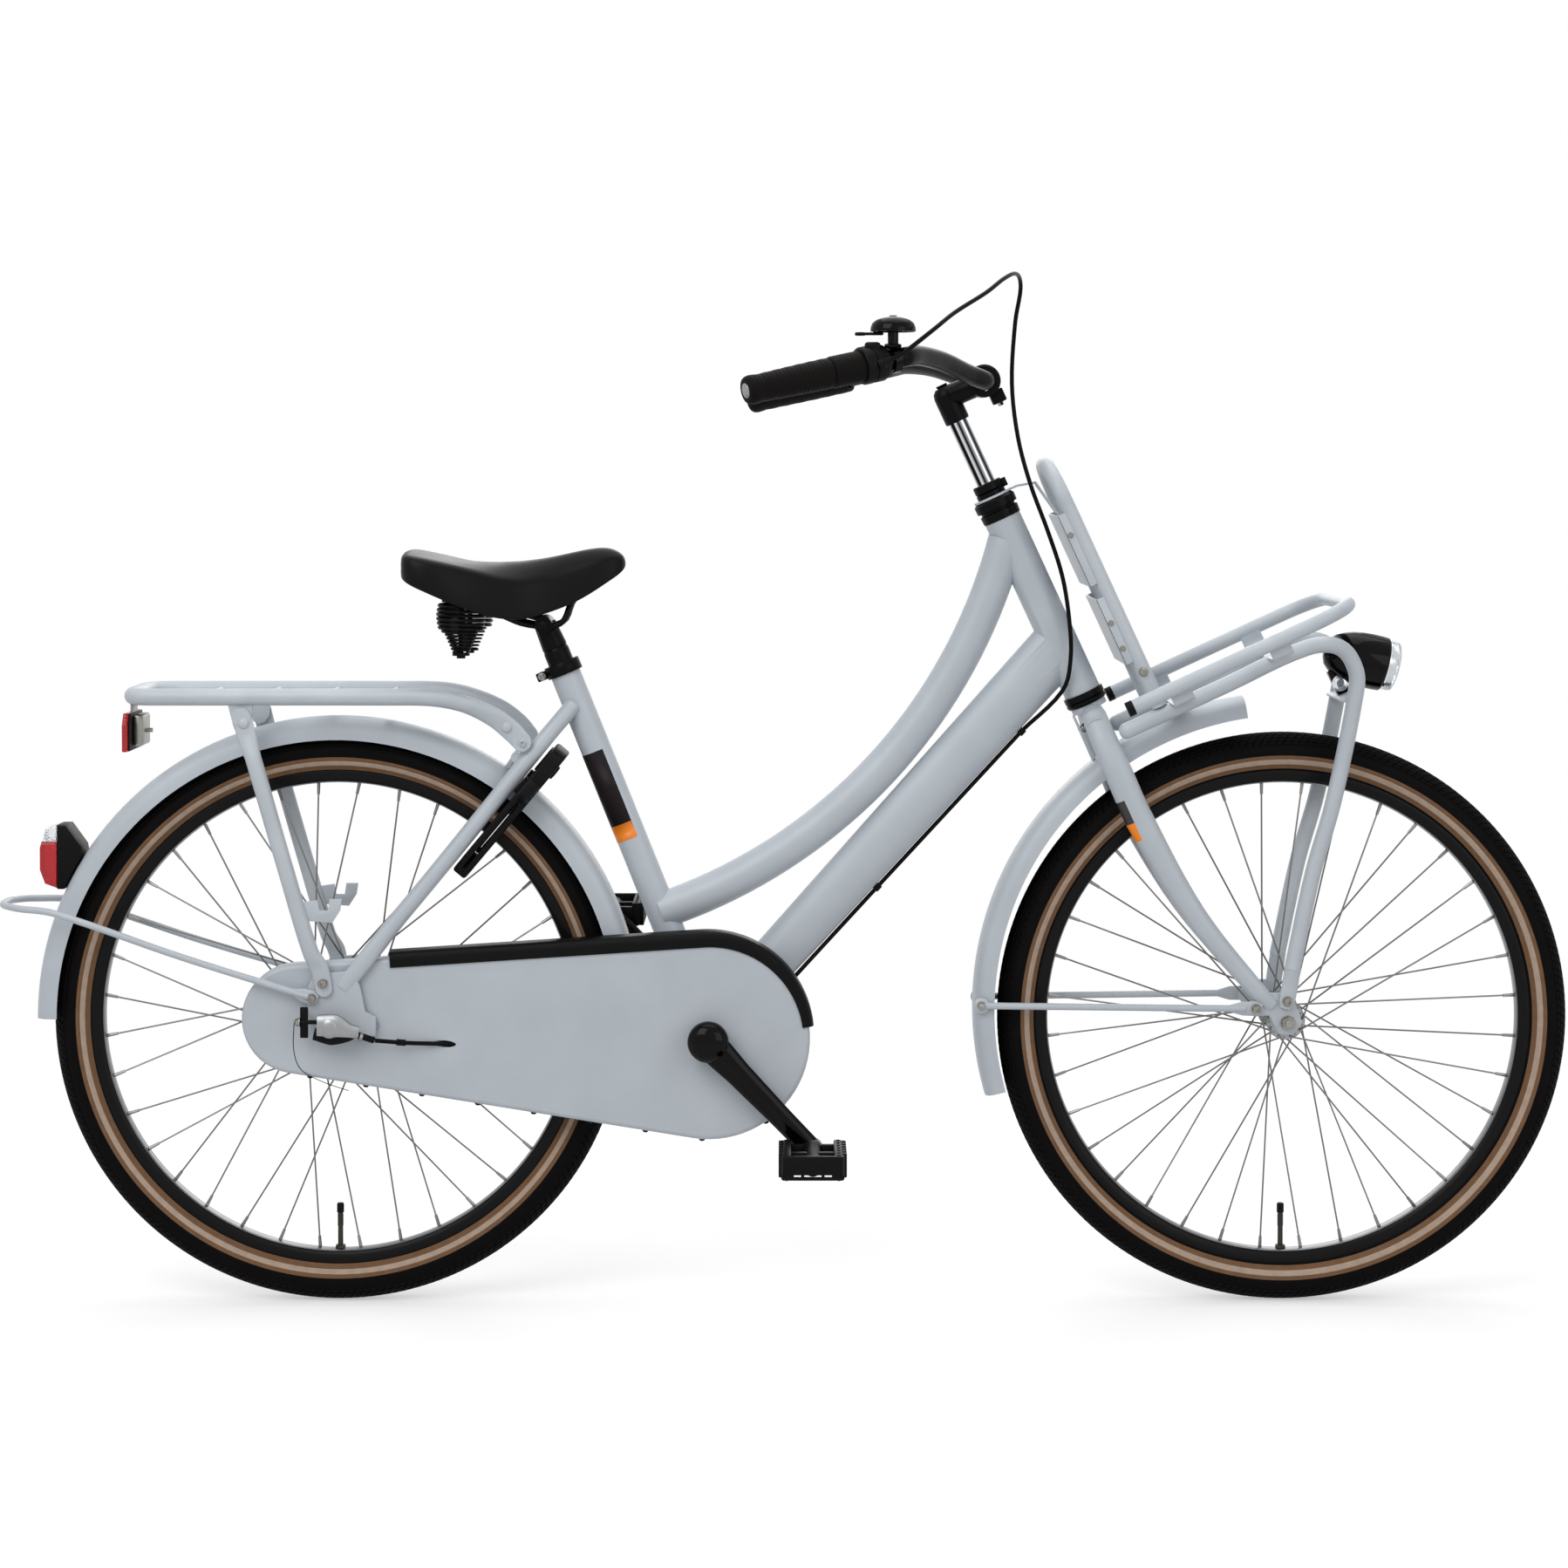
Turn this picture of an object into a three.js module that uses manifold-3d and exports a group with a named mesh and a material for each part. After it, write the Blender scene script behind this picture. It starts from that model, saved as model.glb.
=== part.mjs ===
// Low-step city bicycle with front and rear carriers, 26-inch wheels and a closed chain case.
// Millimetres, +Z up, +X towards the front, the drive side at -Y.
// The origin is the bottom centre of the whole bicycle, on the ground.
import * as THREE from 'three';
import { mergeGeometries, mergeVertices } from 'three/addons/utils/BufferGeometryUtils.js';
import Module from 'manifold-3d';

const wasm = await Module();
wasm.setup();

// Running gaps
const seatGap = 0.3;
const runGap = 0.5;
const overrun = 6;

// Wheels: tyre 50-559 on a 559 rim
const wheelRadius = 329.5;
const wheelFacets = 26;
const tyreWidth = 50;
const tyreHeight = 49.7;
const rimBedDepth = 8.8;
const rimFlangeHeight = 6.2;
const beadRadius = wheelRadius - tyreHeight;
const rimInnerRadius = beadRadius - rimBedDepth;
const rimFlangeRadius = beadRadius + rimFlangeHeight;
const rimWidth = 25.4;
const rimWall = 1.5;
const spokesPerFlange = 18;
const spokeDiameter = 2;
const nippleDiameter = 4.2;
const nippleLength = 14;
const spokeCrossAngle = 60;
const valveLength = 42;
const valveDiameter = 8;

// Overall stance
const wheelbase = 1091;
const hoopReach = 392;
const headLean = 24.8;
const forkRake = 52.3;
const crownClearance = 93.3;
const axleToCrown = wheelRadius + crownClearance;
const seatLean = 21.9;
const bracketHeight = 312;

// Chain drive
const chainPitch = 12.7;
const chainringTeeth = 44;
const sprocketTeeth = 20;
const chainLinks = 100;
const chainLine = 44.5;
const rollerDiameter = 7.75;
const chainPlateHeight = 8.4;
const chainPlateThickness = 1.1;
const chainInnerWidth = 5.4;
const toothThickness = 2.4;
const rollerPlay = 0.1;

// Frame tubes
const headTubeDiameter = 43;
const headTubeBore = 34.5;
const headTubeLow = 15;
const headTubeHigh = 236;
const topTubeDiameter = 42.7;
const topTubeRadius = 615.6;
const downTubeHeightLow = 53;
const downTubeHeightHigh = 66;
const downTubeWidth = 42;
const seatTubeDiameter = 35.2;
const seatTubeLength = 446;
const bracketDiameter = 42;
const bracketBore = 34;
const bracketWidth = 68;
const stayDiameter = 19;
const dropoutInner = 65.3;
const dropoutThickness = 5;

// Fork and headset
const steererDiameter = 28.6;
const bladeInnerWidth = 96;
const bladeHalfThickness = 11;
const frontDropoutInner = 50.3;
const frontDropoutThickness = 5;
const cupDiameter = 48;
const cupWall = 9.4;

// Handlebar and stem
const quillDiameter = 22.2;
const quillDepth = 90;
const quillTop = 361;
const stemHeight = 389;
const stemReach = 46;
const stemHeadDiameter = 29;
const barClampDiameter = 38;
const barClampWidth = 46;
const barDiameter = 22.2;
const barHalfWidth = 297;
const barBack = 267;
const barDrop = 16.5;
const barCrestHeight = 24;
const gripSweep = 64;
const gripSlope = 11.4;
const gripLength = 98;
const gripDiameter = 33;
const sleeveLength = 37;
const sleeveDiameter = 35;
const shifterLength = 29;
const shifterDiameter = 42;
const bellDiameter = 50;
const bellHeight = 17;
const bellStand = 30;

// Mudguards
const mudguardWidth = 62;
const mudguardWall = 1.5;
const rearMudguardGap = 18.5;
const frontMudguardGap = 27.5;
const rearMudguardRadius = wheelRadius + rearMudguardGap;
const frontMudguardRadius = wheelRadius + frontMudguardGap;
const rearMudguardStart = 12;
const rearMudguardEnd = 180;
const frontMudguardStart = 97.5;
const frontMudguardEnd = 196;
const mudguardStayDiameter = 8;

// Hubs
const rearHubFlange = 84;
const rearHubHoles = 74;
const rearHubSpan = 56;
const frontHubFlange = 45;
const frontHubHoles = 38.6;
const frontHubSpan = 70;
const flangeThickness = 3;
const frontHubBarrel = 27;
const rearHubBarrel = 62;
const axleDiameter = 9.5;
const axleNutWidth = 15;

// Carriers
const rackTubeDiameter = 19.6;
const rackHeight = 703.5;
const rackHalfWidth = 68;
const rackRearReach = 240.5;
const rackFrontReach = 95;
const rackRodDiameter = 8;
const rackRodCount = 4;
const rackRodPitch = 68.5;
const rackLegDiameter = 18.6;
const rackLegSpread = 82;
const deckTubeDiameter = 16.6;
const deckHalfWidth = 123;
const deckHeight = -13;
const deckRear = 34;
const deckFront = 311;
const deckCorner = 50;
const underTubeDiameter = 18.6;
const underTubeHalfWidth = 59;
const underTubeHeight = -41;
const backrestBack = 70;
const backrestHeight = 272;
const backrestDiameter = 18;
const stripThickness = 3;
const stripWidth = 25;

// Saddle
const saddleLength = 254;
const saddleWidth = 214;
const saddleDepth = 80;
const saddleRise = 93.2;
const noseAhead = 90.75;
const springWire = 2.6;
const springTurns = 10;
const springTopRadius = 26;
const springTipRadius = 8;
const seatPostDiameter = 30;

// Chain case
const caseFrontRadius = 116;
const caseRearRadius = 63;
const caseRearOffset = 42;
const caseRearRise = 5;
const caseOuterY = 61;
const caseInnerY = 35;
const caseWall = 1.6;

// Cranks and pedals
const crankLength = 170;
const crankAngle = 46;
const crankInner = 75;
const crankThickness = 16;
const crankBoss = 38;
const crankEye = 26;
const crankAxleDiameter = 17;
const crankAxleHalf = 86;
const crankCapDiameter = 34;
const crankCapHeight = 7;
const spindleDiameter = 10;
const pedalLength = 76;
const pedalOuter = 190;
const pedalHeight = 27;
const pedalTeeth = 7;
const pedalToothDepth = 3;
const driverReach = 10;

// Frame fittings
const boltDiameter = 11;
const bridgeDiameter = 12;
const topTubeSeat = 150;
const topTubeHead = 212;
const topTubeHeadBack = 6;
const downTubeHead = 76;
const postDepth = 150;

const cupLow = 1;
const cupTop = 262;
const seatClampHeight = 14;
const postRise = 32;
const postNeckLength = 24;
const rearMudguardDepth = 30;
const frontMudguardDepth = 19;
const bladeTop = 20;
const frontStayReach = 349;
const frontStayRise = 16.5;
const frontEyeletU = 26;
const frontEyeletW = -392;
const rackRodFront = 61;

// Lights, reflector and lock
const reflectorWidth = 90;
const reflectorHeight = 44;
const reflectorDepth = 12;
const lightWidth = 44;
const lensDepth = 20;
const lockAngle = 50;
const lockThickness = 18;
const lockCentre = 290;
const lockBowRadius = 49;
const lockBowWidth = 8;
const lockLeverHalf = 1.6;

// Shares of a mudguard section's half width and depth
const mudguardShares = [
  [-1, 1], [-0.97, 0.45], [-0.72, 0.13], [-0.3, 0], [0.3, 0], [0.72, 0.13], [0.97, 0.45], [1, 1],
];

const steererTop = 281;
const strutTop = 264.8;
const leftGripLength = 132;
const bellClampWidth = 12;
const headlightDiameter = 58;

const bossLength = 16;
const trimWidth = 16;
const trimWall = 1.5;
const trimRise = 8;
const trimBack = 364;
const trimLowest = 372;
const springWideDrop = 30;
const springConeDrop = 27;
const springBehind = 94.75;
const springHalfWidth = 56;
const springRise = 32.2;
const railDiameter = 7;
const cableDiameter = 5;
const cableLoopDiameter = 5;

const changerThickness = 12;
const changerDiameter = 27;
const brakeArmThickness = 5;

const lockLugFrom = 40;
const lockLugReach = 13;

// Where the main points are
const tyreCrownRadius = wheelRadius / Math.cos(Math.PI / wheelFacets);
const totalLength = hoopReach + wheelbase + tyreCrownRadius;
const rearAxleX = hoopReach - totalLength / 2;
const frontAxleX = rearAxleX + wheelbase;
const rad = THREE.MathUtils.degToRad;
const headSin = Math.sin(rad(headLean));
const headCos = Math.cos(rad(headLean));
const crownX = frontAxleX - forkRake * headCos - axleToCrown * headSin;
const crownZ = wheelRadius - forkRake * headSin + axleToCrown * headCos;

// A point of the steering group, given forward, sideways and up its axis, in the bicycle's frame
function steerPoint(u, y, w) {
  return new THREE.Vector3(crownX + u * headCos - w * headSin, y, crownZ + u * headSin + w * headCos);
}
// And back: a point of the bicycle's frame in the steering group
function intoSteer(x, y, z) {
  const dx = x - crownX;
  const dz = z - crownZ;
  return new THREE.Vector3(dx * headCos + dz * headSin, y, -dx * headSin + dz * headCos);
}

const V = (x, y, z) => new THREE.Vector3(x, y, z);

// Solid tools

// Keeps positions only, without an index
function bare(geometry) {
  const out = geometry.index ? geometry.toNonIndexed() : geometry.clone();
  for (const name of Object.keys(out.attributes)) {
    if (name !== 'position') out.deleteAttribute(name);
  }
  return out;
}

// Turns a closed geometry right side out
function outward(geometry) {
  const out = bare(geometry);
  const p = out.attributes.position;
  const a = V(0, 0, 0);
  const b = V(0, 0, 0);
  const c = V(0, 0, 0);
  let volume = 0;
  for (let i = 0; i < p.count; i += 3) {
    a.fromBufferAttribute(p, i);
    b.fromBufferAttribute(p, i + 1);
    c.fromBufferAttribute(p, i + 2);
    volume += a.dot(b.cross(c));
  }
  if (volume > 0) return out;
  for (let i = 0; i < p.count; i += 3) {
    b.fromBufferAttribute(p, i + 1);
    c.fromBufferAttribute(p, i + 2);
    p.setXYZ(i + 1, c.x, c.y, c.z);
    p.setXYZ(i + 2, b.x, b.y, b.z);
  }
  return out;
}

function toSolid(geometry) {
  const merged = mergeVertices(outward(geometry), 1e-3);
  const mesh = new wasm.Mesh({
    numProp: 3,
    vertProperties: new Float32Array(merged.attributes.position.array),
    triVerts: new Uint32Array(merged.index.array),
  });
  return new wasm.Manifold(mesh);
}

function fromSolid(solid) {
  const mesh = solid.getMesh();
  const out = new THREE.BufferGeometry();
  out.setAttribute('position', new THREE.BufferAttribute(new Float32Array(mesh.vertProperties), 3));
  out.setIndex(new THREE.BufferAttribute(new Uint32Array(mesh.triVerts), 1));
  return out.toNonIndexed();
}

function join(...pieces) {
  return fromSolid(pieces.map(toSolid).reduce((sum, piece) => sum.add(piece)));
}

function cut(body, ...tools) {
  return fromSolid(tools.map(toSolid).reduce((rest, tool) => rest.subtract(tool), toSolid(body)));
}

// Several separate solids of one node
function set(...pieces) {
  return mergeGeometries(pieces.flat().map(outward));
}

// Skins a list of frames { o, a, b } with one profile of [along a, along b] points, with end caps
function sweep(profile, frames, closed = false) {
  const ring = frames.map(({ o, a, b, s = 1 }) =>
    profile.map(([p, q]) => o.clone().addScaledVector(a, p * s).addScaledVector(b, q * s)));
  return skin(ring, profile, closed);
}

// Skins rings of equal point counts; profile gives the caps their flat shape
function skin(rings, profile, closed = false) {
  const n = rings[0].length;
  const out = [];
  const last = closed ? rings.length : rings.length - 1;
  for (let i = 0; i < last; i += 1) {
    const here = rings[i];
    const next = rings[(i + 1) % rings.length];
    for (let k = 0; k < n; k += 1) {
      const m = (k + 1) % n;
      out.push(here[k], here[m], next[m], here[k], next[m], next[k]);
    }
  }
  if (!closed) {
    const flat = profile.map(([p, q]) => new THREE.Vector2(p, q));
    const clockwise = THREE.ShapeUtils.isClockWise(flat);
    const faces = THREE.ShapeUtils.triangulateShape(flat, []);
    const ends = [rings[0], rings[rings.length - 1]];
    for (const [i, j, k] of faces) {
      const [first, last] = clockwise ? ends : [...ends].reverse();
      out.push(last[k], last[j], last[i]);
      out.push(first[i], first[j], first[k]);
    }
  }
  return outward(new THREE.BufferGeometry().setFromPoints(out));
}

// A round section, as a profile
function round(radius, sides, radiusB = radius) {
  return Array.from({ length: sides }, (_, i) => {
    const t = ((i + 0.5) / sides) * 2 * Math.PI;
    return [radius * Math.cos(t), radiusB * Math.sin(t)];
  });
}

// A tube along a curve: a circle extruded on it
function tube(points, diameter, steps, sides = 10, smooth = true) {
  const path = smooth ? new THREE.CatmullRomCurve3(points, false, 'centripetal') : polyline(points);
  const section = new THREE.Shape(round(diameter / 2, sides).map(([x, y]) => new THREE.Vector2(x, y)));
  return outward(new THREE.ExtrudeGeometry(section, { steps, extrudePath: path, curveSegments: 1 }));
}

function polyline(points) {
  const path = new THREE.CurvePath();
  for (let i = 1; i < points.length; i += 1) path.add(new THREE.LineCurve3(points[i - 1], points[i]));
  return path;
}

// A straight round bar between two points, tapered if a second diameter is given
function bar(from, to, diameter, sides = 12, diameterEnd = diameter) {
  const axis = to.clone().sub(from);
  const out = new THREE.CylinderGeometry(diameterEnd / 2, diameter / 2, axis.length(), sides);
  out.rotateY(Math.PI / sides);
  out.applyQuaternion(new THREE.Quaternion().setFromUnitVectors(V(0, 1, 0), axis.clone().normalize()));
  const middle = from.clone().add(to).multiplyScalar(0.5);
  return outward(out.translate(middle.x, middle.y, middle.z));
}

// A body turned about an axis parallel to Y; the profile is [radius, y] points
function turned(profile, facets, x = 0, z = 0) {
  const points = profile.map(([r, y]) => new THREE.Vector2(r, y));
  const out = new THREE.LatheGeometry(points, facets);
  out.rotateY(Math.PI / 2);
  return outward(out.translate(x, 0, z));
}

// A ring or tube section on an axis parallel to Y
function collar(outer, inner, y0, y1, facets, x = 0, z = 0) {
  const profile = [[inner / 2, y0], [outer / 2, y0], [outer / 2, y1], [inner / 2, y1], [inner / 2, y0]];
  return turned(profile, facets, x, z);
}

// The same, on the steering axis or another group's Z axis
function zTurned(profile, facets) {
  const points = profile.map(([r, z]) => new THREE.Vector2(r, z));
  return outward(new THREE.LatheGeometry(points, facets).rotateX(Math.PI / 2));
}

// A flat plate seen from the side: its outline in X and Z, between two Y values
function sidePlate(outline, y0, y1, holes = []) {
  const shape = outline.isShape ? outline : new THREE.Shape(outline.map(([x, z]) => new THREE.Vector2(x, z)));
  shape.holes.push(...holes);
  const out = new THREE.ExtrudeGeometry(shape, { depth: Math.abs(y1 - y0), bevelEnabled: false, curveSegments: 8 });
  out.rotateX(Math.PI / 2);
  return outward(out.translate(0, Math.max(y0, y1), 0));
}

function box(x0, x1, y0, y1, z0, z1) {
  const out = new THREE.BoxGeometry(Math.abs(x1 - x0), Math.abs(y1 - y0), Math.abs(z1 - z0));
  return outward(out.translate((x0 + x1) / 2, (y0 + y1) / 2, (z0 + z1) / 2));
}

// Both sides of the bicycle: a geometry and its mirror in the plane of the wheels
function mirrored(geometry) {
  return outward(geometry.clone().scale(1, -1, 1));
}

function bothSides(geometry) {
  return [geometry, mirrored(geometry)];
}

// Points of a circular arc in X and Z
function arc(x, z, radius, from, to, count) {
  return Array.from({ length: count + 1 }, (_, i) => {
    const t = rad(from + ((to - from) * i) / count);
    return [x + radius * Math.cos(t), z + radius * Math.sin(t)];
  });
}

// Colours of the photographed finishes
const paint = { color: '#a9b2b8', roughness: 0.4, metalness: 0.1 };
const carrierPaint = { color: '#b9c0c6', roughness: 0.4, metalness: 0.1 };
const black = { color: '#0c0c0e', roughness: 0.4, metalness: 0 };
const gloss = { color: '#060607', roughness: 0.15, metalness: 0 };
const matt = { color: '#17171a', roughness: 0.7, metalness: 0 };
const rubber = { color: '#111113', roughness: 0.85, metalness: 0 };
const steel = { color: '#b8babd', roughness: 0.3, metalness: 0.9 };
const darkSteel = { color: '#4a4742', roughness: 0.45, metalness: 0.8 };
const redLens = { color: '#b01020', roughness: 0.15, metalness: 0 };
const clearLens = { color: '#dfe5ea', roughness: 0.1, metalness: 0 };

const bicycle = new THREE.Group();
const steering = new THREE.Group();
steering.position.set(crownX, 0, crownZ);
steering.rotation.y = -rad(headLean);
bicycle.add(steering);

function node(parent, name, geometry, look) {
  const mesh = new THREE.Mesh(outward(geometry), new THREE.MeshStandardMaterial(look));
  mesh.name = name;
  parent.add(mesh);
  return mesh;
}

// Wheels

// Radii of a faceted wheel are stated at the middle of a facet
const toCorner = 1 / Math.cos(Math.PI / wheelFacets);

function wheelTurned(profile) {
  return turned(profile.map(([r, y]) => [r * toCorner, y]), wheelFacets);
}

// Shares of the tyre's height above its bead, and of its width
const tyreShares = [
  [0, -0.21], [0.14, -0.21], [0.41, -0.48], [0.77, -0.43], [1, -0.16], [1, 0.16], [0.77, 0.43], [0.41, 0.48],
  [0.14, 0.21], [0, 0.21], [0.15, 0.165], [0.5, 0.41], [0.9, 0], [0.5, -0.41], [0.15, -0.165], [0, -0.21],
];

function tyre() {
  const height = wheelRadius - beadRadius;
  return wheelTurned(tyreShares.map(([r, y]) => [beadRadius + r * height, y * tyreWidth]));
}

// The inner tube's valve stem, through the rim at the bottom of the wheel
function valve() {
  const top = -rimInnerRadius + valveLength;
  const root = -(beadRadius + tyreWidth * 0.05);
  const stem = bar(V(0, 0, root), V(0, 0, top), valveDiameter, 8, valveDiameter * 0.8);
  const padFrom = -(beadRadius + tyreWidth * 0.04);
  const padTo = -(beadRadius + tyreWidth * 0.14);
  const pad = box(-valveDiameter, valveDiameter, -tyreWidth * 0.19, tyreWidth * 0.19, padFrom, padTo);
  return join(stem, pad);
}

// Shares of the rim's height above its inner face, and of its width
const rimShares = [[0, 0.28], [0.28, 0.47], [1, 0.5]];

function rim() {
  const height = rimFlangeRadius - rimInnerRadius;
  const bed = beadRadius - seatGap;
  const wallY = rimWidth / 2 - rimWall;
  const side = rimShares.map(([r, y]) => [rimInnerRadius + r * height, y * rimWidth]);
  side.push([rimFlangeRadius, wallY], [bed, wallY]);
  const back = side.map(([r, y]) => [r, -y]).reverse();
  const ring = wheelTurned([...side, ...back, side[0]]);
  const hole = bar(V(0, 0, -rimInnerRadius + overrun), V(0, 0, -beadRadius), valveDiameter + 2 * runGap, 8);
  return cut(ring, hole);
}

// Tangential spokes: trailing ones outside each flange, leading ones inside it, three crossings
function spokes(holeDiameter, flangeDiameter, span) {
  const out = [];
  const mid = span / 2;
  const nippleEnd = rimInnerRadius - 2 * seatGap;
  const step = 360 / spokesPerFlange;
  for (const side of [-1, 1]) {
    for (let i = 0; i < spokesPerFlange; i += 1) {
      const trailing = i % 2 === 0;
      const at = i * step + (side > 0 ? step / 2 : 0) + step / 4;
      const hub = rad(at);
      const away = rad(at + (trailing ? spokeCrossAngle : -spokeCrossAngle));
      const hole = holeDiameter / 2;
      const hole2 = V(hole * Math.cos(hub), 0, hole * Math.sin(hub));
      const rimEnd = V(nippleEnd * Math.cos(away), 0, nippleEnd * Math.sin(away));
      const flat = rimEnd.clone().sub(hole2);
      const reach = flat.length();
      flat.divideScalar(reach);
      const along = hole2.dot(flat);
      const exit = Math.sqrt((flangeDiameter / 2) ** 2 - hole ** 2 + along ** 2) - along;
      const lean = (span / 2) * (exit / reach);
      const beside = flangeThickness / 2 + spokeDiameter * 0.6 + seatGap;
      const y = side * (span / 2 + (trailing ? beside + lean : -beside));
      out.push(spoke(rimEnd, V(hole2.x, y, hole2.z), V(hole2.x, side * mid, hole2.z)));
    }
  }
  return out;
}

// One spoke: its nipple, the wire and the elbow that turns into the flange
function spoke(rimEnd, hubEnd, flangeEnd) {
  const d = hubEnd.clone().sub(rimEnd).normalize();
  const a = V(0, 1, 0).cross(d).normalize();
  const b = d.clone().cross(a);
  const at = (distance, s) => ({ o: rimEnd.clone().addScaledVector(d, distance), a, b, s });
  const wire = spokeDiameter * 0.64;
  const frames = [at(0, nippleDiameter * 0.6), at(nippleLength, wire)];
  const elbow = flangeEnd.clone().sub(hubEnd).normalize();
  const turn = d.clone().multiplyScalar(-b.dot(elbow));
  frames.push({ o: hubEnd, a, b: b.clone().add(turn), s: wire }, { o: flangeEnd, a, b: turn, s: wire });
  return sweep(round(1, 3), frames);
}

// A hub shell with two flanges and a bore for its axle
function hub(flange, span, barrel, cap, capReach, facets) {
  const inner = axleDiameter / 2 + runGap;
  const f1 = span / 2 - flangeThickness / 2;
  const f2 = span / 2 + flangeThickness / 2;
  const half = [[inner, capReach], [cap / 2, capReach], [cap / 2, f2], [flange / 2, f2]];
  half.push([flange / 2, f1], [barrel / 2, f1]);
  const other = half.map(([r, y]) => [r, -y]).reverse();
  return turned([...half, ...other, half[0]], facets);
}

// An axle with its inner locknuts, outer nuts and end threads
function axle(inner, thickness, stack) {
  const nutFrom = inner + thickness + stack;
  const nutTo = nutFrom + axleNutWidth * 0.6;
  const tip = nutTo + axleNutWidth * 0.25;
  const half = [
    [0, tip], [axleDiameter / 2, tip], [axleDiameter / 2, nutTo], [axleNutWidth * 0.55, nutTo],
    [axleNutWidth * 0.55, nutFrom], [axleDiameter / 2, nutFrom], [axleDiameter / 2, inner - seatGap],
    [axleNutWidth * 0.55, inner - seatGap], [axleNutWidth * 0.55, inner - axleNutWidth * 0.3],
    [axleDiameter / 2, inner - axleNutWidth * 0.3],
  ];
  const other = half.map(([r, y]) => [r, -y]).reverse();
  return turned([...half, ...other], 8);
}

const frontWheel = new THREE.Group();
frontWheel.position.set(forkRake, 0, -axleToCrown);
frontWheel.rotation.y = rad(headLean);
steering.add(frontWheel);
const rearWheel = new THREE.Group();
rearWheel.position.set(rearAxleX, 0, wheelRadius);
bicycle.add(rearWheel);

const frontHubCap = 24;
const frontHubCapReach = 45;
const rearHubCap = 44;
const rearHubCapReach = 38;
for (const [place, wheel] of [['front', frontWheel], ['rear', rearWheel]]) {
  const front = place === 'front';
  const flange = front ? frontHubFlange : rearHubFlange;
  const holes = front ? frontHubHoles : rearHubHoles;
  const span = front ? frontHubSpan : rearHubSpan;
  const barrel = front ? frontHubBarrel : rearHubBarrel;
  const cap = front ? frontHubCap : rearHubCap;
  const reach = front ? frontHubCapReach : rearHubCapReach;
  node(wheel, `${place}_tyre`, join(tyre(), valve()), rubber);
  node(wheel, `${place}_rim`, rim(), matt);
  const shell = hub(flange, span, barrel, cap, reach, 14);
  node(wheel, `${place}_hub_and_spokes`, join(shell, ...spokes(holes, flange, span)), steel);
}

// Chain drive

const ringRadius = chainPitch / (2 * Math.sin(Math.PI / chainringTeeth));
const cogRadius = chainPitch / (2 * Math.sin(Math.PI / sprocketTeeth));

function straightRun(centres) {
  return Math.sqrt(centres ** 2 - (ringRadius - cogRadius) ** 2);
}

// How many links go round at a given distance between the two centres
function linksAround(centres) {
  const lean = Math.asin((ringRadius - cogRadius) / centres);
  const onRing = ((Math.PI + 2 * lean) / (2 * Math.PI)) * chainringTeeth;
  const onCog = ((Math.PI - 2 * lean) / (2 * Math.PI)) * sprocketTeeth;
  return onRing + onCog + (2 * straightRun(centres)) / chainPitch;
}

// The crank bracket stands where a whole number of links closes the chain
let nearest = ringRadius + cogRadius;
let furthest = chainPitch * chainLinks;
for (let i = 0; i < 60; i += 1) {
  const middle = (nearest + furthest) / 2;
  if (linksAround(middle) > chainLinks) furthest = middle;
  else nearest = middle;
}
const centres = nearest;
const bracketX = rearAxleX + Math.sqrt(centres ** 2 - (wheelRadius - bracketHeight) ** 2);
const bracket = V(bracketX, 0, bracketHeight);
const runLean = Math.asin((ringRadius - cogRadius) / centres);
const lineAngle = Math.atan2(wheelRadius - bracketHeight, rearAxleX - bracketX);

// A point and heading on the chain's path, a number of links from its start on the chainring
function chainAt(link) {
  const onRing = ((Math.PI + 2 * runLean) / (2 * Math.PI)) * chainringTeeth;
  const run = straightRun(centres) / chainPitch;
  const top = lineAngle - Math.PI / 2 + runLean;
  const bottom = lineAngle + Math.PI / 2 - runLean;
  const onCircle = (cx, cz, r, t) => V(cx + r * Math.cos(t), -chainLine, cz + r * Math.sin(t));
  const ringTop = onCircle(bracketX, bracketHeight, ringRadius, top);
  const ringLow = onCircle(bracketX, bracketHeight, ringRadius, bottom);
  const cogTop = onCircle(rearAxleX, wheelRadius, cogRadius, top);
  const cogLow = onCircle(rearAxleX, wheelRadius, cogRadius, bottom);
  if (link < run) return cogTop.clone().lerp(ringTop, link / run);
  if (link < run + onRing) {
    const t = top - ((link - run) / chainringTeeth) * 2 * Math.PI;
    return onCircle(bracketX, bracketHeight, ringRadius, t);
  }
  if (link < 2 * run + onRing) return ringLow.clone().lerp(cogLow, (link - run - onRing) / run);
  const t = bottom - ((link - 2 * run - onRing) / sprocketTeeth) * 2 * Math.PI;
  return onCircle(rearAxleX, wheelRadius, cogRadius, t);
}

// A toothed wheel's outline; the first gap is centred on the given angle
function toothedOutline(teeth, pitchRadius, firstGap) {
  const root = pitchRadius - rollerDiameter * 0.56;
  const tip = pitchRadius + rollerDiameter * 0.55;
  const halfGap = (rollerDiameter * 0.56) / pitchRadius;
  const step = (2 * Math.PI) / teeth;
  const points = [];
  for (let i = 0; i < teeth; i += 1) {
    const gap = firstGap + i * step;
    const tooth = gap + step / 2;
    for (const [r, t] of [[root, gap - halfGap], [root, gap + halfGap], [tip, tooth]]) {
      points.push([r * Math.cos(t), r * Math.sin(t)]);
    }
  }
  return points;
}

function circleHole(x, z, radius, sides = 10) {
  const hole = new THREE.Path();
  round(radius, sides).forEach(([p, q], i) => (i ? hole.lineTo(x + p, z + q) : hole.moveTo(x + p, z + q)));
  hole.closePath();
  return hole;
}

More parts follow.
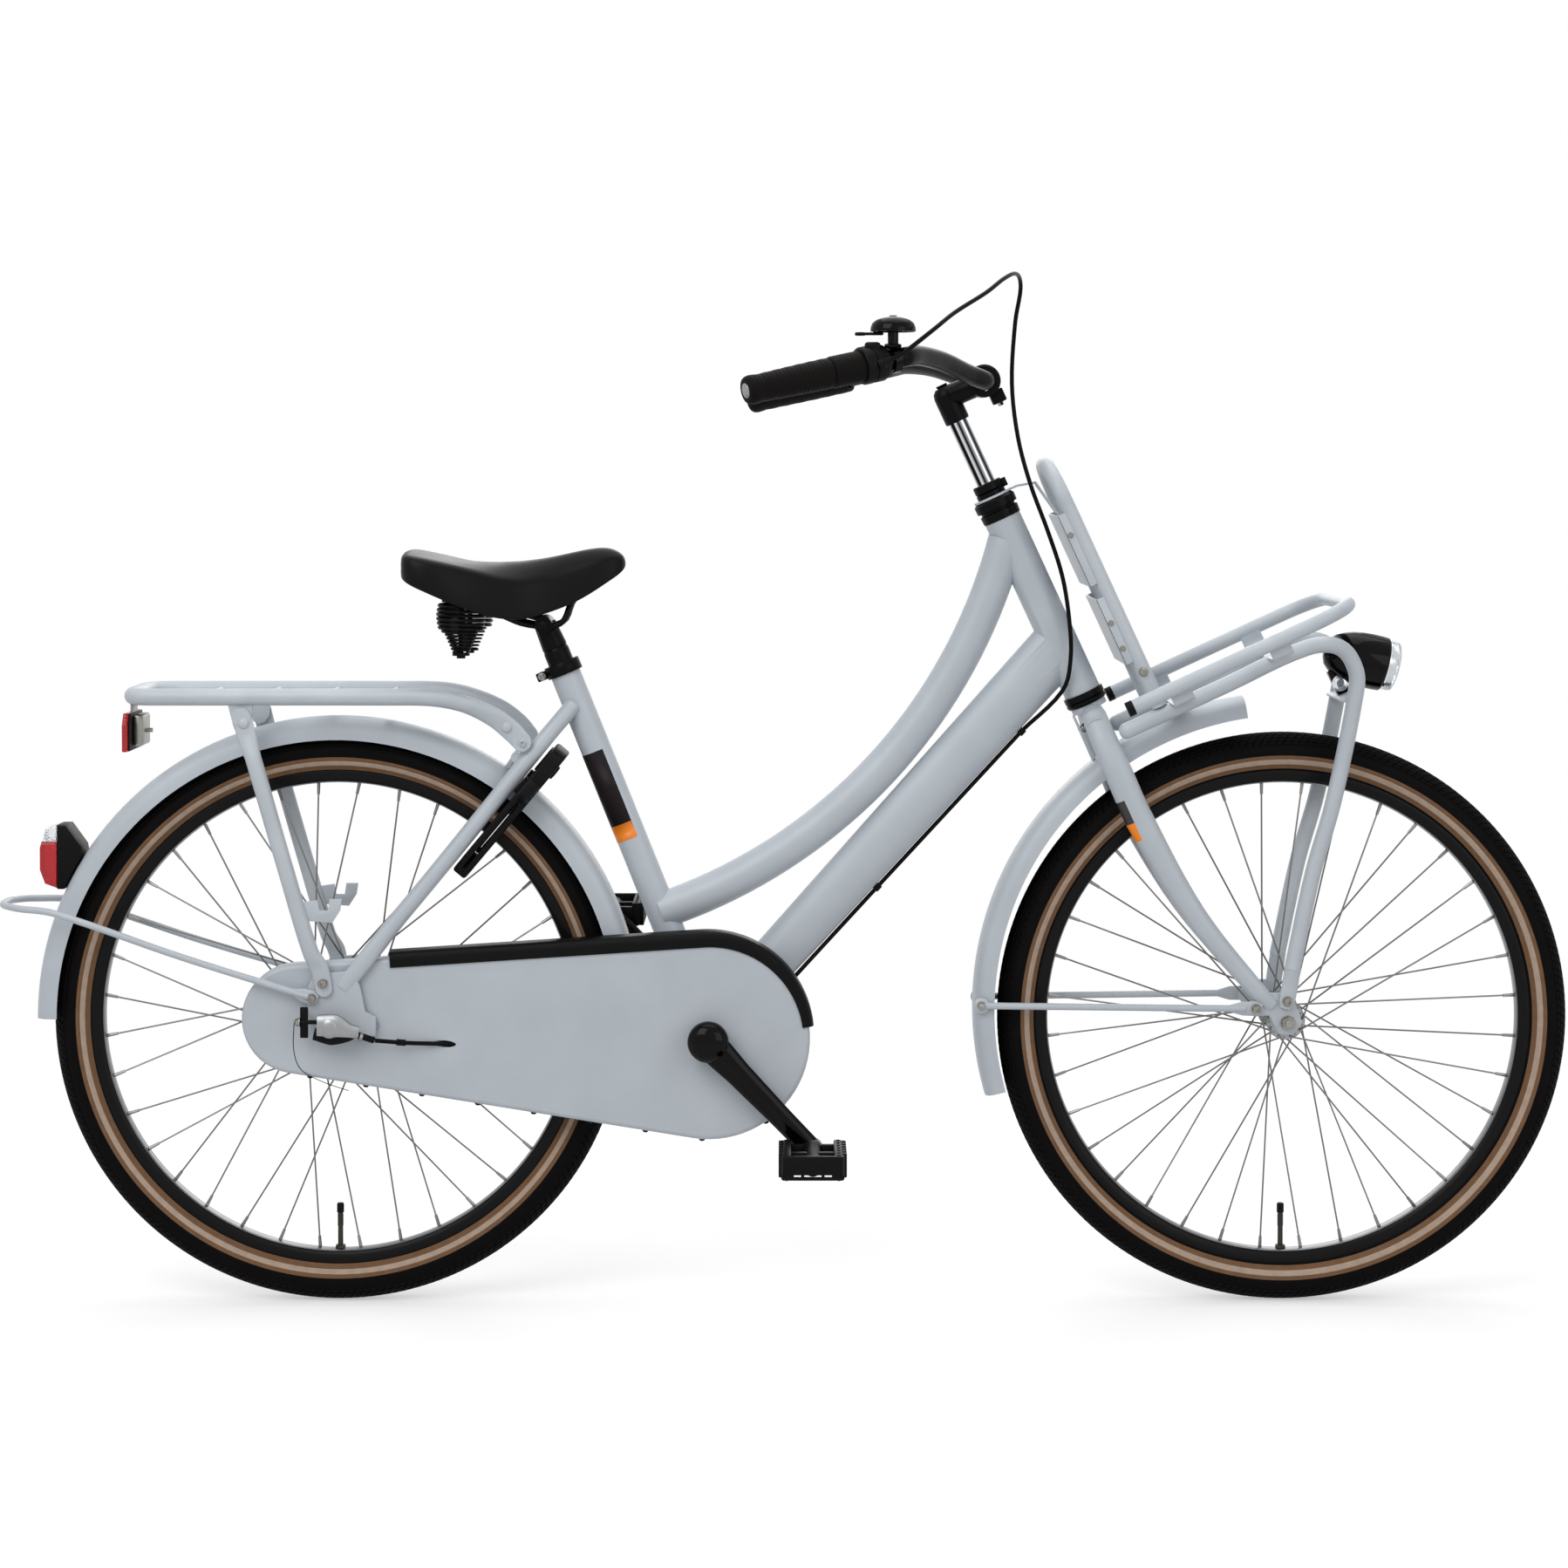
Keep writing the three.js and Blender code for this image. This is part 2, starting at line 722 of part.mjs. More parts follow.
// A ring wheel's phase: the angle of one roller lying on it
const onRingLinks = ((Math.PI + 2 * runLean) / (2 * Math.PI)) * chainringTeeth;
const ringRoller = chainAt(Math.ceil(straightRun(centres) / chainPitch));
const ringPhase = Math.atan2(ringRoller.z - bracketHeight, ringRoller.x - bracketX);
const cogRoller = chainAt(Math.ceil((2 * straightRun(centres)) / chainPitch + onRingLinks));
const cogPhase = Math.atan2(cogRoller.z - wheelRadius, cogRoller.x - rearAxleX);

function shifted(geometry, x, y, z) {
  return outward(geometry.clone().translate(x, y, z));
}

// A geometry whose Z axis is laid along a direction, from an origin
function laid(geometry, origin, direction) {
  const turn = new THREE.Quaternion().setFromUnitVectors(V(0, 0, 1), direction.clone().normalize());
  return outward(geometry.clone().applyQuaternion(turn).translate(origin.x, origin.y, origin.z));
}

// A limb of changing section; each size is [half width across Y, half depth in the side view]
function limb(points, sizes, sides = 12) {
  const frames = points.map((o, i) => {
    const before = points[Math.max(i - 1, 0)];
    const after = points[Math.min(i + 1, points.length - 1)];
    const along = after.clone().sub(before).normalize();
    const b = along.clone().cross(V(0, 1, 0)).normalize();
    const a = b.clone().cross(along);
    return { o, a: a.multiplyScalar(sizes[i][0]), b: b.multiplyScalar(sizes[i][1]) };
  });
  return sweep(round(1, sides), frames);
}

// A round hole or pin across the bicycle
function through(x, z, half, diameter) {
  return bar(V(x, -half, z), V(x, half, z), diameter, 12);
}

function boltHead(x, z, yFrom, yTo, diameter = boltDiameter) {
  return turned([[0, yFrom], [diameter / 2, yFrom], [diameter / 2, yTo], [0, yTo]], 8, x, z);
}

// The outline of a belt round two circles, in the side view
function beltOutline(front, frontRadius, rear, rearRadius, frontCount, rearCount) {
  const distance = Math.hypot(rear[0] - front[0], rear[1] - front[1]);
  const lean = Math.asin((frontRadius - rearRadius) / distance);
  const line = Math.atan2(rear[1] - front[1], rear[0] - front[0]);
  const deg = THREE.MathUtils.radToDeg;
  const top = deg(line - Math.PI / 2 + lean);
  const bottom = deg(line + Math.PI / 2 - lean);
  return [
    ...arc(front[0], front[1], frontRadius, top, bottom - 360, frontCount),
    ...arc(rear[0], rear[1], rearRadius, bottom, top, rearCount),
  ].reverse();
}

// Chain: a roller on each pin, between two bands of side plates that follow the same path
function chain() {
  const path = (offset) => beltOutline([bracketX, bracketHeight], ringRadius + offset,
    [rearAxleX, wheelRadius], cogRadius + offset, 20, 8);
  const half = chainPlateHeight / 2;
  const bandIn = chainInnerWidth / 2;
  const bands = [-1, 1].map((side) => {
    const hole = new THREE.Path(path(-half).map(([x, z]) => new THREE.Vector2(x, z)));
    const band = sidePlate(path(half), side * bandIn, side * (bandIn + chainPlateThickness), [hole]);
    return shifted(band, 0, -chainLine, 0);
  });
  const rollers = Array.from({ length: chainLinks }, (_, i) => {
    const pin = chainAt(i);
    const reach = bandIn + chainPlateThickness / 2;
    const other = i % 10 ? bandIn - rollerPlay : reach;
    const roller = bar(V(0, -reach, 0), V(0, other, 0), rollerDiameter, 3);
    return shifted(roller, pin.x, pin.y, pin.z);
  });
  return join(...bands, ...rollers);
}

function toothedWheel(teeth, pitchRadius, phase, x, z, boreRadius, windowCount, windowRadius, windowAt) {
  const holes = [circleHole(0, 0, boreRadius)];
  for (let i = 0; i < windowCount; i += 1) {
    const t = (i / windowCount) * 2 * Math.PI;
    holes.push(circleHole(windowAt * Math.cos(t), windowAt * Math.sin(t), windowRadius, 8));
  }
  const y = -chainLine;
  const outline = toothedOutline(teeth, pitchRadius, phase);
  const plate = sidePlate(outline, y - toothThickness / 2, y + toothThickness / 2, holes);
  return shifted(plate, x, 0, z);
}

const axleRadius = crankAxleDiameter / 2;
node(bicycle, 'chain', chain(), darkSteel);
node(bicycle, 'chainring', toothedWheel(chainringTeeth, ringRadius, ringPhase, bracketX, bracketHeight,
  axleRadius + 2 * seatGap, 5, ringRadius * 0.22, ringRadius * 0.55), steel);
const driverRadius = rearHubCap / 2;
const cogDisc = toothedWheel(sprocketTeeth, cogRadius, cogPhase, rearAxleX, wheelRadius,
  axleDiameter / 2 + runGap, 0, 0, 0);
const driver = collar(2 * driverRadius, axleDiameter + 2 * runGap, -chainLine - driverReach, -rearHubCapReach - runGap,
  12, rearAxleX, wheelRadius);
node(bicycle, 'sprocket', join(cogDisc, driver), darkSteel);

// Cranks and pedals

const crankCap = (side) => {
  const from = side * (crankInner + crankThickness - rimWall);
  const to = from + side * crankCapHeight;
  const r = crankCapDiameter / 2;
  return turned([[0, from], [r, from], [r * 0.9, (from + to) / 2], [r * 0.5, to], [0, to]], 18, bracketX, bracketHeight);
};
const pedalAngles = [-crankAngle, 180 - crankAngle];
function crankArm(side) {
  const angle = rad(side < 0 ? pedalAngles[0] : pedalAngles[1]);
  const eye = V(bracketX + crankLength * Math.cos(angle), 0, bracketHeight + crankLength * Math.sin(angle));
  const inner = side * crankInner;
  const outer = side * (crankInner + crankThickness);
  const boss = boltHead(bracketX, bracketHeight, inner, outer, crankBoss);
  const end = boltHead(eye.x, eye.z, inner, outer, crankEye);
  const nx = -Math.sin(angle);
  const nz = Math.cos(angle);
  const wide = crankBoss * 0.42;
  const slim = crankEye * 0.44;
  const arm = sidePlate([
    [bracketX + nx * wide, bracketHeight + nz * wide], [eye.x + nx * slim, eye.z + nz * slim],
    [eye.x - nx * slim, eye.z - nz * slim], [bracketX - nx * wide, bracketHeight - nz * wide],
  ], inner, outer);
  const bore = boltHead(bracketX, bracketHeight, side * (crankInner - overrun), side * (crankAxleHalf + seatGap),
    crankAxleDiameter + 2 * seatGap);
  const spindle = boltHead(eye.x, eye.z, outer - side * overrun, side * (pedalOuter - overrun), spindleDiameter);
  return join(cut(join(boss, end, arm, spindle), bore), crankCap(side));
}

// A platform pedal: a toothed frame with two windows, bored for its spindle
function pedal(side) {
  const angle = rad(side < 0 ? pedalAngles[0] : pedalAngles[1]);
  const x = bracketX + crankLength * Math.cos(angle);
  const z = bracketHeight + crankLength * Math.sin(angle);
  const half = pedalLength / 2;
  const y0 = crankInner + crankThickness + runGap * 4;
  const width = pedalOuter - y0;
  const edge = [];
  for (let i = 0; i <= pedalTeeth; i += 1) {
    const y = y0 + (i / pedalTeeth) * width;
    edge.push([half - pedalToothDepth, y]);
    if (i < pedalTeeth) edge.push([half, y + (width / pedalTeeth) * 0.3], [half, y + (width / pedalTeeth) * 0.7]);
  }
  const back = edge.map(([p, q]) => [-p, q]).reverse();
  const shape = new THREE.Shape([...edge, ...back].map(([p, q]) => new THREE.Vector2(p, q)));
  const plan = outward(new THREE.ExtrudeGeometry(shape, { depth: pedalHeight, bevelEnabled: false }));
  plan.translate(0, 0, -pedalHeight / 2);
  const rail = pedalLength * 0.13;
  const hub = spindleDiameter * 1.1;
  const end = width * 0.12;
  const windows = [-1, 1].map((way) => box(way * hub, way * (half - rail), y0 + end, y0 + width - end,
    -pedalHeight, pedalHeight));
  const bore = boltHead(0, 0, y0 - overrun, pedalOuter - overrun + 2 * runGap, spindleDiameter + 2 * runGap);
  const body = shifted(cut(plan, ...windows, bore), x, 0, z);
  return side < 0 ? mirrored(body) : body;
}

const axleBar = boltHead(bracketX, bracketHeight, -crankAxleHalf, crankAxleHalf, crankAxleDiameter);
node(bicycle, 'right_crank', crankArm(-1), gloss);
node(bicycle, 'left_crank', crankArm(1), gloss);
node(bicycle, 'crank_axle', axleBar, steel);
node(bicycle, 'right_pedal', pedal(-1), matt);
node(bicycle, 'left_pedal', pedal(1), matt);

// Frame weldment

const seatDirection = V(-Math.sin(rad(seatLean)), 0, Math.cos(rad(seatLean)));
const onSeatTube = (distance) => bracket.clone().addScaledVector(seatDirection, distance);
const fromRear = (x, y, z) => V(rearAxleX + x, y, wheelRadius + z);

// An arc of a given radius from one point to another, bulging down and forwards
function sag(from, to, radius, count) {
  const chord = to.clone().sub(from);
  const half = chord.length() / 2;
  const off = V(-chord.z, 0, chord.x).normalize().multiplyScalar(Math.sqrt(radius ** 2 - half ** 2));
  const c = from.clone().add(to).multiplyScalar(0.5).add(off);
  const a0 = Math.atan2(from.z - c.z, from.x - c.x);
  const a1 = Math.atan2(to.z - c.z, to.x - c.x);
  return Array.from({ length: count + 1 }, (_, i) => {
    const t = a0 + ((a1 - a0) * i) / count;
    return V(c.x + radius * Math.cos(t), 0, c.z + radius * Math.sin(t));
  });
}

const headTube = bar(steerPoint(0, 0, headTubeLow), steerPoint(0, 0, headTubeHigh), headTubeDiameter, 16);
const seatTube = bar(bracket, onSeatTube(seatTubeLength), seatTubeDiameter, 14);
const topTube = tube(sag(onSeatTube(topTubeSeat), steerPoint(-topTubeHeadBack, 0, topTubeHead), topTubeRadius, 12),
  topTubeDiameter, 10, 12);
const downTube = limb([bracket, bracket.clone().lerp(steerPoint(0, 0, downTubeHead), 0.5), steerPoint(0, 0, downTubeHead)],
  [[downTubeWidth / 2, downTubeHeightLow / 2], [downTubeWidth / 2, (downTubeHeightLow + downTubeHeightHigh) / 4],
    [downTubeWidth * 0.47, downTubeHeightHigh / 2]], 14);
const shell = collar(bracketDiameter, bracketBore - overrun, -bracketWidth / 2, bracketWidth / 2, 16, bracketX, bracketHeight);

const stayR = stayDiameter / 2;
const flat = dropoutThickness * 0.92;
const dropoutY = dropoutInner + dropoutThickness / 2;
const seatStayPoints = [
  fromRear(272, 14, 361), fromRear(240, 36, 323), fromRear(205, 45, 280), fromRear(115, 55, 169),
  fromRear(62, 61, 105), fromRear(36, dropoutY - 0.6, 72), fromRear(12, dropoutY - 0.6, 42),
];
const seatStaySizes = [[stayR, stayR], [stayR, stayR], [stayR, stayR], [stayR, stayR], [stayR * 0.9, stayR],
  [flat, stayR * 1.05], [flat, stayR]];
const seatStay = limb(seatStayPoints, seatStaySizes, 8);
const chainStayPoints = [
  V(bracketX - 6, 22, bracketHeight + 1), fromRear(315, 36, -12), fromRear(170, 47, -8), fromRear(82, 56, -4),
  fromRear(46, dropoutY - 4, -2),
];
const chainStaySizes = (extra) => [[8.5, 9], [8.5, 9], [8.5, 9], [8, 9], [5.5, 8]].map(([p, q]) => [p + extra, q + extra]);
const chainStay = limb(chainStayPoints, chainStaySizes(0), 8);
const dropoutOutline = [[-19, -14], [-29, 26], [-30, 38], [-20, 58], [2, 60], [24, 62], [32, 44], [42, 10], [64, 8], [64, -12],
  [22, -18], [4, -21]].map(([x, z]) => [rearAxleX + x, wheelRadius + z]);
const dropout = sidePlate(dropoutOutline, dropoutInner, dropoutInner + dropoutThickness);
const bridgeAt = fromRear(208, 0, 303);
// Cross tubes behind the seat tube and the bracket
const bridge = bar(V(bridgeAt.x, -44, bridgeAt.z), V(bridgeAt.x, 44, bridgeAt.z), bridgeDiameter, 10);
const lowBridge = bar(fromRear(342, -34, -12), fromRear(342, 34, -12), bridgeDiameter, 10);

const weldment = join(headTube, topTube, downTube, seatTube, shell, bridge, lowBridge,
  ...bothSides(seatStay), ...bothSides(chainStay), ...bothSides(dropout));
const headBore = bar(steerPoint(0, 0, headTubeLow - overrun), steerPoint(0, 0, headTubeHigh + overrun), headTubeBore, 16);
const bracketHole = bar(V(bracketX, -bracketWidth, bracketHeight), V(bracketX, bracketWidth, bracketHeight), bracketBore, 16);
const postBore = bar(onSeatTube(seatTubeLength - postDepth - overrun * 2), onSeatTube(seatTubeLength + overrun),
  seatPostDiameter + 2 * runGap, 14);
const axleHole = through(rearAxleX, wheelRadius, dropoutInner * 1.2, axleDiameter + 2 * seatGap);
node(bicycle, 'frame', cut(weldment, headBore, bracketHole, postBore, axleHole), paint);

// Headset, in the steering frame
const steererR = steererDiameter / 2;
const cupR = cupDiameter / 2;
const pressedR = headTubeBore / 2 - 2 * seatGap;
const lowerCup = zTurned([
  [steererR + runGap, cupLow], [cupR, cupLow], [cupR, headTubeLow - seatGap], [pressedR, headTubeLow - seatGap],
  [pressedR, headTubeLow + cupWall], [steererR + runGap, headTubeLow + cupWall], [steererR + runGap, cupLow],
], 14);
const upperCup = zTurned([
  [steererR + runGap, headTubeHigh - cupWall], [pressedR, headTubeHigh - cupWall], [pressedR, headTubeHigh + seatGap],
  [cupR * 0.92, headTubeHigh + seatGap], [cupR * 1.04, cupTop], [steererR + runGap, cupTop],
  [steererR + runGap, headTubeHigh - cupWall],
], 14);
node(steering, 'lower_headset_cup', lowerCup, black);
node(steering, 'upper_headset_cup', upperCup, black);

// Seat tube clamp, a split ring with its bolt behind
const postR = seatPostDiameter / 2;
const clampRing = zTurned([[postR + runGap, 0], [seatTubeDiameter * 0.6, 0], [seatTubeDiameter * 0.6, seatClampHeight],
  [postR + runGap, seatClampHeight], [postR + runGap, 0]], 16);
const clampLug = box(-seatTubeDiameter * 0.6 - seatClampHeight * 0.8, -postR - 2 * runGap, -seatClampHeight * 0.4,
  seatClampHeight * 0.4, seatClampHeight * 0.15, seatClampHeight * 0.85);
const clampBolt = bar(V(-seatTubeDiameter * 0.75, -seatClampHeight, seatClampHeight / 2),
  V(-seatTubeDiameter * 0.75, seatClampHeight, seatClampHeight / 2), boltDiameter * 0.6, 6);
const seatClamp = join(clampRing, clampLug, clampBolt);
node(bicycle, 'seat_clamp', laid(seatClamp, onSeatTube(seatTubeLength + seatGap), seatDirection), black);

// Seat post, narrowing to the saddle's clamp
const postFoot = onSeatTube(seatTubeLength - postDepth);
const postNeck = onSeatTube(seatTubeLength + postRise);
const postTop = onSeatTube(seatTubeLength + postRise + postNeckLength);
const seatPost = join(
  bar(postFoot, postNeck, seatPostDiameter, 14),
  bar(onSeatTube(seatTubeLength + postRise - overrun), postTop, seatPostDiameter * 0.73, 14),
);
node(bicycle, 'seatpost', seatPost, black);

// Mudguards: a shallow hoop of one curved section
function mudguard(radius, depth, from, to, steps) {
  const half = mudguardWidth / 2;
  const wall = mudguardWall;
  const outer = mudguardShares.map(([across, down]) => [across * half, -down * depth]);
  const inner = mudguardShares.map(([across, down]) => [across * (half - wall), -down * (depth - wall) - wall]);
  inner[0][1] = outer[0][1];
  inner[inner.length - 1][1] = outer[0][1];
  const profile = [...outer, ...inner.reverse()];
  const frames = arc(0, 0, radius, from, to, steps).map(([x, z]) => ({
    o: V(x, 0, z), a: V(0, 1, 0), b: V(x, 0, z).normalize(),
  }));
  return sweep(profile, frames);
}

const guardSteps = 14;
const guardFlat = Math.cos(rad((rearMudguardEnd - rearMudguardStart) / guardSteps / 2));
const rearGuard = shifted(mudguard(rearMudguardRadius, rearMudguardDepth, rearMudguardStart, rearMudguardEnd, guardSteps),
  rearAxleX, 0, wheelRadius);
const bridgeWay = V(bridgeAt.x - rearAxleX, 0, bridgeAt.z - wheelRadius);
const bridgeRadius = bridgeWay.length();
bridgeWay.normalize();
const onBridge = (radius) => V(rearAxleX, 0, wheelRadius).addScaledVector(bridgeWay, radius);
const guardBolt = bar(onBridge(rearMudguardRadius * guardFlat - mudguardWall / 2),
  onBridge(bridgeRadius - bridgeDiameter / 2 - seatGap), boltDiameter, 8);
node(bicycle, 'rear_mudguard', join(rearGuard, guardBolt), paint);
const lean = headLean;
const frontGuard = shifted(mudguard(frontMudguardRadius, frontMudguardDepth, frontMudguardStart - lean,
  frontMudguardEnd - lean, 9), forkRake, 0, -axleToCrown);
const guardTop = -axleToCrown + Math.sqrt(frontMudguardRadius ** 2 - (forkRake + bladeTop) ** 2);
const guardTab = sidePlate([[-bladeTop - 2, -bladeTop * 0.3], [-bladeTop, -bladeTop * 0.3],
  [-bladeTop + 1, guardTop - 2], [-bladeTop - 3, guardTop - 3]], -stripWidth * 0.4, stripWidth * 0.4);
node(steering, 'front_mudguard', join(frontGuard, guardTab), paint);

// A rod with a flattened, bolted eye at each end
function stayRod(points, diameter, steps) {
  return tube(points, diameter, steps, 6);
}

function eye(x, z, y0, y1, diameter) {
  return boltHead(x, z, y0, y1, diameter);
}

const outsideDropout = dropoutInner + dropoutThickness + seatGap;
const hoopR = mudguardStayDiameter / 2;
const hoopPath = [
  fromRear(-26, outsideDropout + hoopR, 33), fromRear(-170, outsideDropout - 2, 77), fromRear(-318, 60, 126),
  fromRear(-362, 47, 130), fromRear(-383, 24, 131), fromRear(hoopR - hoopReach, 0, 131),
];
const hoopOther = hoopPath.slice(0, -1).map(({ x, y, z }) => V(x, -y, z)).reverse();
const hoopEyes = bothSides(eye(rearAxleX - 22, wheelRadius + 31.5, outsideDropout, outsideDropout + hoopR * 1.4, 14));
const hoopBolts = bothSides(eye(rearAxleX - 22, wheelRadius + 31.5, outsideDropout + hoopR, outsideDropout + 2.4 * hoopR,
  boltDiameter * 0.85));
node(bicycle, 'rear_mudguard_hoop', join(stayRod([...hoopPath, ...hoopOther], mudguardStayDiameter, 18), ...hoopEyes,
  ...hoopBolts), paint);

const outsideFork = frontDropoutInner + frontDropoutThickness + seatGap;
for (const [name, side] of [['right', -1], ['left', 1]]) {
  const y = side * (outsideFork + hoopR);
  const from = intoSteer(frontAxleX - frontStayReach, side * (mudguardWidth / 2 + hoopR + seatGap), wheelRadius + frontStayRise);
  const to = V(frontEyeletU, y, frontEyeletW);
  const pin = boltHead(to.x, to.z, side * outsideFork, side * (outsideFork + 3 * hoopR), boltDiameter);
  node(steering, `${name}_mudguard_stay`, join(stayRod([from, from.clone().lerp(to, 0.5), to], mudguardStayDiameter, 4), pin),
    paint);
}

// Rear carrier
const railTop = rackHeight;
const rackPath = [
  V(-312, 55, 664), V(-332, 57.5, 680), V(-362, 63, 694), V(-400, rackHalfWidth, railTop - 1),
  V(-450, rackHalfWidth, railTop), V(rearAxleX - rackRearReach + 60, rackHalfWidth, railTop),
];
const rearX = rearAxleX - rackRearReach + rackTubeDiameter / 2;
const rackCorner = [
  V(rearX + 30, rackHalfWidth, railTop), V(rearX + 8, rackHalfWidth - 8, railTop), V(rearX, rackHalfWidth - 30, railTop),
  V(rearX, 0, railTop),
];
const rackHalf = [...rackPath, ...rackCorner];
const rackOther = rackHalf.slice(0, -1).map(({ x, y, z }) => V(x, -y, z)).reverse();
const rackLoop = tube([...rackHalf, ...rackOther], rackTubeDiameter, 26, 6);
const rods = Array.from({ length: rackRodCount }, (_, i) => {
  const x = rearAxleX + rackRodFront - i * rackRodPitch;
  return bar(V(x, -rackHalfWidth, railTop), V(x, rackHalfWidth, railTop), rackRodDiameter, 8);
});
const clampPlate = sidePlate([[-345, 690], [-338, 656], [-296, 636], [-280, 650], [-296, 682], [-322, 694]], 50.5, 55.5);
const clampHead = boltHead(-303, 654, 52, 61, boltDiameter);
const legPlate = sidePlate([[-634, 700], [-604, 700], [-608, 664], [-626, 664]], rackHalfWidth - 2.5, rackHalfWidth + 2.5);
node(bicycle, 'rear_rack', join(rackLoop, ...rods, ...bothSides(clampPlate), ...bothSides(clampHead), ...bothSides(legPlate)),
  carrierPaint);

const legY = outsideDropout + flat;
const legTop = V(-616, rackHalfWidth + 2.5 + seatGap + 2.5, 680);
const legPoints = [legTop, V(-611, rackHalfWidth + 5.5, 660), V(-603, legY, 634), V(-566, legY, 505), V(-539, legY, 414),
  V(-529, legY - 1, 395), V(-524, outsideDropout + 2.5, 372)];
const legR = rackLegDiameter / 2;
const legSizes = [[2.5, 11], [2.6, 11], [legR - 1, legR], [legR - 1, legR], [legR - 1, legR], [4, legR], [2.5, legR]];
for (const [name, side] of [['right', -1], ['left', 1]]) {
  const bolts = [
    boltHead(-614, 674, rackHalfWidth + 6, rackHalfWidth + 13, boltDiameter),
    boltHead(-525, 378, outsideDropout + 1, outsideDropout + 9, boltDiameter),
  ];
  const leg = join(limb(legPoints, legSizes, 10), ...bolts);
  node(bicycle, `${name}_rack_leg`, side < 0 ? mirrored(leg) : leg, carrierPaint);
}

// Reflector under the carrier's rear end
const reflectorX = rearAxleX - rackRearReach;
const reflectorPlate = box(reflectorX + 2, reflectorX + 5, -stripWidth * 0.6, stripWidth * 0.6,
  railTop - rackTubeDiameter / 2 - 24, railTop - rackTubeDiameter / 2 - seatGap);
const reflectorFoot = box(reflectorX + 2, reflectorX + 22, -stripWidth * 0.6, stripWidth * 0.6,
  railTop - rackTubeDiameter / 2 - seatGap - 3, railTop - rackTubeDiameter / 2 - seatGap);
const reflectorShape = new THREE.Shape();
reflectorShape.moveTo(-reflectorWidth / 2, -reflectorHeight / 2);
reflectorShape.lineTo(reflectorWidth / 2, -reflectorHeight / 2);
reflectorShape.lineTo(reflectorWidth / 2, reflectorHeight * 0.2);
reflectorShape.lineTo(reflectorWidth * 0.4, reflectorHeight / 2);
reflectorShape.lineTo(-reflectorWidth * 0.4, reflectorHeight / 2);
reflectorShape.lineTo(-reflectorWidth / 2, reflectorHeight * 0.2);
reflectorShape.closePath();
const reflectorBody = outward(new THREE.ExtrudeGeometry(reflectorShape, { depth: reflectorDepth, bevelEnabled: false }));
reflectorBody.rotateX(Math.PI / 2).rotateZ(Math.PI / 2);
reflectorBody.translate(reflectorX + 3 - reflectorDepth / 2, 0, railTop - rackTubeDiameter / 2 - reflectorHeight * 0.75);
node(bicycle, 'rear_reflector', join(reflectorBody, reflectorPlate, reflectorFoot), redLens);

// Rear light on the mudguard
const lightZ = [478.5, 552.3];
const guardLine = arc(rearAxleX, wheelRadius, rearMudguardRadius, rearMudguardStart, rearMudguardEnd, guardSteps);
function guardX(z) {
  const i = guardLine.findIndex(([x, height], k) => x < rearAxleX && k > 0 && height <= z);
  const [x0, z0] = guardLine[i - 1];
  const [x1, z1] = guardLine[i];
  return x0 + ((x1 - x0) * (z - z0)) / (z1 - z0) - 2 * seatGap;
}
const lightBackX = -838.2;
const lightBody = sidePlate([[lightBackX, lightZ[0]], [guardX(lightZ[0]), lightZ[0]], [guardX(500), 500],
  [guardX(518), 518], [guardX(518) - 4, 528], [-814, lightZ[1]], [lightBackX, lightZ[1]]], -lightWidth / 2, lightWidth / 2);
const lightClip = sidePlate([[-816, 543], [-816, 540], [guardX(547), 547], [guardX(551), 551]], -8, 8);
const lensX = lightBackX - seatGap;
const lens = sidePlate([[lensX, lightZ[0] + 1], [lensX, lightZ[1]], [lensX - lensDepth * 0.8, lightZ[1] - 8],
  [lensX - lensDepth, lightZ[1] - 26], [lensX - lensDepth, lightZ[0] + 22], [lensX - lensDepth * 0.7, lightZ[0] + 6]],
-lightWidth / 2 + 1, lightWidth / 2 - 1);
node(bicycle, 'rear_light_body', join(lightBody, lightClip), black);
node(bicycle, 'rear_light_lens', lens, redLens);

// Ring lock: built flat, across X and along Z from the axle, then stood on its radial line
function onLockPlane(geometry) {
  const t = rad(lockAngle);
  const basis = new THREE.Matrix4().makeBasis(V(0, 1, 0), V(-Math.sin(t), 0, Math.cos(t)), V(Math.cos(t), 0, Math.sin(t)));
  basis.setPosition(rearAxleX, 0, wheelRadius);
  return outward(geometry.clone().applyMatrix4(basis));
}
const lockHalf = [[0, 405], [34, 400], [54, 380], [60, 350], [60, 262], [54, 232], [46, 221], [38, 228], [36, 262],
  [35.5, 338], [30, 353], [0, 357]];
const lockOutline = [...lockHalf, ...lockHalf.slice(1, -1).map(([x, z]) => [-x, z]).reverse()];
const lockFrame = sidePlate(lockOutline, -lockThickness / 2, lockThickness / 2);
function ringPart(inner, outer, from, to, y, steps) {
  const points = [...arc(0, lockCentre, outer, from, to, steps), ...arc(0, lockCentre, inner, to, from, steps)];
  return sidePlate(points, -y, y);
}
const channel = ringPart(lockBowRadius - lockBowWidth / 2 - runGap, lockBowRadius + lockBowWidth / 2 + runGap,
  133, 242, lockBowWidth / 2 + runGap, 10);
const slot = ringPart(lockBowRadius, lockBowRadius * 2.2, 136, 228, lockLeverHalf + runGap, 8);
const lockLug = box(lockLugFrom, lockLugFrom + 10, lockThickness * 0.4, lockLugReach, 335, 357);
const otherLug = box(-lockLugFrom - 10, -lockLugFrom, lockThickness * 0.4, lockLugReach, 335, 357);
node(bicycle, 'ring_lock_body', onLockPlane(join(cut(lockFrame, channel, slot), lockLug, otherLug)), black);
const bowArc = ringPart(lockBowRadius - lockBowWidth / 2, lockBowRadius + lockBowWidth / 2, 138, 227, lockBowWidth / 2, 8);
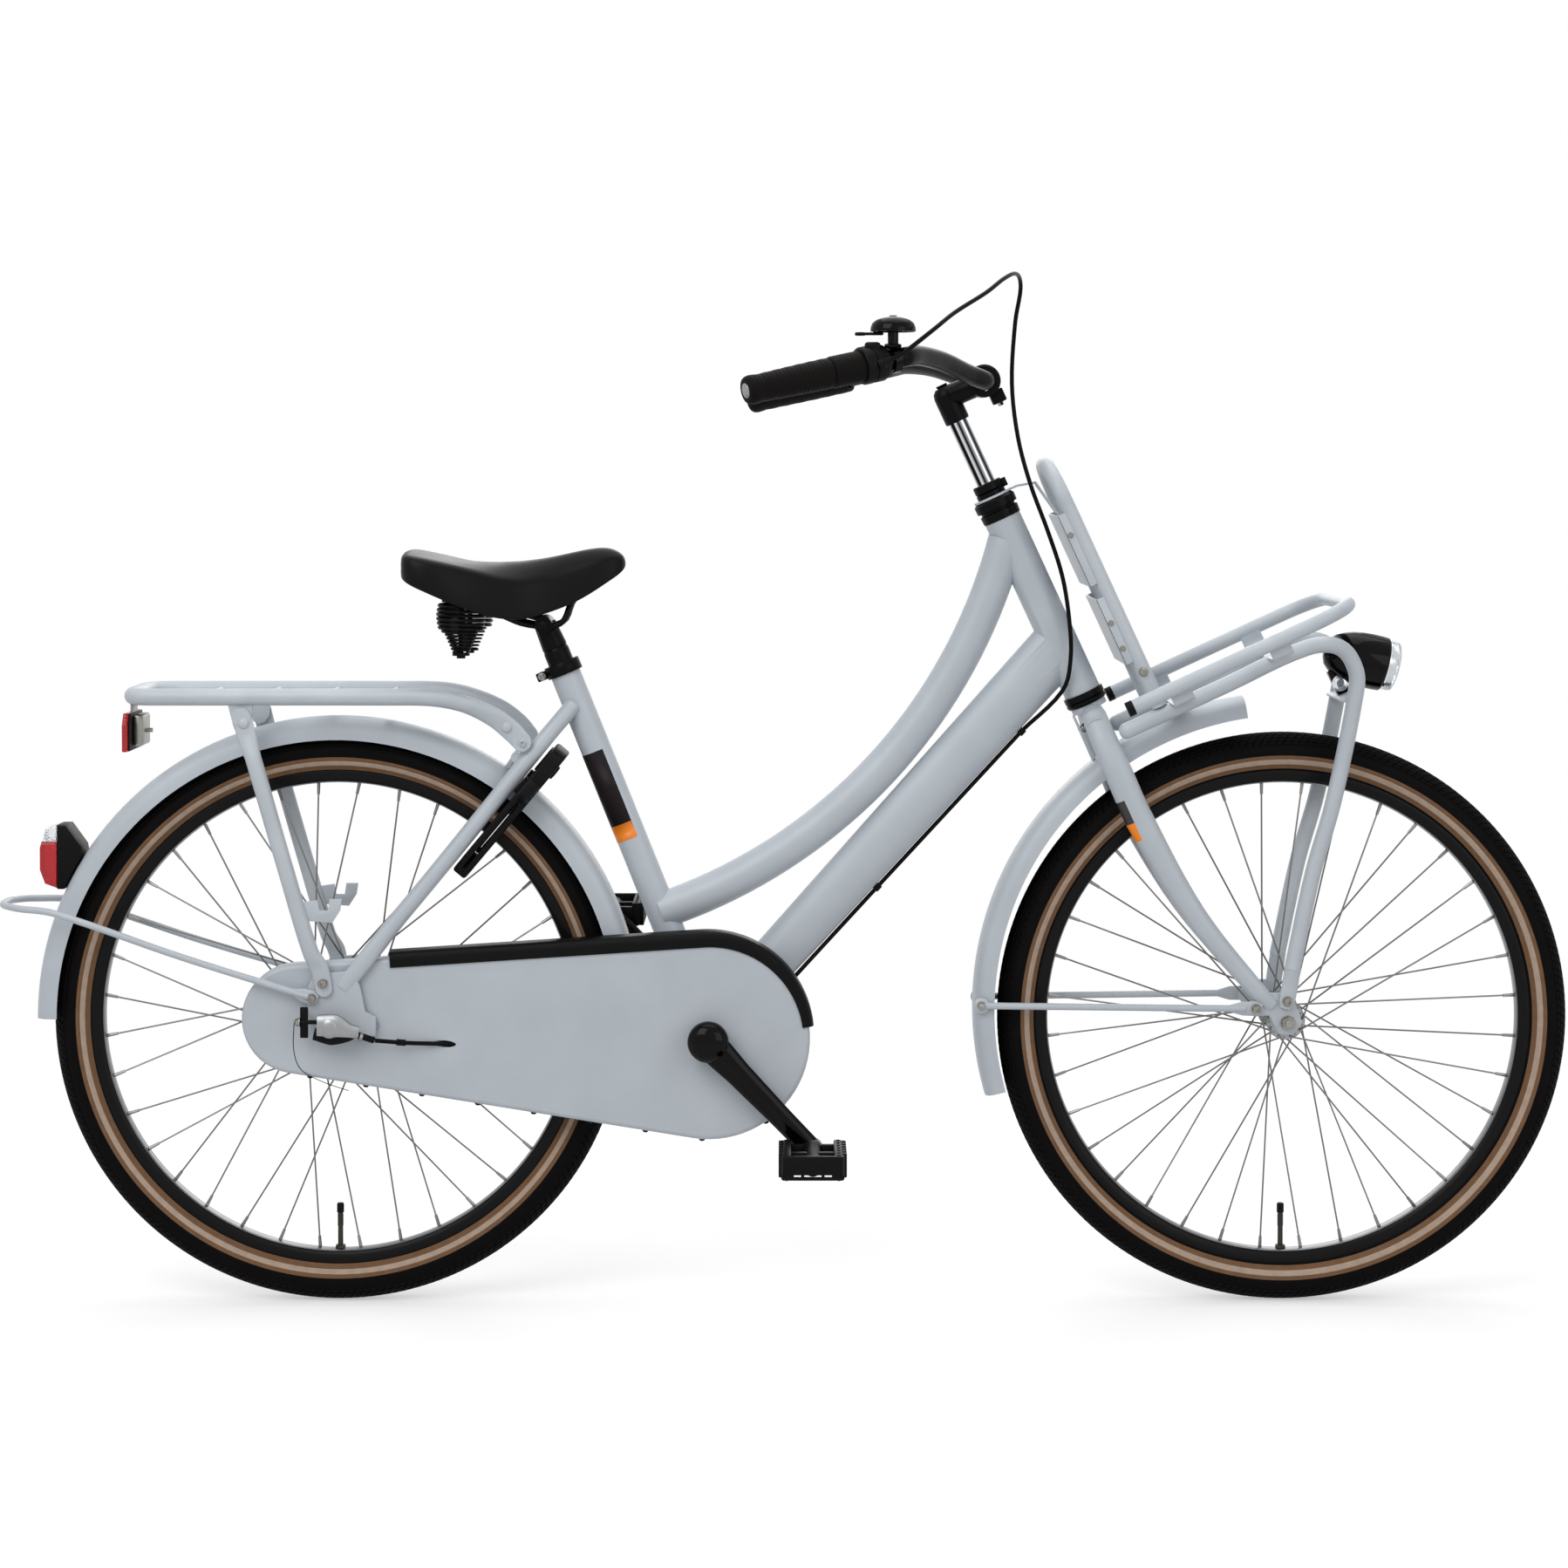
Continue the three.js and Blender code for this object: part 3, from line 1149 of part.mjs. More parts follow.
const bowLever = ringPart(lockBowRadius, lockBowRadius * 1.92, 140, 146, lockLeverHalf, 1);
const bowKnob = ringPart(lockBowRadius * 1.86, lockBowRadius * 2.1, 136, 149, lockThickness * 0.4, 2);
node(bicycle, 'lock_bow', onLockPlane(join(bowArc, bowLever, bowKnob)), matt);

// Fork: steerer, crown and two tapering blades with dropouts
const steerer = bar(V(0, 0, -bladeTop * 0.4), V(0, 0, steererTop), steererDiameter, 14);
const crownRace = zTurned([[0, -bladeTop * 0.3], [cupR * 0.88, -bladeTop * 0.3], [cupR * 0.88, cupLow - runGap],
  [0, cupLow - runGap]], 12);
const bladeY = bladeInnerWidth / 2 + bladeHalfThickness;
const crown = tube([V(-3, -bladeY * 0.72, -26), V(-1, -bladeY * 0.45, -15), V(0, 0, -12), V(-1, bladeY * 0.45, -15),
  V(-3, bladeY * 0.72, -26)], 27, 6, 8);
const bladePoints = [V(-1, bladeY * 0.55, -12), V(-3, bladeY * 0.85, -38), V(-4, bladeY, -78), V(-4.8, bladeY, -140),
  V(7.2, bladeY - 1, -265), V(36.8, bladeY - 4, -378), V(45, bladeY - 6, -398)];
const bladeSizes = [[11, 14], [bladeHalfThickness, 15], [bladeHalfThickness, 16], [bladeHalfThickness, 16.5],
  [10, 13], [7, 10], [5, 9]];
const blade = limb(bladePoints, bladeSizes, 8);
const forkEnd = sidePlate([[24, -386], [18, -392], [20, -400], [36, -406], [38, -430], [52, -438], [67, -430], [70, -402],
  [64, -391], [50, -384]], frontDropoutInner, frontDropoutInner + frontDropoutThickness);
const forkAxle = through(forkRake, -axleToCrown, bladeY * 2, axleDiameter + 2 * seatGap);
const steererBore = bar(V(0, 0, quillTop - quillDepth * 2), V(0, 0, steererTop + overrun), quillDiameter + 2 * seatGap, 14);
const forkSolid = cut(join(steerer, crownRace, crown, ...bothSides(blade), ...bothSides(forkEnd)), forkAxle, steererBore);
node(steering, 'fork', forkSolid, paint);

const lockR = steererR * 1.2;
const locknutRing = zTurned([[steererR + seatGap, strutTop + seatGap], [lockR, strutTop + seatGap], [lockR, steererTop],
  [steererR + seatGap, steererTop], [steererR + seatGap, strutTop + seatGap]], 16);
const locknutLug = box(steererR + 2, lockR + 5, -5, 5, strutTop + 4, steererTop - 2);
node(steering, 'headset_locknut', join(locknutRing, locknutLug), black);

// Stem: quill, elbow and bar clamp
const quill = bar(V(0, 0, quillTop - quillDepth * 1.6), V(0, 0, stemHeight), quillDiameter, 14);
const stemNeck = zTurned([[0, quillTop], [stemHeadDiameter / 2, quillTop], [stemHeadDiameter / 2, stemHeight + 6],
  [stemHeadDiameter * 0.3, stemHeight + 13], [0, stemHeight + 14]], 14);
const stemArm = bar(V(0, 0, stemHeight), V(stemReach, 0, stemHeight), stemHeadDiameter, 12);
const stemClamp = boltHead(stemReach, stemHeight, -barClampWidth / 2, barClampWidth / 2, barClampDiameter);
const clampY = [-barClampWidth * 0.2, barClampWidth * 0.2];
const stemLug = box(stemReach - 1, stemReach + barClampDiameter * 0.42, ...clampY, stemHeight - barClampDiameter * 0.8,
  stemHeight - 8);
const barHole = bar(V(stemReach, -barClampWidth, stemHeight), V(stemReach, barClampWidth, stemHeight),
  barDiameter + 4 * seatGap, 16);
node(steering, 'stem', cut(join(quill, stemNeck, stemArm, stemClamp, stemLug), barHole), black);

// Handlebar and its fittings, in a level frame at the bar clamp
const cockpit = new THREE.Group();
cockpit.position.set(stemReach, 0, stemHeight);
cockpit.rotation.y = rad(headLean);
steering.add(cockpit);

const barTip = V(-barBack, -barHalfWidth, -barDrop);
const gripWay = V(-Math.sin(rad(gripSweep)) * Math.cos(rad(gripSlope)), -Math.cos(rad(gripSweep)) * Math.cos(rad(gripSlope)),
  -Math.sin(rad(gripSlope)));
const fromTip = (distance) => barTip.clone().addScaledVector(gripWay, -distance);
const controlsLength = gripLength + sleeveLength + shifterLength + 3 * runGap;
const barHalf = [V(0, 0, 0), V(0, -barClampWidth * 0.6, 0), V(-2, -barClampWidth * 0.9, 0.4), V(-22, -70, 7),
  V(-53, -125, barCrestHeight * 0.8), V(-82, -183, barCrestHeight), fromTip(controlsLength + 27),
  fromTip(controlsLength + 19), fromTip(controlsLength), fromTip(controlsLength * 0.5), barTip];
const barOther = barHalf.slice(1).map(({ x, y, z }) => V(x, -y, z)).reverse();
node(cockpit, 'handlebar', tube([...barOther, ...barHalf], barDiameter, 34, 7), black);

const gripBore = barDiameter * 0.53 + runGap;
const gripWall = gripDiameter / 2 - gripBore;
function grip(length) {
  const r = gripDiameter / 2;
  const profile = [[0, -gripWall], [r, -gripWall * 0.6], [r * 1.05, gripWall], [r * 0.9, length * 0.12],
    [r * 0.96, length * 0.75], [r * 1.02, length], [gripBore, length], [gripBore, -seatGap], [0, -seatGap]];
  return zTurned(profile.map(([p, q]) => [p, -q]), 12);
}
const otherWay = gripWay.clone().multiply(V(1, -1, 1));
const otherTip = barTip.clone().multiply(V(1, -1, 1));
node(cockpit, 'right_grip', laid(grip(gripLength), barTip, gripWay), rubber);
node(cockpit, 'left_grip', laid(grip(leftGripLength), otherTip, otherWay), rubber);

// A ring round the bar, between two distances from its tip
function barRing(diameter, from, to) {
  const r = diameter / 2;
  const profile = [[gripBore, from], [r * 0.96, from], [r, (from + to) / 2], [r * 0.96, to], [gripBore, to], [gripBore, from]];
  return laid(zTurned(profile.map(([p, q]) => [p, -q]), 10), barTip, gripWay);
}
const sleeveFrom = gripLength + runGap;
const shifterFrom = sleeveFrom + sleeveLength + runGap;
const shifterTo = shifterFrom + shifterLength;
node(cockpit, 'shifter_sleeve', barRing(sleeveDiameter, sleeveFrom, sleeveFrom + sleeveLength), rubber);
const shifterMiddle = fromTip(shifterFrom + shifterLength / 2);
const shifterWindow = shifted(box(-8, 8, -11, 11, 0, shifterDiameter * 0.56), ...shifterMiddle.toArray());
const bossStart = shifterMiddle.clone().add(V(7, -shifterDiameter * 0.35, -2));
const bossWay = V(0.88, 0.1, 0.45).normalize();
const cableBoss = laid(zTurned([[0, 0], [6, 0], [4.5, bossLength], [0, bossLength]], 6), bossStart, bossWay);
const housing = join(barRing(shifterDiameter, shifterFrom, shifterTo), cableBoss, shifterWindow);
const housingBore = bar(fromTip(shifterFrom - overrun), fromTip(shifterTo + overrun), 2 * gripBore + seatGap, 10);
node(cockpit, 'shifter_housing', cut(housing, housingBore), black);

// Bell: clamp, stand and dome, with its striker lever beside
const bellAt = fromTip(shifterTo + bellClampWidth);
const bellClamp = laid(zTurned([[gripBore, 0], [gripBore + 3, 0], [gripBore + 3, bellClampWidth * 0.7],
  [gripBore, bellClampWidth * 0.7], [gripBore, 0]], 12), fromTip(shifterTo + bellClampWidth * 0.35), gripWay.clone().negate());
const bellPost = bar(bellAt.clone().add(V(0, 0, gripBore + 1.5)), bellAt.clone().add(V(0, 0, bellStand + 2)), 12, 8);
const bellR = bellDiameter / 2;
const bellDome = shifted(zTurned([[0, 0], [bellR, 0], [bellR, bellHeight * 0.25], [bellR * 0.85, bellHeight * 0.66],
  [bellR * 0.45, bellHeight * 0.95], [0, bellHeight]], 14), bellAt.x, bellAt.y, bellAt.z + bellStand);
node(cockpit, 'bell_dome', join(bellClamp, bellPost, bellDome), black);
const leverZ = bellAt.z + bellStand - runGap - 3.4;
const leverPlate = box(-bellR * 1.5, -bellR * 0.42, -4, 4, 0, 3.4);
node(cockpit, 'bell_lever', shifted(leverPlate, bellAt.x, bellAt.y, leverZ), black);

// Front carrier: a deck rail, tubes below it that turn down to the fork ends, and flat strips
const frontSideRail = V(deckFront - deckCorner, deckHalfWidth, deckHeight);
const deckCorners = Array.from({ length: 4 }, (_, i) => {
  const t = rad(90 - i * 30);
  return V(frontSideRail.x + deckCorner * Math.cos(t), deckHalfWidth - deckCorner + deckCorner * Math.sin(t), deckHeight);
});
const deckHalf = [V(deckRear, deckHalfWidth, deckHeight), V((deckRear + frontSideRail.x) / 2, deckHalfWidth, deckHeight),
  ...deckCorners];
const deckOther = deckHalf.map(({ x, y, z }) => V(x, -y, z)).reverse();
const deck = tube([...deckHalf, ...deckOther], deckTubeDiameter, 20, 6);
const under = tube([V(37, underTubeHalfWidth, underTubeHeight), V(150, underTubeHalfWidth, underTubeHeight),
  V(250, underTubeHalfWidth, underTubeHeight), V(284, underTubeHalfWidth, -56), V(290, underTubeHalfWidth, -88),
  V(276, underTubeHalfWidth, -116), V(204, underTubeHalfWidth, -214), V(150, underTubeHalfWidth, -277),
  V(82, underTubeHalfWidth, -368)], underTubeDiameter, 14, 6);
const footY = outsideFork + 2.5;
const foot = limb([V(84, underTubeHalfWidth, -366), V(72, footY + 0.5, -384), V(61, footY, -400), V(56, footY, -406)],
  [[9, 9], [4, 9.5], [2.5, 9], [2.5, 6]], 8);
const footBolt = boltHead(62, -399, outsideFork + 2, outsideFork + 9, boltDiameter);
const strips = [94, 216].map((u) => {
  const z = underTubeHeight + underTubeDiameter / 2 - 0.6;
  const flatPart = box(u - stripWidth / 2, u + stripWidth / 2, -deckHalfWidth + 3, deckHalfWidth - 3, z, z + stripThickness);
  const up = box(u - stripWidth / 2, u + stripWidth / 2, deckHalfWidth - 3 - stripThickness, deckHalfWidth - 3, z,
    deckHeight - 2);
  return join(flatPart, ...bothSides(up));
});
const lampBar = box(262, 284, -underTubeHalfWidth, underTubeHalfWidth, -116, -112.5);
node(steering, 'front_carrier', join(deck, ...strips, lampBar, ...bothSides(under), ...bothSides(foot),
  ...bothSides(footBolt)), carrierPaint);

// Backrest hoop of the front carrier with its cross bars and the strut to the headset
const hoopFoot = underTubeHeight + underTubeDiameter / 2 + seatGap;
const backHalf = [V(backrestBack, underTubeHalfWidth, hoopFoot), V(backrestBack, underTubeHalfWidth, backrestHeight / 2),
  V(backrestBack, underTubeHalfWidth, backrestHeight - 50), V(backrestBack, underTubeHalfWidth - 10, backrestHeight - 15),
  V(backrestBack, underTubeHalfWidth - 34, backrestHeight - 2), V(backrestBack, 0, backrestHeight)];
const backOther = backHalf.slice(0, -1).map(({ x, y, z }) => V(x, -y, z)).reverse();
const backHoop = tube([...backHalf, ...backOther], backrestDiameter, 20, 6);
const backX = backrestBack - backrestDiameter / 2;
const crossBars = [204, 127].map((w) => box(backX - stripThickness * 0.7, backX + stripThickness * 0.6,
  -underTubeHalfWidth - 12, underTubeHalfWidth + 12, w - stripWidth / 2, w + stripWidth / 2));
const strutRing = zTurned([[steererR + seatGap, cupTop + seatGap], [cupR * 0.95, cupTop + seatGap], [cupR * 0.95, strutTop],
  [steererR + seatGap, strutTop], [steererR + seatGap, cupTop + seatGap]], 16);
const strut = sidePlate([[17, cupTop + seatGap], [30, cupTop + seatGap], [backX - 11, cupTop - 5], [backX - 1.6, 208],
  [backX + 0.6, 208], [backX - 8.6, cupTop - 3], [31, strutTop], [17, strutTop]], -stripWidth * 0.4, stripWidth * 0.4);
node(steering, 'carrier_backrest', join(backHoop, ...crossBars, strutRing, strut), carrierPaint);

// Headlight: a drop-shaped housing under the deck, on the lamp bar
const lampFront = V(335, 0, -107);
const lampBack = V(269, 0, -66);
const lampWay = lampFront.clone().sub(lampBack);
const lampLength = lampWay.length();
const lampFacets = 14;
const lampR = headlightDiameter / 2;
const lampBody = laid(zTurned([[0, 0], [lampR * 0.36, 2], [lampR * 0.62, lampLength * 0.2], [lampR * 0.86, lampLength * 0.5],
  [lampR, lampLength * 0.85], [lampR, lampLength], [lampR - rimWall, lampLength], [lampR - rimWall, lampLength * 0.9],
  [0, lampLength * 0.88]], lampFacets), lampBack, lampWay);
const lampFoot = box(266, 282, -8, 8, -112.5 + seatGap, -82);
node(steering, 'headlight_body', join(lampBody, lampFoot), black);
const lampGlass = laid(zTurned([[0, lampLength * 0.9 + seatGap], [lampR - rimWall - seatGap, lampLength * 0.9 + seatGap],
  [lampR - rimWall - seatGap, lampLength], [lampR * 0.6, lampLength * 1.08], [0, lampLength * 1.1]], lampFacets), lampBack, lampWay);
node(steering, 'headlight_lens', lampGlass, clearLens);

// Axles with their nuts
node(steering, 'front_axle', shifted(axle(frontDropoutInner, frontDropoutThickness, seatGap), forkRake, 0, -axleToCrown),
  steel);
node(bicycle, 'rear_axle', shifted(axle(dropoutInner, dropoutThickness, seatGap), rearAxleX, 0, wheelRadius), steel);

// Chain case: a shell round the whole drive, open where the bracket, hub, stay and axle pass
const caseFront = [bracketX, bracketHeight];
const caseRear = [rearAxleX - caseRearOffset, wheelRadius + caseRearRise];
function caseOutline(offset) {
  return beltOutline(caseFront, caseFrontRadius + offset, caseRear, caseRearRadius + offset, 20, 12);
}
const caseBody = sidePlate(caseOutline(0), -caseOuterY, -caseInnerY);
const caseRoom = sidePlate(caseOutline(-caseWall), -caseOuterY + caseWall, -caseInnerY - caseWall);
const stayRoom = mirrored(limb(chainStayPoints, chainStaySizes(2 * runGap), 8));
const bracketRoom = boltHead(bracketX, bracketHeight, -caseInnerY - overrun, -caseInnerY + overrun, bracketDiameter + 4);
const hubRoom = boltHead(rearAxleX, wheelRadius, -caseInnerY - overrun, -caseInnerY + overrun, rearHubCap + 6);
const axleRoom = boltHead(rearAxleX, wheelRadius, -caseOuterY - overrun, -caseOuterY + overrun, axleNutWidth + 6);
const crankRoom = boltHead(bracketX, bracketHeight, -caseOuterY - overrun, -caseOuterY + overrun, crankAxleDiameter + 6);

// The dark strip along the case's top edge, over its side and its rim
function caseTrim() {
  const section = [[-caseInnerY, seatGap], [-caseOuterY - seatGap, seatGap], [-caseOuterY - seatGap, -trimWidth],
    [-caseOuterY - seatGap - trimWall, -trimWidth], [-caseOuterY - seatGap - trimWall, trimRise], [-caseInnerY, trimRise]];
  const outline = caseOutline(0);
  const path = outline.filter(([x, z]) => z > trimLowest && x > bracketX - trimBack).sort(([a], [b]) => a - b);
  const start = [bracketX - trimBack, lineHeight(outline, bracketX - trimBack)];
  const points = [start, ...path];
  const frames = points.map(([x, z], i) => {
    const before = points[Math.max(i - 1, 0)];
    const after = points[Math.min(i + 1, points.length - 1)];
    const along = V(after[0] - before[0], 0, after[1] - before[1]).normalize();
    return { o: V(x, 0, z), a: V(0, 1, 0), b: V(-along.z, 0, along.x) };
  });
  return sweep(section, frames);
}

// The height of the case's top line at a given x
function lineHeight(outline, x) {
  const top = outline.filter(([, z]) => z > wheelRadius).sort(([a], [b]) => a - b);
  const next = top.findIndex(([px]) => px > x);
  const [x0, z0] = top[next - 1];
  const [x1, z1] = top[next];
  return z0 + ((z1 - z0) * (x - x0)) / (x1 - x0);
}
node(bicycle, 'chain_case_trim', caseTrim(), black);

// Saddle: shares of its length, half width and depth, from the nose to the tail, with a hollow underside
const saddleShares = [
  [0, 0.09, 0.06, 0.125, 0.225], [0.03, 0.17, 0, 0.09, 0.3], [0.09, 0.225, -0.03, 0.14, 0.46], [0.2, 0.26, 0.02, 0.26, 0.71],
  [0.33, 0.31, 0.11, 0.41, 0.875], [0.47, 0.43, 0.17, 0.51, 1], [0.63, 0.76, 0.2, 0.31, 0.9], [0.77, 0.95, 0.175, 0.175, 0.71],
  [0.9, 1, 0.075, 0.1, 0.54], [0.97, 0.92, 0, 0.06, 0.44], [1, 0.76, 0.04, 0.11, 0.31],
];
const saddleRingShares = [[-1, 0], [-1, 0.35], [-0.5, 0.97], [0, 1], [0.5, 0.97], [1, 0.35], [1, 0],
  [0.93, 0.05], [0.86, 0.44], [0.4, 0.64], [-0.4, 0.64], [-0.86, 0.44], [-0.93, 0.05]];
const saddleEdgeShare = 0.92;
const saddleTop = postTop.z + saddleRise;
const noseX = postTop.x + noseAhead;
function saddle() {
  const rings = saddleShares.map(([along, wide, top, edge, low]) => {
    const half = (wide * saddleWidth) / 2;
    const ring = saddleRingShares.map(([p, q]) => [p * half, low + q * (top - low)]);
    ring.splice(2, 0, [-saddleEdgeShare * half, edge]);
    ring.splice(6, 0, [saddleEdgeShare * half, edge]);
    return ring.map(([y, down]) => V(noseX - along * saddleLength, y, saddleTop - down * saddleDepth));
  });
  return skin(rings, rings[0].map(({ y, z }) => [y, z]));
}
node(bicycle, 'saddle', saddle(), black);

// Saddle springs: one wire each, wide curls above and a cone below, with straight ends
class Coil extends THREE.Curve {
  getUtoTmapping(u) {
    return u;
  }

  getPoint(t) {
    const curls = springTurns * 8;
    const i = t * (curls + 2) - 1;
    const turn = Math.min(Math.max(i, 0), curls) / 8;
    const wideTurns = springTurns * 0.3;
    const cone = Math.max(turn - wideTurns, 0) / (springTurns - wideTurns);
    const r = springTopRadius + (springTipRadius - springTopRadius) * cone;
    const drop = (Math.min(turn, wideTurns) / wideTurns) * springWideDrop + cone * springConeDrop;
    const a = turn * 2 * Math.PI;
    const point = V(r * Math.cos(a), r * Math.sin(a), -drop);
    if (i < 0) point.add(V(0, i * springWire, 0));
    if (i > curls) point.add(V(0, (i - curls) * springWire, 0));
    return point;
  }
}

function spring() {
  const path = new Coil();
  const steps = springTurns * 8 + 2;
  const wire = new THREE.Shape(round(springWire / 2, 5).map(([x, y]) => new THREE.Vector2(x, y)));
  return outward(new THREE.ExtrudeGeometry(wire, { steps, extrudePath: path }));
}

// The least clear distance between one curl and the next
function springClearance() {
  const path = new Coil();
  const points = Array.from({ length: springTurns * 32 + 1 }, (_, i) => path.getPoint(i / (springTurns * 32)));
  let least = Infinity;
  points.forEach((p, i) => points.slice(i + 20).forEach((q) => {
    least = Math.min(least, p.distanceTo(q) - springWire);
  }));
  return least;
}
const leastCurlGap = 0.4;
console.log(`saddle spring: least gap between curls ${springClearance().toFixed(2)} mm`);
if (springClearance() < leastCurlGap) console.log('saddle spring: the curls stand too close');

const springX = postTop.x - springBehind;
const springTopZ = postTop.z + springRise;
for (const [name, side] of [['right', -1], ['left', 1]]) {
  node(bicycle, `${name}_saddle_spring`, shifted(spring(), springX, side * springHalfWidth, springTopZ), black);
}

// Saddle undercarriage: a bar across the springs' tops, two rails and the clamp on the post
const plateZ = springTopZ + springWire / 2 + seatGap;
const springBar = box(springX - 20, springX + 12, -springHalfWidth - 20, springHalfWidth + 20, plateZ, plateZ + 2.5);
const coilBottom = springTopZ - springWideDrop - springConeDrop - springWire / 2 - seatGap;
const railHalf = [V(noseX - 22, 9, saddleTop - 28), V(noseX - 60, 14, saddleTop - 59),
  V(postTop.x + 16, 20, postTop.z + 7), V(postTop.x - 22, 22, postTop.z + 6),
  V(springX + 30, springHalfWidth - 16, coilBottom - railDiameter / 2), V(springX, springHalfWidth, coilBottom - railDiameter / 2)];
const rail = tube(railHalf, railDiameter, 9, 5);
const pad = bar(V(springX, springHalfWidth, coilBottom - railDiameter * 0.6),
  V(springX, springHalfWidth, coilBottom), springTipRadius * 2 + 4, 8);
const noseTie = box(noseX - 25, noseX - 17, -14, 14, saddleTop - 32, saddleTop - 24);
const nosePost = box(noseX - 25, noseX - 17, -6, 6, saddleTop - 25, saddleTop - 13);
const seatPosts = bothSides(bar(V(springX, 30, plateZ), V(springX, 30, saddleTop - 34), 12, 8));
const clampBody = through(postTop.x - 3, postTop.z + 6, 27, 20);
const clampFoot = bar(onSeatTube(seatTubeLength + postRise + 6), V(postTop.x - 3, 0, postTop.z + 6), seatPostDiameter, 12);
const springStrut = bar(V(springX + 4, 0, plateZ + 1), V(postTop.x - 6, 0, postTop.z + 12), 9, 6);
const neckHole = bar(onSeatTube(seatTubeLength), onSeatTube(seatTubeLength + postRise + postNeckLength + seatGap),
  seatPostDiameter * 0.73 + 3 * seatGap, 14);
const undercarriage = join(springBar, ...bothSides(rail), ...bothSides(pad), noseTie, nosePost, ...seatPosts,
  clampBody, clampFoot, springStrut);
node(bicycle, 'saddle_frame', cut(undercarriage, neckHole), black);

// Gear cable: under the down tube, past the bracket, through the chain case to the changer
const downTubeTop = steerPoint(0, 0, downTubeHead);
const tubeWay = downTubeTop.clone().sub(bracket).normalize();
function underDownTube(share, y) {
  const half = (downTubeHeightLow + (downTubeHeightHigh - downTubeHeightLow) * share) / 2;
  const off = half + cableDiameter / 2 + seatGap;
  return bracket.clone().lerp(downTubeTop, share).add(V(tubeWay.z * off, y, -tubeWay.x * off));
}
const cablePoints = [
  underDownTube(0.82, 0), underDownTube(0.6, -1), underDownTube(0.38, -2), underDownTube(0.2, -6), underDownTube(0.12, -12),
  V(bracketX + 34, -30, bracketHeight - 13), V(bracketX + 2, -29, bracketHeight - 31), V(bracketX - 54, -29, bracketHeight - 24),
  V(bracketX - 115, -31, bracketHeight - 16), fromRear(214, -42, -28), fromRear(144, -56, -24), fromRear(114, -65, -22),
  fromRear(84, -72, -20), fromRear(50, -80, -16),
];
node(bicycle, 'gear_cable', tube(cablePoints, cableDiameter, 24, 5), black);

const cableRoom = tube(cablePoints, cableDiameter + 6 * runGap, 16, 5);
const caseRooms = [caseRoom, stayRoom, bracketRoom, hubRoom, axleRoom, crankRoom, cableRoom];
node(bicycle, 'chain_case', cut(caseBody, ...caseRooms), paint);

// The cable's free loop between the handlebar and the down tube
const loopPoints = [
  fromTipWorld(0), fromTipWorld(14), V(160, -237, 1113), V(186, -206, 1134), V(223, -165, 1158), V(246, -130, 1176),
  V(262, -90, 1184), V(268, -62, 1168), V(263, -46, 1130), V(260, -36, 1061), V(267, -33, 1000), V(281, -33, 947),
  V(302, -35, 890), V(318, -37, 840), V(326, -38, 790), V(328, -34, 745), V(320, -22, 708), underDownTube(0.84, 0),
];
function fromTipWorld(distance) {
  const at = bossStart.clone().addScaledVector(bossWay, bossLength + runGap + distance);
  return V(at.x, at.y, at.z).add(steerPoint(stemReach, 0, stemHeight));
}
node(bicycle, 'cable_loop', tube(loopPoints, cableLoopDiameter, 32, 5), black);

// Gear changer on the right axle end, and the hub's brake arm on the left
const axleTip = dropoutInner + dropoutThickness + seatGap + axleNutWidth * 0.85;
const changerY = [-axleTip - seatGap, -axleTip - changerThickness];
const changerHub = boltHead(rearAxleX, wheelRadius, ...changerY, changerDiameter);
const changerArm = sidePlate([[-20, -10], [-20, 14], [6, 16], [33, 6], [33, -12], [4, -16]].map(([x, z]) =>
  [rearAxleX + x, wheelRadius + z]), changerY[0], changerY[1] + 2);
const changerBracket = box(rearAxleX - 34, rearAxleX - 25, changerY[0], changerY[0] - 4, wheelRadius - 12, wheelRadius + 23);
const changerRod = bar(fromRear(-30, changerY[0] - 3, 6), fromRear(0, changerY[0] - 3, 6), 5, 6);
const adjuster = bar(fromRear(49, -80.5, -15.7), fromRear(24, changerY[0] - 4, -6), 8, 6);
node(bicycle, 'gear_changer', join(changerHub, changerArm, changerBracket, changerRod, adjuster), steel);

const armY = [rearHubCapReach + runGap, rearHubCapReach + runGap + brakeArmThickness];
const armDisc = collar(rearHubCap, axleDiameter + 2 * runGap, ...armY, 14, rearAxleX, wheelRadius);
const armPlate = sidePlate([[12, -16], [20, 2], [146, -26], [150, -36], [140, -40]].map(([x, z]) =>
  [rearAxleX + x, wheelRadius + z]), ...armY);
const armStrap = box(rearAxleX + 137, rearAxleX + 147, armY[0], armY[1] + 10, wheelRadius - 38, wheelRadius - 18);
node(bicycle, 'brake_arm', join(armDisc, armPlate, armStrap), steel);

export default bicycle;
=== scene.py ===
import math

import bmesh
import bpy
from mathutils import Matrix, Vector
from mathutils.geometry import interpolate_bezier


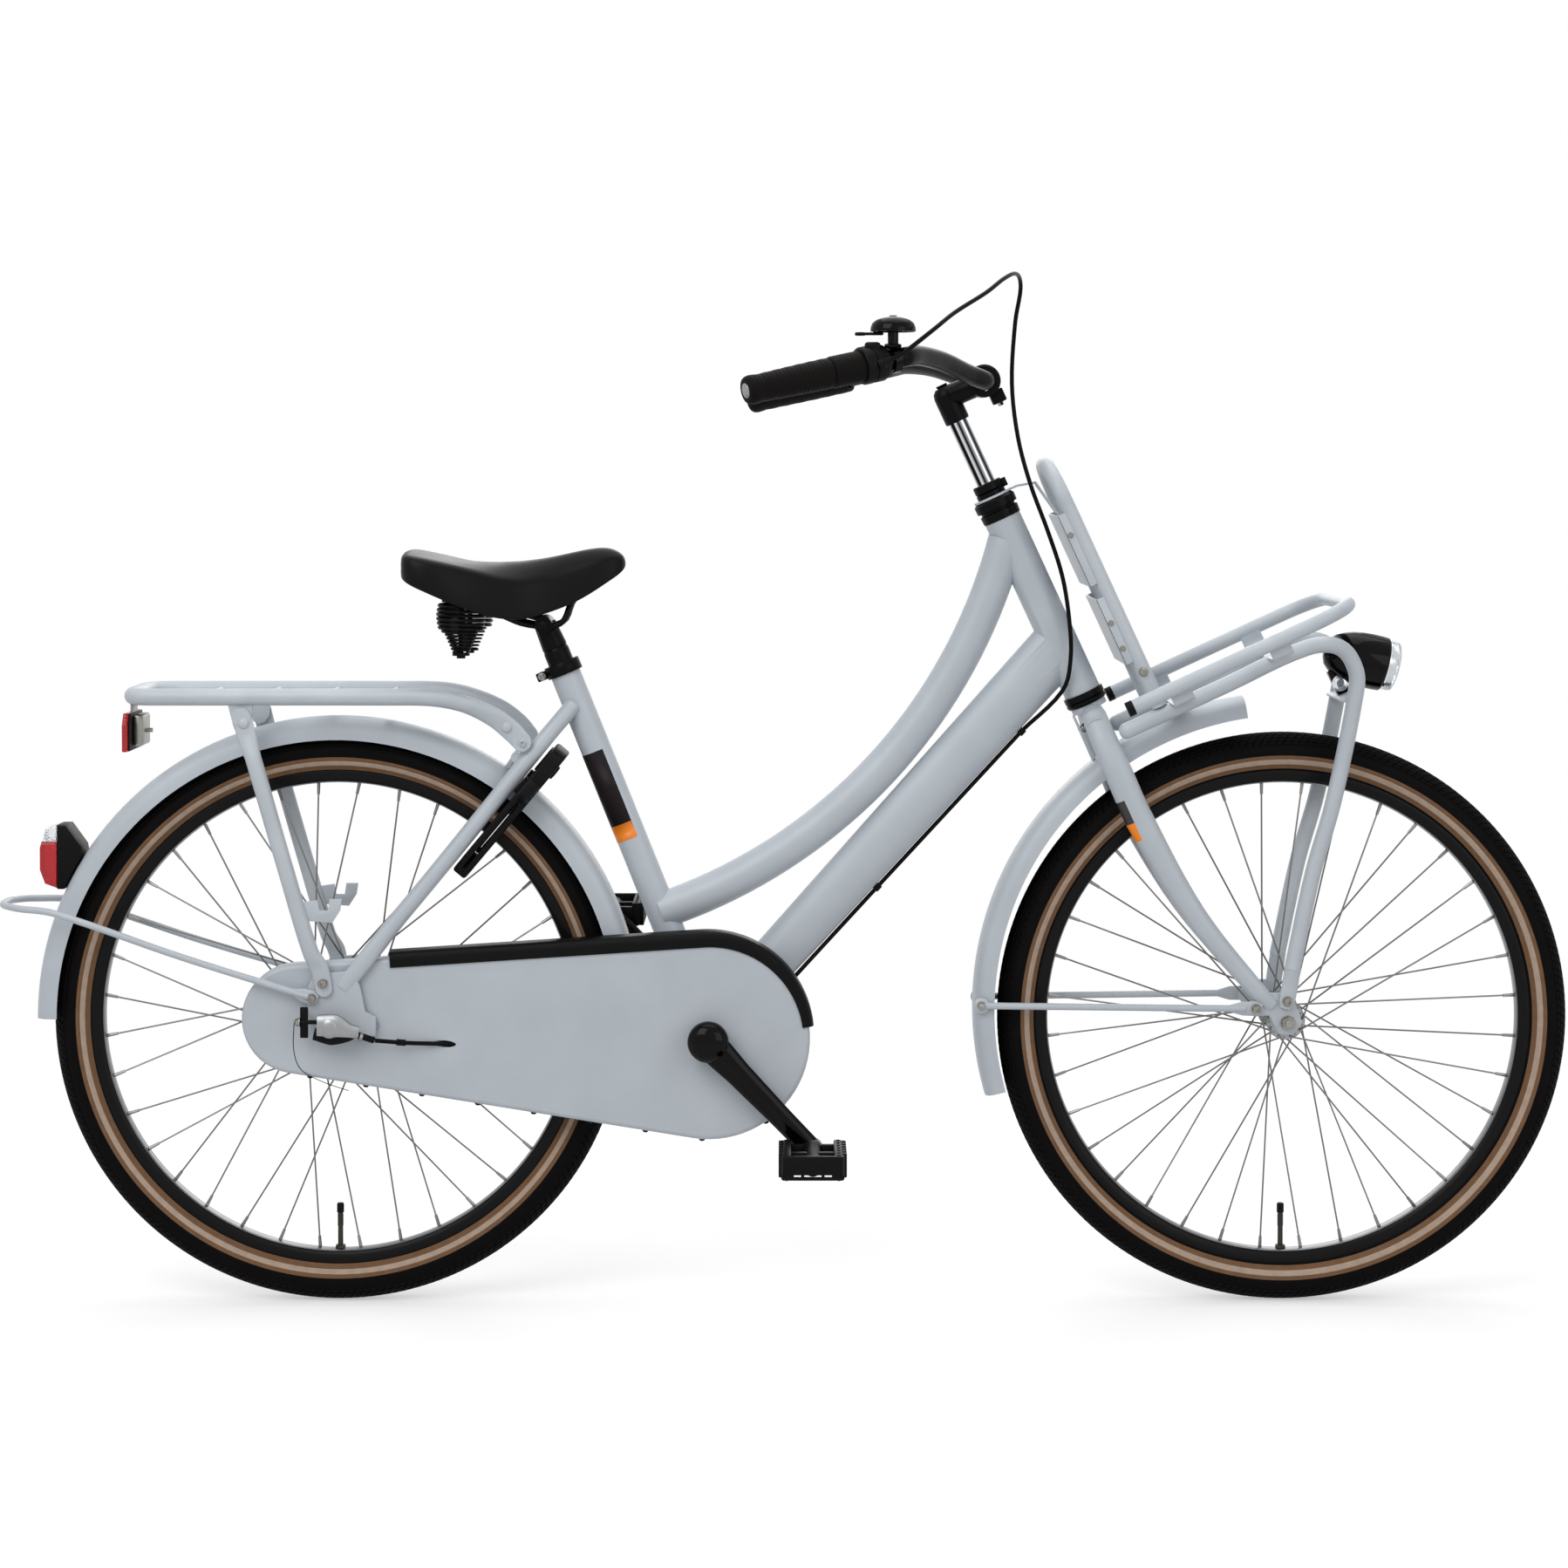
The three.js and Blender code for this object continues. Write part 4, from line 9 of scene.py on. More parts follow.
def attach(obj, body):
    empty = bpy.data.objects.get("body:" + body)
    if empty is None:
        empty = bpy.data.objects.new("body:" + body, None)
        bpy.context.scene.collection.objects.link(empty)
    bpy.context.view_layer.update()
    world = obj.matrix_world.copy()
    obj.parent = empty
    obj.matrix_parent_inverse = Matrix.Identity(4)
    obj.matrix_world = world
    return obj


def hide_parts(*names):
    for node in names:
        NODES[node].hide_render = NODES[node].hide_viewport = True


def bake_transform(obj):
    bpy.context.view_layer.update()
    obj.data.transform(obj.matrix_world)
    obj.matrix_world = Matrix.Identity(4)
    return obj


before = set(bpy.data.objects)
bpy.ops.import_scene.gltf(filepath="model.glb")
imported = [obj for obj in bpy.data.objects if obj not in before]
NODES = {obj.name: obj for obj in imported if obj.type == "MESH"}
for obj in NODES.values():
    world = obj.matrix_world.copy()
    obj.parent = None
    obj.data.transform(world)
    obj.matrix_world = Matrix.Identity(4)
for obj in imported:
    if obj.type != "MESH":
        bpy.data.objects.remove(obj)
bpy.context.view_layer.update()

bl_info = {
    "name": "City bicycle finish",
    "version": (1, 0, 0),
    "blender": (4, 5, 0),
    "location": "3D View > Sidebar > Bicycle",
    "description": "Dresses the packed city bicycle in round tubes, paint, rubber, leather and lamps",
    "category": "Object",
}

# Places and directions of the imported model; MM turns millimetres into the scene's metres
MM = 0.001
REAR_AXLE = (-515.46, 0.0, 329.5)
FRONT_AXLE = (575.54, 0.0, 329.5)
CROWN = (350.719, 0.0, 691.371)
BRACKET = (-86.762, 0.0, 312.0)
CLAMP = (229.310, 0.0, 1063.791)
GRIP_TIP = (-267, -297, -16.5)
HEAD_LEAN = math.radians(24.8)
SEAT_LEAN = math.radians(21.9)
X, Y, Z = Vector((1, 0, 0)), Vector((0, 1, 0)), Vector((0, 0, 1))
UP_HEAD = Vector((-math.sin(HEAD_LEAN), 0, math.cos(HEAD_LEAN)))
AHEAD = Vector((math.cos(HEAD_LEAN), 0, math.sin(HEAD_LEAN)))
UP_SEAT = Vector((-math.sin(SEAT_LEAN), 0, math.cos(SEAT_LEAN)))
GRIP_WAY = Vector((-0.881062, -0.429723, -0.197657))
WHEELS = {"front": FRONT_AXLE, "rear": REAR_AXLE}
SIDES = {"right": -1, "left": 1}
SAME = 0.000004


def at(x, y, z):
    """A point of the bicycle, given in millimetres."""
    return Vector((x, y, z)) * MM


REAR_AT, FRONT_AT, CROWN_AT, BRACKET_AT = at(*REAR_AXLE), at(*FRONT_AXLE), at(*CROWN), at(*BRACKET)
STEER_PLACE = Matrix.Translation(CROWN_AT) @ Matrix.Rotation(-HEAD_LEAN, 4, "Y")


def steer(u, y, w):
    """A point of the steering group: forward of, beside and up its axis from the crown."""
    return CROWN_AT + (AHEAD * u + Y * y + UP_HEAD * w) * MM


def rear(x, y, z):
    """A point measured from the rear axle."""
    return at(REAR_AXLE[0] + x, y, REAR_AXLE[2] + z)


def seat(distance):
    """A point up the seat tube from the bracket."""
    return BRACKET_AT + UP_SEAT * distance * MM


def cockpit(x, y, z):
    """A point measured from the middle of the handlebar's clamp."""
    return at(CLAMP[0] + x, y, CLAMP[2] + z)


def grip_line(distance):
    """A point on the right grip's axis, a distance from the bar's tip."""
    return cockpit(*GRIP_TIP) - GRIP_WAY * distance * MM


def circle(radius, degrees):
    """A point of a circle round the origin in the side view."""
    return Vector((math.cos(math.radians(degrees)), 0, math.sin(math.radians(degrees)))) * radius


def beside(point, side):
    """A point given for one side, put on a side of the bicycle."""
    x, y, z = point
    return at(x, side * y, z)


def other_side(points):
    """The same points on the other side of the bicycle."""
    return [Vector((p.x, -p.y, p.z)) for p in points]


def hoop(half):
    """A path that goes back on the other side of the bicycle from its last point, which is in the middle."""
    return half + other_side(half[:-1])[::-1]


def mirrored(profile):
    """A profile's other half, in the order that goes on from it."""
    return [(r, -y) for r, y in reversed(profile)]


# Bmesh helpers


def refine(points, sizes, steps):
    """Points and sizes of a smooth curve through the given ones."""
    last = len(points) - 1
    ways = [(points[min(i + 1, last)] - points[max(i - 1, 0)]).normalized() for i in range(last + 1)]
    path, out = [], []
    for i in range(last):
        reach = (points[i + 1] - points[i]).length / 3
        bend = interpolate_bezier(points[i], points[i] + ways[i] * reach,
                                  points[i + 1] - ways[i + 1] * reach, points[i + 1], steps + 1)
        for k, point in enumerate(bend[:-1]):
            path.append(Vector(point))
            out.append(tuple(a + (b - a) * k / steps for a, b in zip(sizes[i], sizes[i + 1])))
    return path + [points[-1].copy()], out + [tuple(sizes[-1])]


def sweep(bm, path, sizes, sides=24, across=None):
    """A limb along a path, capped: round, or flat where its first direction across is given.

    Each size is (half width, half depth) in millimetres.
    """
    last = len(path) - 1
    flat = across is not None
    if not flat:
        across = Y if abs((path[1] - path[0]).normalized().y) < 0.9 else X
    before, edges = None, []
    for i, (point, (wide, deep)) in enumerate(zip(path, sizes)):
        along = (path[min(i + 1, last)] - path[max(i - 1, 0)]).normalized()
        across = (across - along * across.dot(along)).normalized()
        up = along.cross(across)
        here = Matrix((across * wide * MM, up * deep * MM, along * MM)).transposed().to_4x4()
        here.translation = point
        if before is None:
            if flat:
                ring = bmesh.ops.create_grid(bm, x_segments=1, y_segments=1, size=1, matrix=here)["verts"]
            else:
                ring = bmesh.ops.create_circle(bm, cap_ends=True, segments=sides, radius=1,
                                               matrix=here)["verts"]
            edges = list({e for v in ring for e in v.link_edges})
        else:
            made = bmesh.ops.extrude_edge_only(bm, edges=edges)["geom"]
            ring = {g for g in made if isinstance(g, bmesh.types.BMVert)}
            bmesh.ops.transform(bm, matrix=here @ before.inverted(), verts=list(ring))
            edges = [g for g in made if isinstance(g, bmesh.types.BMEdge) and set(g.verts) <= ring]
        before = here
    bmesh.ops.edgeloop_fill(bm, edges=edges)


def limb(bm, points, sizes, steps=5, sides=24):
    """A limb of changing section through a few points."""
    sweep(bm, *refine(points, sizes, steps), sides)


def limbs(bm, points, sizes, steps, sides):
    """The same limb on both sides of the bicycle."""
    limb(bm, points, sizes, steps, sides)
    limb(bm, other_side(points), sizes, steps, sides)


def tube(bm, points, diameter, steps=6, sides=16):
    """A round tube through a few points."""
    limb(bm, points, [(diameter / 2, diameter / 2)] * len(points), steps, sides)


def rod(bm, start, end, diameter, end_diameter=None, sides=24):
    """A straight round bar, tapered where a second diameter is given."""
    way = end - start
    place = Matrix.Translation((start + end) / 2) @ way.to_track_quat("Z", "Y").to_matrix().to_4x4()
    bmesh.ops.create_cone(bm, cap_ends=True, segments=sides, radius1=diameter / 2 * MM,
                          radius2=(end_diameter or diameter) / 2 * MM, depth=way.length, matrix=place)


def turn(bm, profile, origin, axis, steps=48, closed=False):
    """A body turned about an axis; the profile's points are (radius, distance along) in millimetres."""
    axis = axis.normalized()
    side = axis.orthogonal().normalized()
    verts = [bm.verts.new(origin + (side * r + axis * d) * MM) for r, d in profile]
    edges = [bm.edges.new(pair) for pair in zip(verts, verts[1:])]
    if closed:
        edges.append(bm.edges.new((verts[-1], verts[0])))
    bmesh.ops.spin(bm, geom=verts + edges, cent=origin, axis=axis, dvec=(0, 0, 0), angle=math.tau,
                   steps=steps, use_merge=True, use_duplicate=False)


def pipe(bm, origin, way, length, outer, inner, sides=40):
    """An open tube with its bore."""
    profile = [(inner / 2, 0), (outer / 2, 0), (outer / 2, length), (inner / 2, length)]
    turn(bm, profile, origin, way, sides, closed=True)


def bevelled(bm, faces_or_verts, bevel, segments=2):
    """Eases all edges of some faces or vertices."""
    edges = {e for g in faces_or_verts
             for e in (g.edges if isinstance(g, bmesh.types.BMFace) else g.link_edges)}
    bmesh.ops.bevel(bm, geom=list(edges), offset=bevel * MM, segments=segments, profile=0.5, affect="EDGES",
                    material=-1, clamp_overlap=True)


def block(bm, low, high, bevel, place=None):
    """A box between two corners in millimetres, with its edges eased."""
    size = [(h - l) * MM for l, h in zip(low, high)]
    middle = Vector([(l + h) / 2 * MM for l, h in zip(low, high)])
    matrix = (place or Matrix()) @ Matrix.Translation(middle) @ Matrix.Diagonal((*size, 1))
    bevelled(bm, bmesh.ops.create_cube(bm, size=1, matrix=matrix)["verts"], bevel)


def plate(bm, outline, y_from, y_to, bevel=0.0, place=None, segments=2):
    """A flat plate: its outline in the side view, between two distances across the bicycle."""
    place = place or Matrix()
    face = bm.faces.new([bm.verts.new(place @ at(x, y_from, z)) for x, z in outline])
    made = bmesh.ops.extrude_face_region(bm, geom=[face])["geom"]
    moved = [g for g in made if isinstance(g, bmesh.types.BMVert)]
    bmesh.ops.translate(bm, verts=moved, vec=place.to_3x3() @ Vector((0, (y_to - y_from) * MM, 0)))
    if bevel:
        bevelled(bm, [face, *[g for g in made if isinstance(g, bmesh.types.BMFace)]], bevel, segments)


def socket_bolt(bm, centre, axis, diameter, height):
    """A round bolt head with the pit of its hexagon key, on a thin washer."""
    r, pit = diameter / 2, diameter * 0.28
    profile = [(0, 0.45), (pit, 0.45), (pit, 1), (r * 0.82, 1), (r, 0.75), (r, 0.2), (r * 1.25, 0.18),
               (r * 1.25, 0), (0, 0)]
    turn(bm, [(radius, height * share) for radius, share in profile], centre, axis, 24)


def nut(bm, centre, axis, across, height):
    """A hexagon nut on a washer, with its stud's rounded end."""
    axis = axis.normalized()
    rod(bm, centre, centre + axis * height * 0.2 * MM, across * 1.35)
    rod(bm, centre, centre + axis * height * MM, across * 1.15, across * 1.12, 6)
    turn(bm, [(0, height * 1.3), (across * 0.2, height * 1.28), (across * 0.3, height * 1.15),
              (across * 0.3, height * 0.9)], centre, axis, 16)


def mark(bm, index):
    """Gives the faces made since the last call one of the piece's materials.

    Faces that are never marked have the first.
    """
    marked = bm.faces.layers.int.get("marked") or bm.faces.layers.int.new("marked")
    for face in bm.faces:
        if not face[marked]:
            face.material_index = index
            face[marked] = 1


def settle(bm, name, looks, body, replaced=None, crease=38):
    """Makes the piece: round where it is round, sharp at its edges, riding on its body."""
    bmesh.ops.remove_doubles(bm, verts=bm.verts, dist=SAME)
    bmesh.ops.recalc_face_normals(bm, faces=bm.faces)
    for face in bm.faces:
        face.smooth = True
    for edge in bm.edges:
        edge.smooth = edge.calc_face_angle(0) < math.radians(crease)
    mesh = bpy.data.meshes.new(name)
    bm.to_mesh(mesh)
    bm.free()
    for look in looks.split():
        mesh.materials.append(FINISH[look])
    piece = bpy.data.objects.new(name, mesh)
    bpy.context.scene.collection.objects.link(piece)
    if body:
        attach(piece, body)
    if replaced:
        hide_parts(replaced)
    return piece


def carve(piece, *rooms):
    """Cuts rooms out of a piece; each is a call that fills a bmesh with the room's shape."""
    cutters = []
    for room in rooms:
        bm = bmesh.new()
        room(bm)
        cutters.append(settle(bm, "room", "", None))
    for cutter in cutters:
        cut = piece.modifiers.new("cut", "BOOLEAN")
        cut.operation, cut.solver, cut.object = "DIFFERENCE", "EXACT", cutter
        cut.use_self = True
    bpy.context.view_layer.update()
    shape = piece.evaluated_get(bpy.context.evaluated_depsgraph_get())
    old, mesh = piece.data, bpy.data.meshes.new_from_object(shape)
    piece.modifiers.clear()
    piece.data = mesh
    bpy.data.meshes.remove(old)
    for cutter in cutters:
        bpy.data.objects.remove(cutter)
    bm = bmesh.new()
    bm.from_mesh(mesh)
    for edge in bm.edges:
        edge.smooth = edge.calc_face_angle(0) < math.radians(38)
    for face in bm.faces:
        if abs(face.normal.y) > 0.9999:
            face.smooth = False
            for edge in face.edges:
                edge.smooth = False
    bm.to_mesh(mesh)
    bm.free()
    # Plate sides are flat, and long faces beside small ones stay so
    piece.modifiers.new("flats", "WEIGHTED_NORMAL").keep_sharp = True


# Materials


def linear(code):
    """An sRGB hex colour as linear red, green, blue and alpha."""
    parts = [int(code[i:i + 2], 16) / 255 for i in (1, 3, 5)]
    return (*[c / 12.92 if c <= 0.04045 else ((c + 0.055) / 1.055) ** 2.4 for c in parts], 1.0)


def add(tree, kind, links=(), **settings):
    """Adds a shader node: settings by attribute or by input name, links as (input, output) pairs."""
    node = tree.nodes.new("ShaderNode" + kind)
    for key, value in settings.items():
        if hasattr(node, key) and key not in node.inputs:
            setattr(node, key, value)
        else:
            node.inputs[key.replace("_", " ")].default_value = value
    for key, output in links:
        tree.links.new(node.inputs[key], output)
    return node


def feed(tree, kind, operation, values):
    """A node that reckons; each value is a constant or another node's output."""
    node = add(tree, kind, operation=operation)
    for socket, value in zip(node.inputs, values):
        if isinstance(value, bpy.types.NodeSocket):
            tree.links.new(socket, value)
        else:
            socket.default_value = value
    return node


def reckon(tree, operation, *values):
    """The result of a sum on numbers."""
    return feed(tree, "Math", operation, values).outputs[0]


def reckon_vector(tree, operation, *values):
    """The result of a sum on vectors: a number for a dot product or a length."""
    node = feed(tree, "VectorMath", operation, values)
    return node.outputs["Value" if operation in ("DOT_PRODUCT", "LENGTH") else "Vector"]


def span(tree, value, **limits):
    """A value led from one range to another."""
    return add(tree, "MapRange", [("Value", value)], **limits).outputs[0]


def between(tree, factor, low, high, low_at=0.3, high_at=0.7):
    """Runs between two colours with a factor."""
    ramp = add(tree, "ValToRGB", [("Fac", factor)])
    stops = ramp.color_ramp.elements
    stops[0].position, stops[0].color = low_at, linear(low)
    stops[1].position, stops[1].color = high_at, linear(high)
    return ramp.outputs["Color"]


def seen(tree):
    """One where a ray comes straight from the camera or off a glossy surface."""
    ray = add(tree, "LightPath").outputs
    return reckon(tree, "MAXIMUM", ray["Is Camera Ray"], ray["Is Glossy Ray"])


class Surface:
    """A material in the making, with its shader's fixed values."""

    def __init__(self, name, **values):
        self.material = bpy.data.materials.new(name)
        self.material.use_nodes = True
        self.tree = self.material.node_tree
        self.shader = self.tree.nodes["Principled BSDF"]
        for key, value in values.items():
            self.shader.inputs[key.replace("_", " ")].default_value = value
        self.place = add(self.tree, "TexCoord").outputs["Object"]
        self.material.diffuse_color = self.shader.inputs["Base Color"].default_value

    def give(self, key, output):
        """Leads an output to one of the shader's inputs."""
        self.tree.links.new(self.shader.inputs[key], output)

    def blotch(self, size, place=None):
        """Soft noise whose patches are about the given size in millimetres."""
        place = self.place if place is None else place
        return add(self.tree, "TexNoise", [("Vector", place)], Scale=1000 / size, Detail=3.0).outputs["Fac"]

    def rough(self, size, low, high):
        """Lets the gloss wander between two roughness values, in patches of a size."""
        self.give("Roughness", span(self.tree, self.blotch(size), To_Min=low, To_Max=high))

    def relief(self, height, strength, depth):
        """A surface relief; depth is its real height in millimetres."""
        node = add(self.tree, "Bump", [("Height", height)], Strength=strength, Distance=depth * MM)
        self.give("Normal", node.outputs[0])

    def along(self, way, place=None):
        """The distance along a direction."""
        return reckon_vector(self.tree, "DOT_PRODUCT", self.place if place is None else place, way)

    def slab(self, origin, way, low, high):
        """One between two planes across a direction, at distances in millimetres from a point."""
        moved = reckon_vector(self.tree, "SUBTRACT", self.place, origin)
        middle, half = (low + high) / 2 * MM, (high - low) / 2 * MM
        return reckon(self.tree, "COMPARE", self.along(way, moved), middle, half)

    def wheel_share(self, axle, low, high):
        """Nought to one between two radii of a wheel, in millimetres."""
        moved = reckon_vector(self.tree, "SUBTRACT", self.place, at(*axle))
        flat = reckon_vector(self.tree, "MULTIPLY", moved, (1, 0, 1))
        radius = reckon_vector(self.tree, "LENGTH", flat)
        return span(self.tree, radius, From_Min=low * MM, From_Max=high * MM)


def powder_coat(name, low, high, roughness=0.4, gloss=0.5, blocks=()):
    """Powder-coated steel: baked resin with a fine orange peel, so highlights are wide and a little grainy.

    A block is a part in another colour: (origin, (direction, from, to) of its slabs, colour).
    """
    made = Surface(name, Base_Color=linear(high), IOR=1.5, Specular_IOR_Level=gloss)
    colour = between(made.tree, made.blotch(60), low, high)
    for origin, slabs, code in blocks:
        inside = 1.0
        for slab in slabs:
            inside = reckon(made.tree, "MULTIPLY", inside, made.slab(origin, *slab))
        mixed = add(made.tree, "Mix", [(0, inside), (6, colour)], data_type="RGBA")
        mixed.inputs[7].default_value = linear(code)
        colour = mixed.outputs[2]
    made.give("Base Color", colour)
    made.rough(18, roughness - 0.04, roughness + 0.06)
    # The real peel is about 0.6 mm; 2 mm is the finest that shows
    made.relief(made.blotch(2), 0.12, 0.05)
    return made.material


def fork_blocks(look):
    """The small dark and orange block at the back of the fork's right blade."""
    back = ((Y, -90, 0), (AHEAD, -40, -12))
    return [(CROWN_AT, (*back, (UP_HEAD, low, high)), code)
            for low, high, code in ((-139, -111, "#231d1f"), (-161, -139, look.orange))]


def enamel(name, colour, roughness, gloss=0.08):
    """Stoved black enamel or satin paint: an even dark film with sharp or soft reflections."""
    made = Surface(name, Base_Color=linear(colour), Specular_IOR_Level=gloss)
    made.rough(12, roughness * 0.8, roughness * 1.25)
    made.relief(made.blotch(3), 0.05, 0.04)
    return made.material


def plated(name, colour, roughness, grain=2.0):
    """Plated or bare steel and cast aluminium: a metal with light handling marks."""
    made = Surface(name, Base_Color=linear(colour), Metallic=1.0)
    made.rough(grain * 4, roughness * 0.7, roughness * 1.4)
    made.relief(made.blotch(grain), 0.06, 0.03)
    return made.material


def chrome_with_painted_reflections(name, dark, bright):
    """Chrome-plated drawn tube; dark and bright streaks along its length are painted reflections in its
    colour.
    """
    made = Surface(name, Base_Color=linear(bright), Metallic=1.0, Roughness=0.14)
    flat = add(made.tree, "CombineXYZ", [("X", made.along(AHEAD)), ("Y", made.along(Y))]).outputs[0]
    # Painted reflections: the colour runs dark and bright in streaks along the steering axis
    made.give("Base Color", between(made.tree, made.blotch(7, flat), dark, bright, 0.46, 0.6))
    return made.material


def moulded(name, colour, roughness, texture=0.8):
    """Moulded ABS: a spark-eroded texture gives a dry, dull black."""
    made = Surface(name, Base_Color=linear(colour), Specular_IOR_Level=0.09)
    made.rough(8, roughness - 0.06, roughness + 0.08)
    # The mould's grit is about 0.15 mm; drawn coarser so that it shows
    made.relief(made.blotch(texture), 0.25, 0.06)
    return made.material


def tyre_rubber(name, axle, look, bands):
    """Vulcanised carbon-black rubber; the wall's tan stripe has a woven reflecting ribbon in its middle."""
    made = Surface(name, Base_Color=linear(look.rubber), Specular_IOR_Level=0.06)
    low, high = 284, 309
    ramp = add(made.tree, "ValToRGB", [("Fac", made.wheel_share(axle, low, high))])
    ramp.color_ramp.interpolation = "CONSTANT"
    stops = ramp.color_ramp.elements
    stops[0].position, stops[0].color = 0.0, linear(look.rubber)
    stops[1].color = linear(look.rubber)
    *starts, stops[1].position = [(band - low) / (high - low) for band in bands]
    for position, colour in zip(starts, (look.tan, look.ribbon, look.tan)):
        stops.new(position).color = linear(colour)
    dust = between(made.tree, made.blotch(9), "#d8d8d8", "#ffffff")
    mixed = add(made.tree, "Mix", [(6, ramp.outputs["Color"]), (7, dust)], data_type="RGBA",
                blend_type="MULTIPLY")
    mixed.inputs[0].default_value = 0.5
    made.give("Base Color", mixed.outputs[2])
    made.rough(14, 0.55, 0.75)
    made.relief(made.blotch(1.6), 0.2, 0.1)
    return made.material


def anodised_rim(name, axle):
    """Black anodised aluminium, with the bright turned edge beside the spokes."""
    made = Surface(name, Base_Color=linear("#060607"), Specular_IOR_Level=0.12)
    share = made.wheel_share(axle, 272.4, 273.0)
    made.give("Base Color", between(made.tree, share, "#7b7c7e", "#060607", 0.4, 0.6))
    made.give("Metallic", reckon(made.tree, "SUBTRACT", 1.0, share))
    made.rough(20, 0.28, 0.42)
    return made.material


def saddle_cover(name, colour):
    """Polyurethane-coated cloth over foam: a fine leather-like grain with a soft sheen."""
    made = Surface(name, Base_Color=linear(colour), Specular_IOR_Level=0.12)
    made.rough(25, 0.36, 0.5)
    # Grain cells about 2 mm across
    grain = add(made.tree, "TexVoronoi", [("Vector", made.place)], Scale=520.0, feature="DISTANCE_TO_EDGE")
    made.relief(grain.outputs["Distance"], 0.25, 0.12)
    return made.material


def grip_rubber(name, colour, pitch, way=None):
    """Thermoplastic rubber with raised dots, or with rings across a direction."""
    made = Surface(name, Base_Color=linear(colour), Roughness=0.62, Specular_IOR_Level=0.08)
    if way is None:
        cells = add(made.tree, "TexVoronoi", [("Vector", made.place)], Scale=1000 / pitch)
        made.relief(cells.outputs["Distance"], 0.8, 0.5)
    else:
        made.relief(reckon(made.tree, "PINGPONG", made.along(way), pitch / 2 * MM), 0.22, 1000.0)
    return made.material


def lens(name, colour, pitch, transmission=0.55):
    """Moulded acrylic lens: clear colour over a grid of small prisms."""
    made = Surface(name, Base_Color=linear(colour), Roughness=0.12, IOR=1.49,
                   Transmission_Weight=transmission)
    prisms = add(made.tree, "TexVoronoi", [("Vector", made.place)], Scale=1000 / pitch, distance="CHEBYCHEV",
                 Randomness=0.0)
    made.relief(prisms.outputs["Distance"], 0.6, 0.8)
    return made.material


def studio_floor():
    """Matt white studio paper: white where seen from afar, taking the shadow under the wheels."""
    made = Surface("white studio paper", Base_Color=(0.6, 0.6, 0.6, 1), Roughness=0.9)
    tree, paper = made.tree, made.shader.outputs[0]
    fade = span(tree, reckon_vector(tree, "LENGTH", made.place), From_Min=1.2, From_Max=2.4)
    glow = add(tree, "Emission", Strength=0.42).outputs[0]
    white = add(tree, "Emission", Strength=1.0).outputs[0]
    lit = add(tree, "AddShader", [(0, paper), (1, glow)]).outputs[0]
    near = add(tree, "MixShader", [(0, fade), (1, lit), (2, white)]).outputs[0]
    out = add(tree, "MixShader", [(0, seen(tree)), (1, paper), (2, near)])
    tree.links.new(tree.nodes["Material Output"].inputs["Surface"], out.outputs[0])
    return made.material


FINISH = {}


def finishes(look):
    """All the finishes by short name."""
    coat, shade = powder_coat, look.paint_shade
    return {
        "paint": coat("powder coat, pale blue grey", shade, look.paint),
        "carrier": coat("powder coat, carrier grey", shade, look.carrier),
        "fork": coat("powder coat, fork", shade, look.paint, blocks=fork_blocks(look)),
        "stripe": coat("powder coat, near black", "#1d191b", "#231d1f", gloss=0.1),
        "orange": coat("powder coat, orange", "#e07a10", look.orange),
        "satin": enamel("satin black enamel", "#050506", 0.34),
        "gloss": enamel("gloss black enamel", "#020202", 0.1, 0.12),
        # The quill's chrome has painted reflections: dark and bright streaks in its colour
        "quill": chrome_with_painted_reflections("chrome, drawn tube, painted reflections", "#17181a", "#d6d9dd"),
        "chrome": plated("polished chrome", "#d5d7da", 0.08),
        "zinc": plated("zinc-plated steel", "#8f8d88", 0.34),
        "spoke": plated("stainless spoke wire", "#6d6d6c", 0.3),
        "cast": plated("cast aluminium", "#939597", 0.36),
        "nickel": plated("nickelled brass", "#7f7d7a", 0.3),
        "dark": plated("oiled steel", "#3c3935", 0.42),
        "abs": moulded("moulded black ABS", "#09090a", 0.45),
        "lining": moulded("black underside coat", "#08080a", 0.6, 2.0),
        "saddle": saddle_cover("grained saddle cover", "#060506"),
        "grip": grip_rubber("grip rubber", "#0b0807", 5.0, GRIP_WAY),
        "twist": grip_rubber("twist sleeve rubber", "#0a0807", 2.6),
        "sheath": enamel("extruded cable sheath", "#050506", 0.3),
        "red": lens("red acrylic lens", "#c3101c", 3.0),
        "clear": lens("clear acrylic lens", "#eef2f5", 3.5, 0.85),
        "front_rubber": tyre_rubber("front tyre rubber", FRONT_AXLE, look, (288, 293, 299, 303.5)),
        "rear_rubber": tyre_rubber("rear tyre rubber", REAR_AXLE, look, (286.5, 291.8, 297, 301.5)),
        "front_rim": anodised_rim("front rim, black anodised", FRONT_AXLE),
        "rear_rim": anodised_rim("rear rim, black anodised", REAR_AXLE),
    }


# Sizes and colours that a user would change


def metres(name, description, default):
    """A property that holds a length in metres."""
    return bpy.props.FloatProperty(name=name, description=description, default=default, unit="LENGTH")


def hex_colour(name, description, default):
    """A property that holds a colour, as an sRGB hex value."""
    return bpy.props.StringProperty(name=name, description=description, default=default)


class BicycleWheelSizes(bpy.types.PropertyGroup):
    """Sizes of the wheels' pieces"""
    blocks: bpy.props.IntProperty(name="Tread blocks", description="Tread blocks round the tyre", default=230,
                                  min=60, max=300)
    groove: metres("Groove depth", "Depth of the tread's grooves", 0.0013)
    spoke: metres("Spoke diameter", "Diameter of the spoke wire", 0.002)


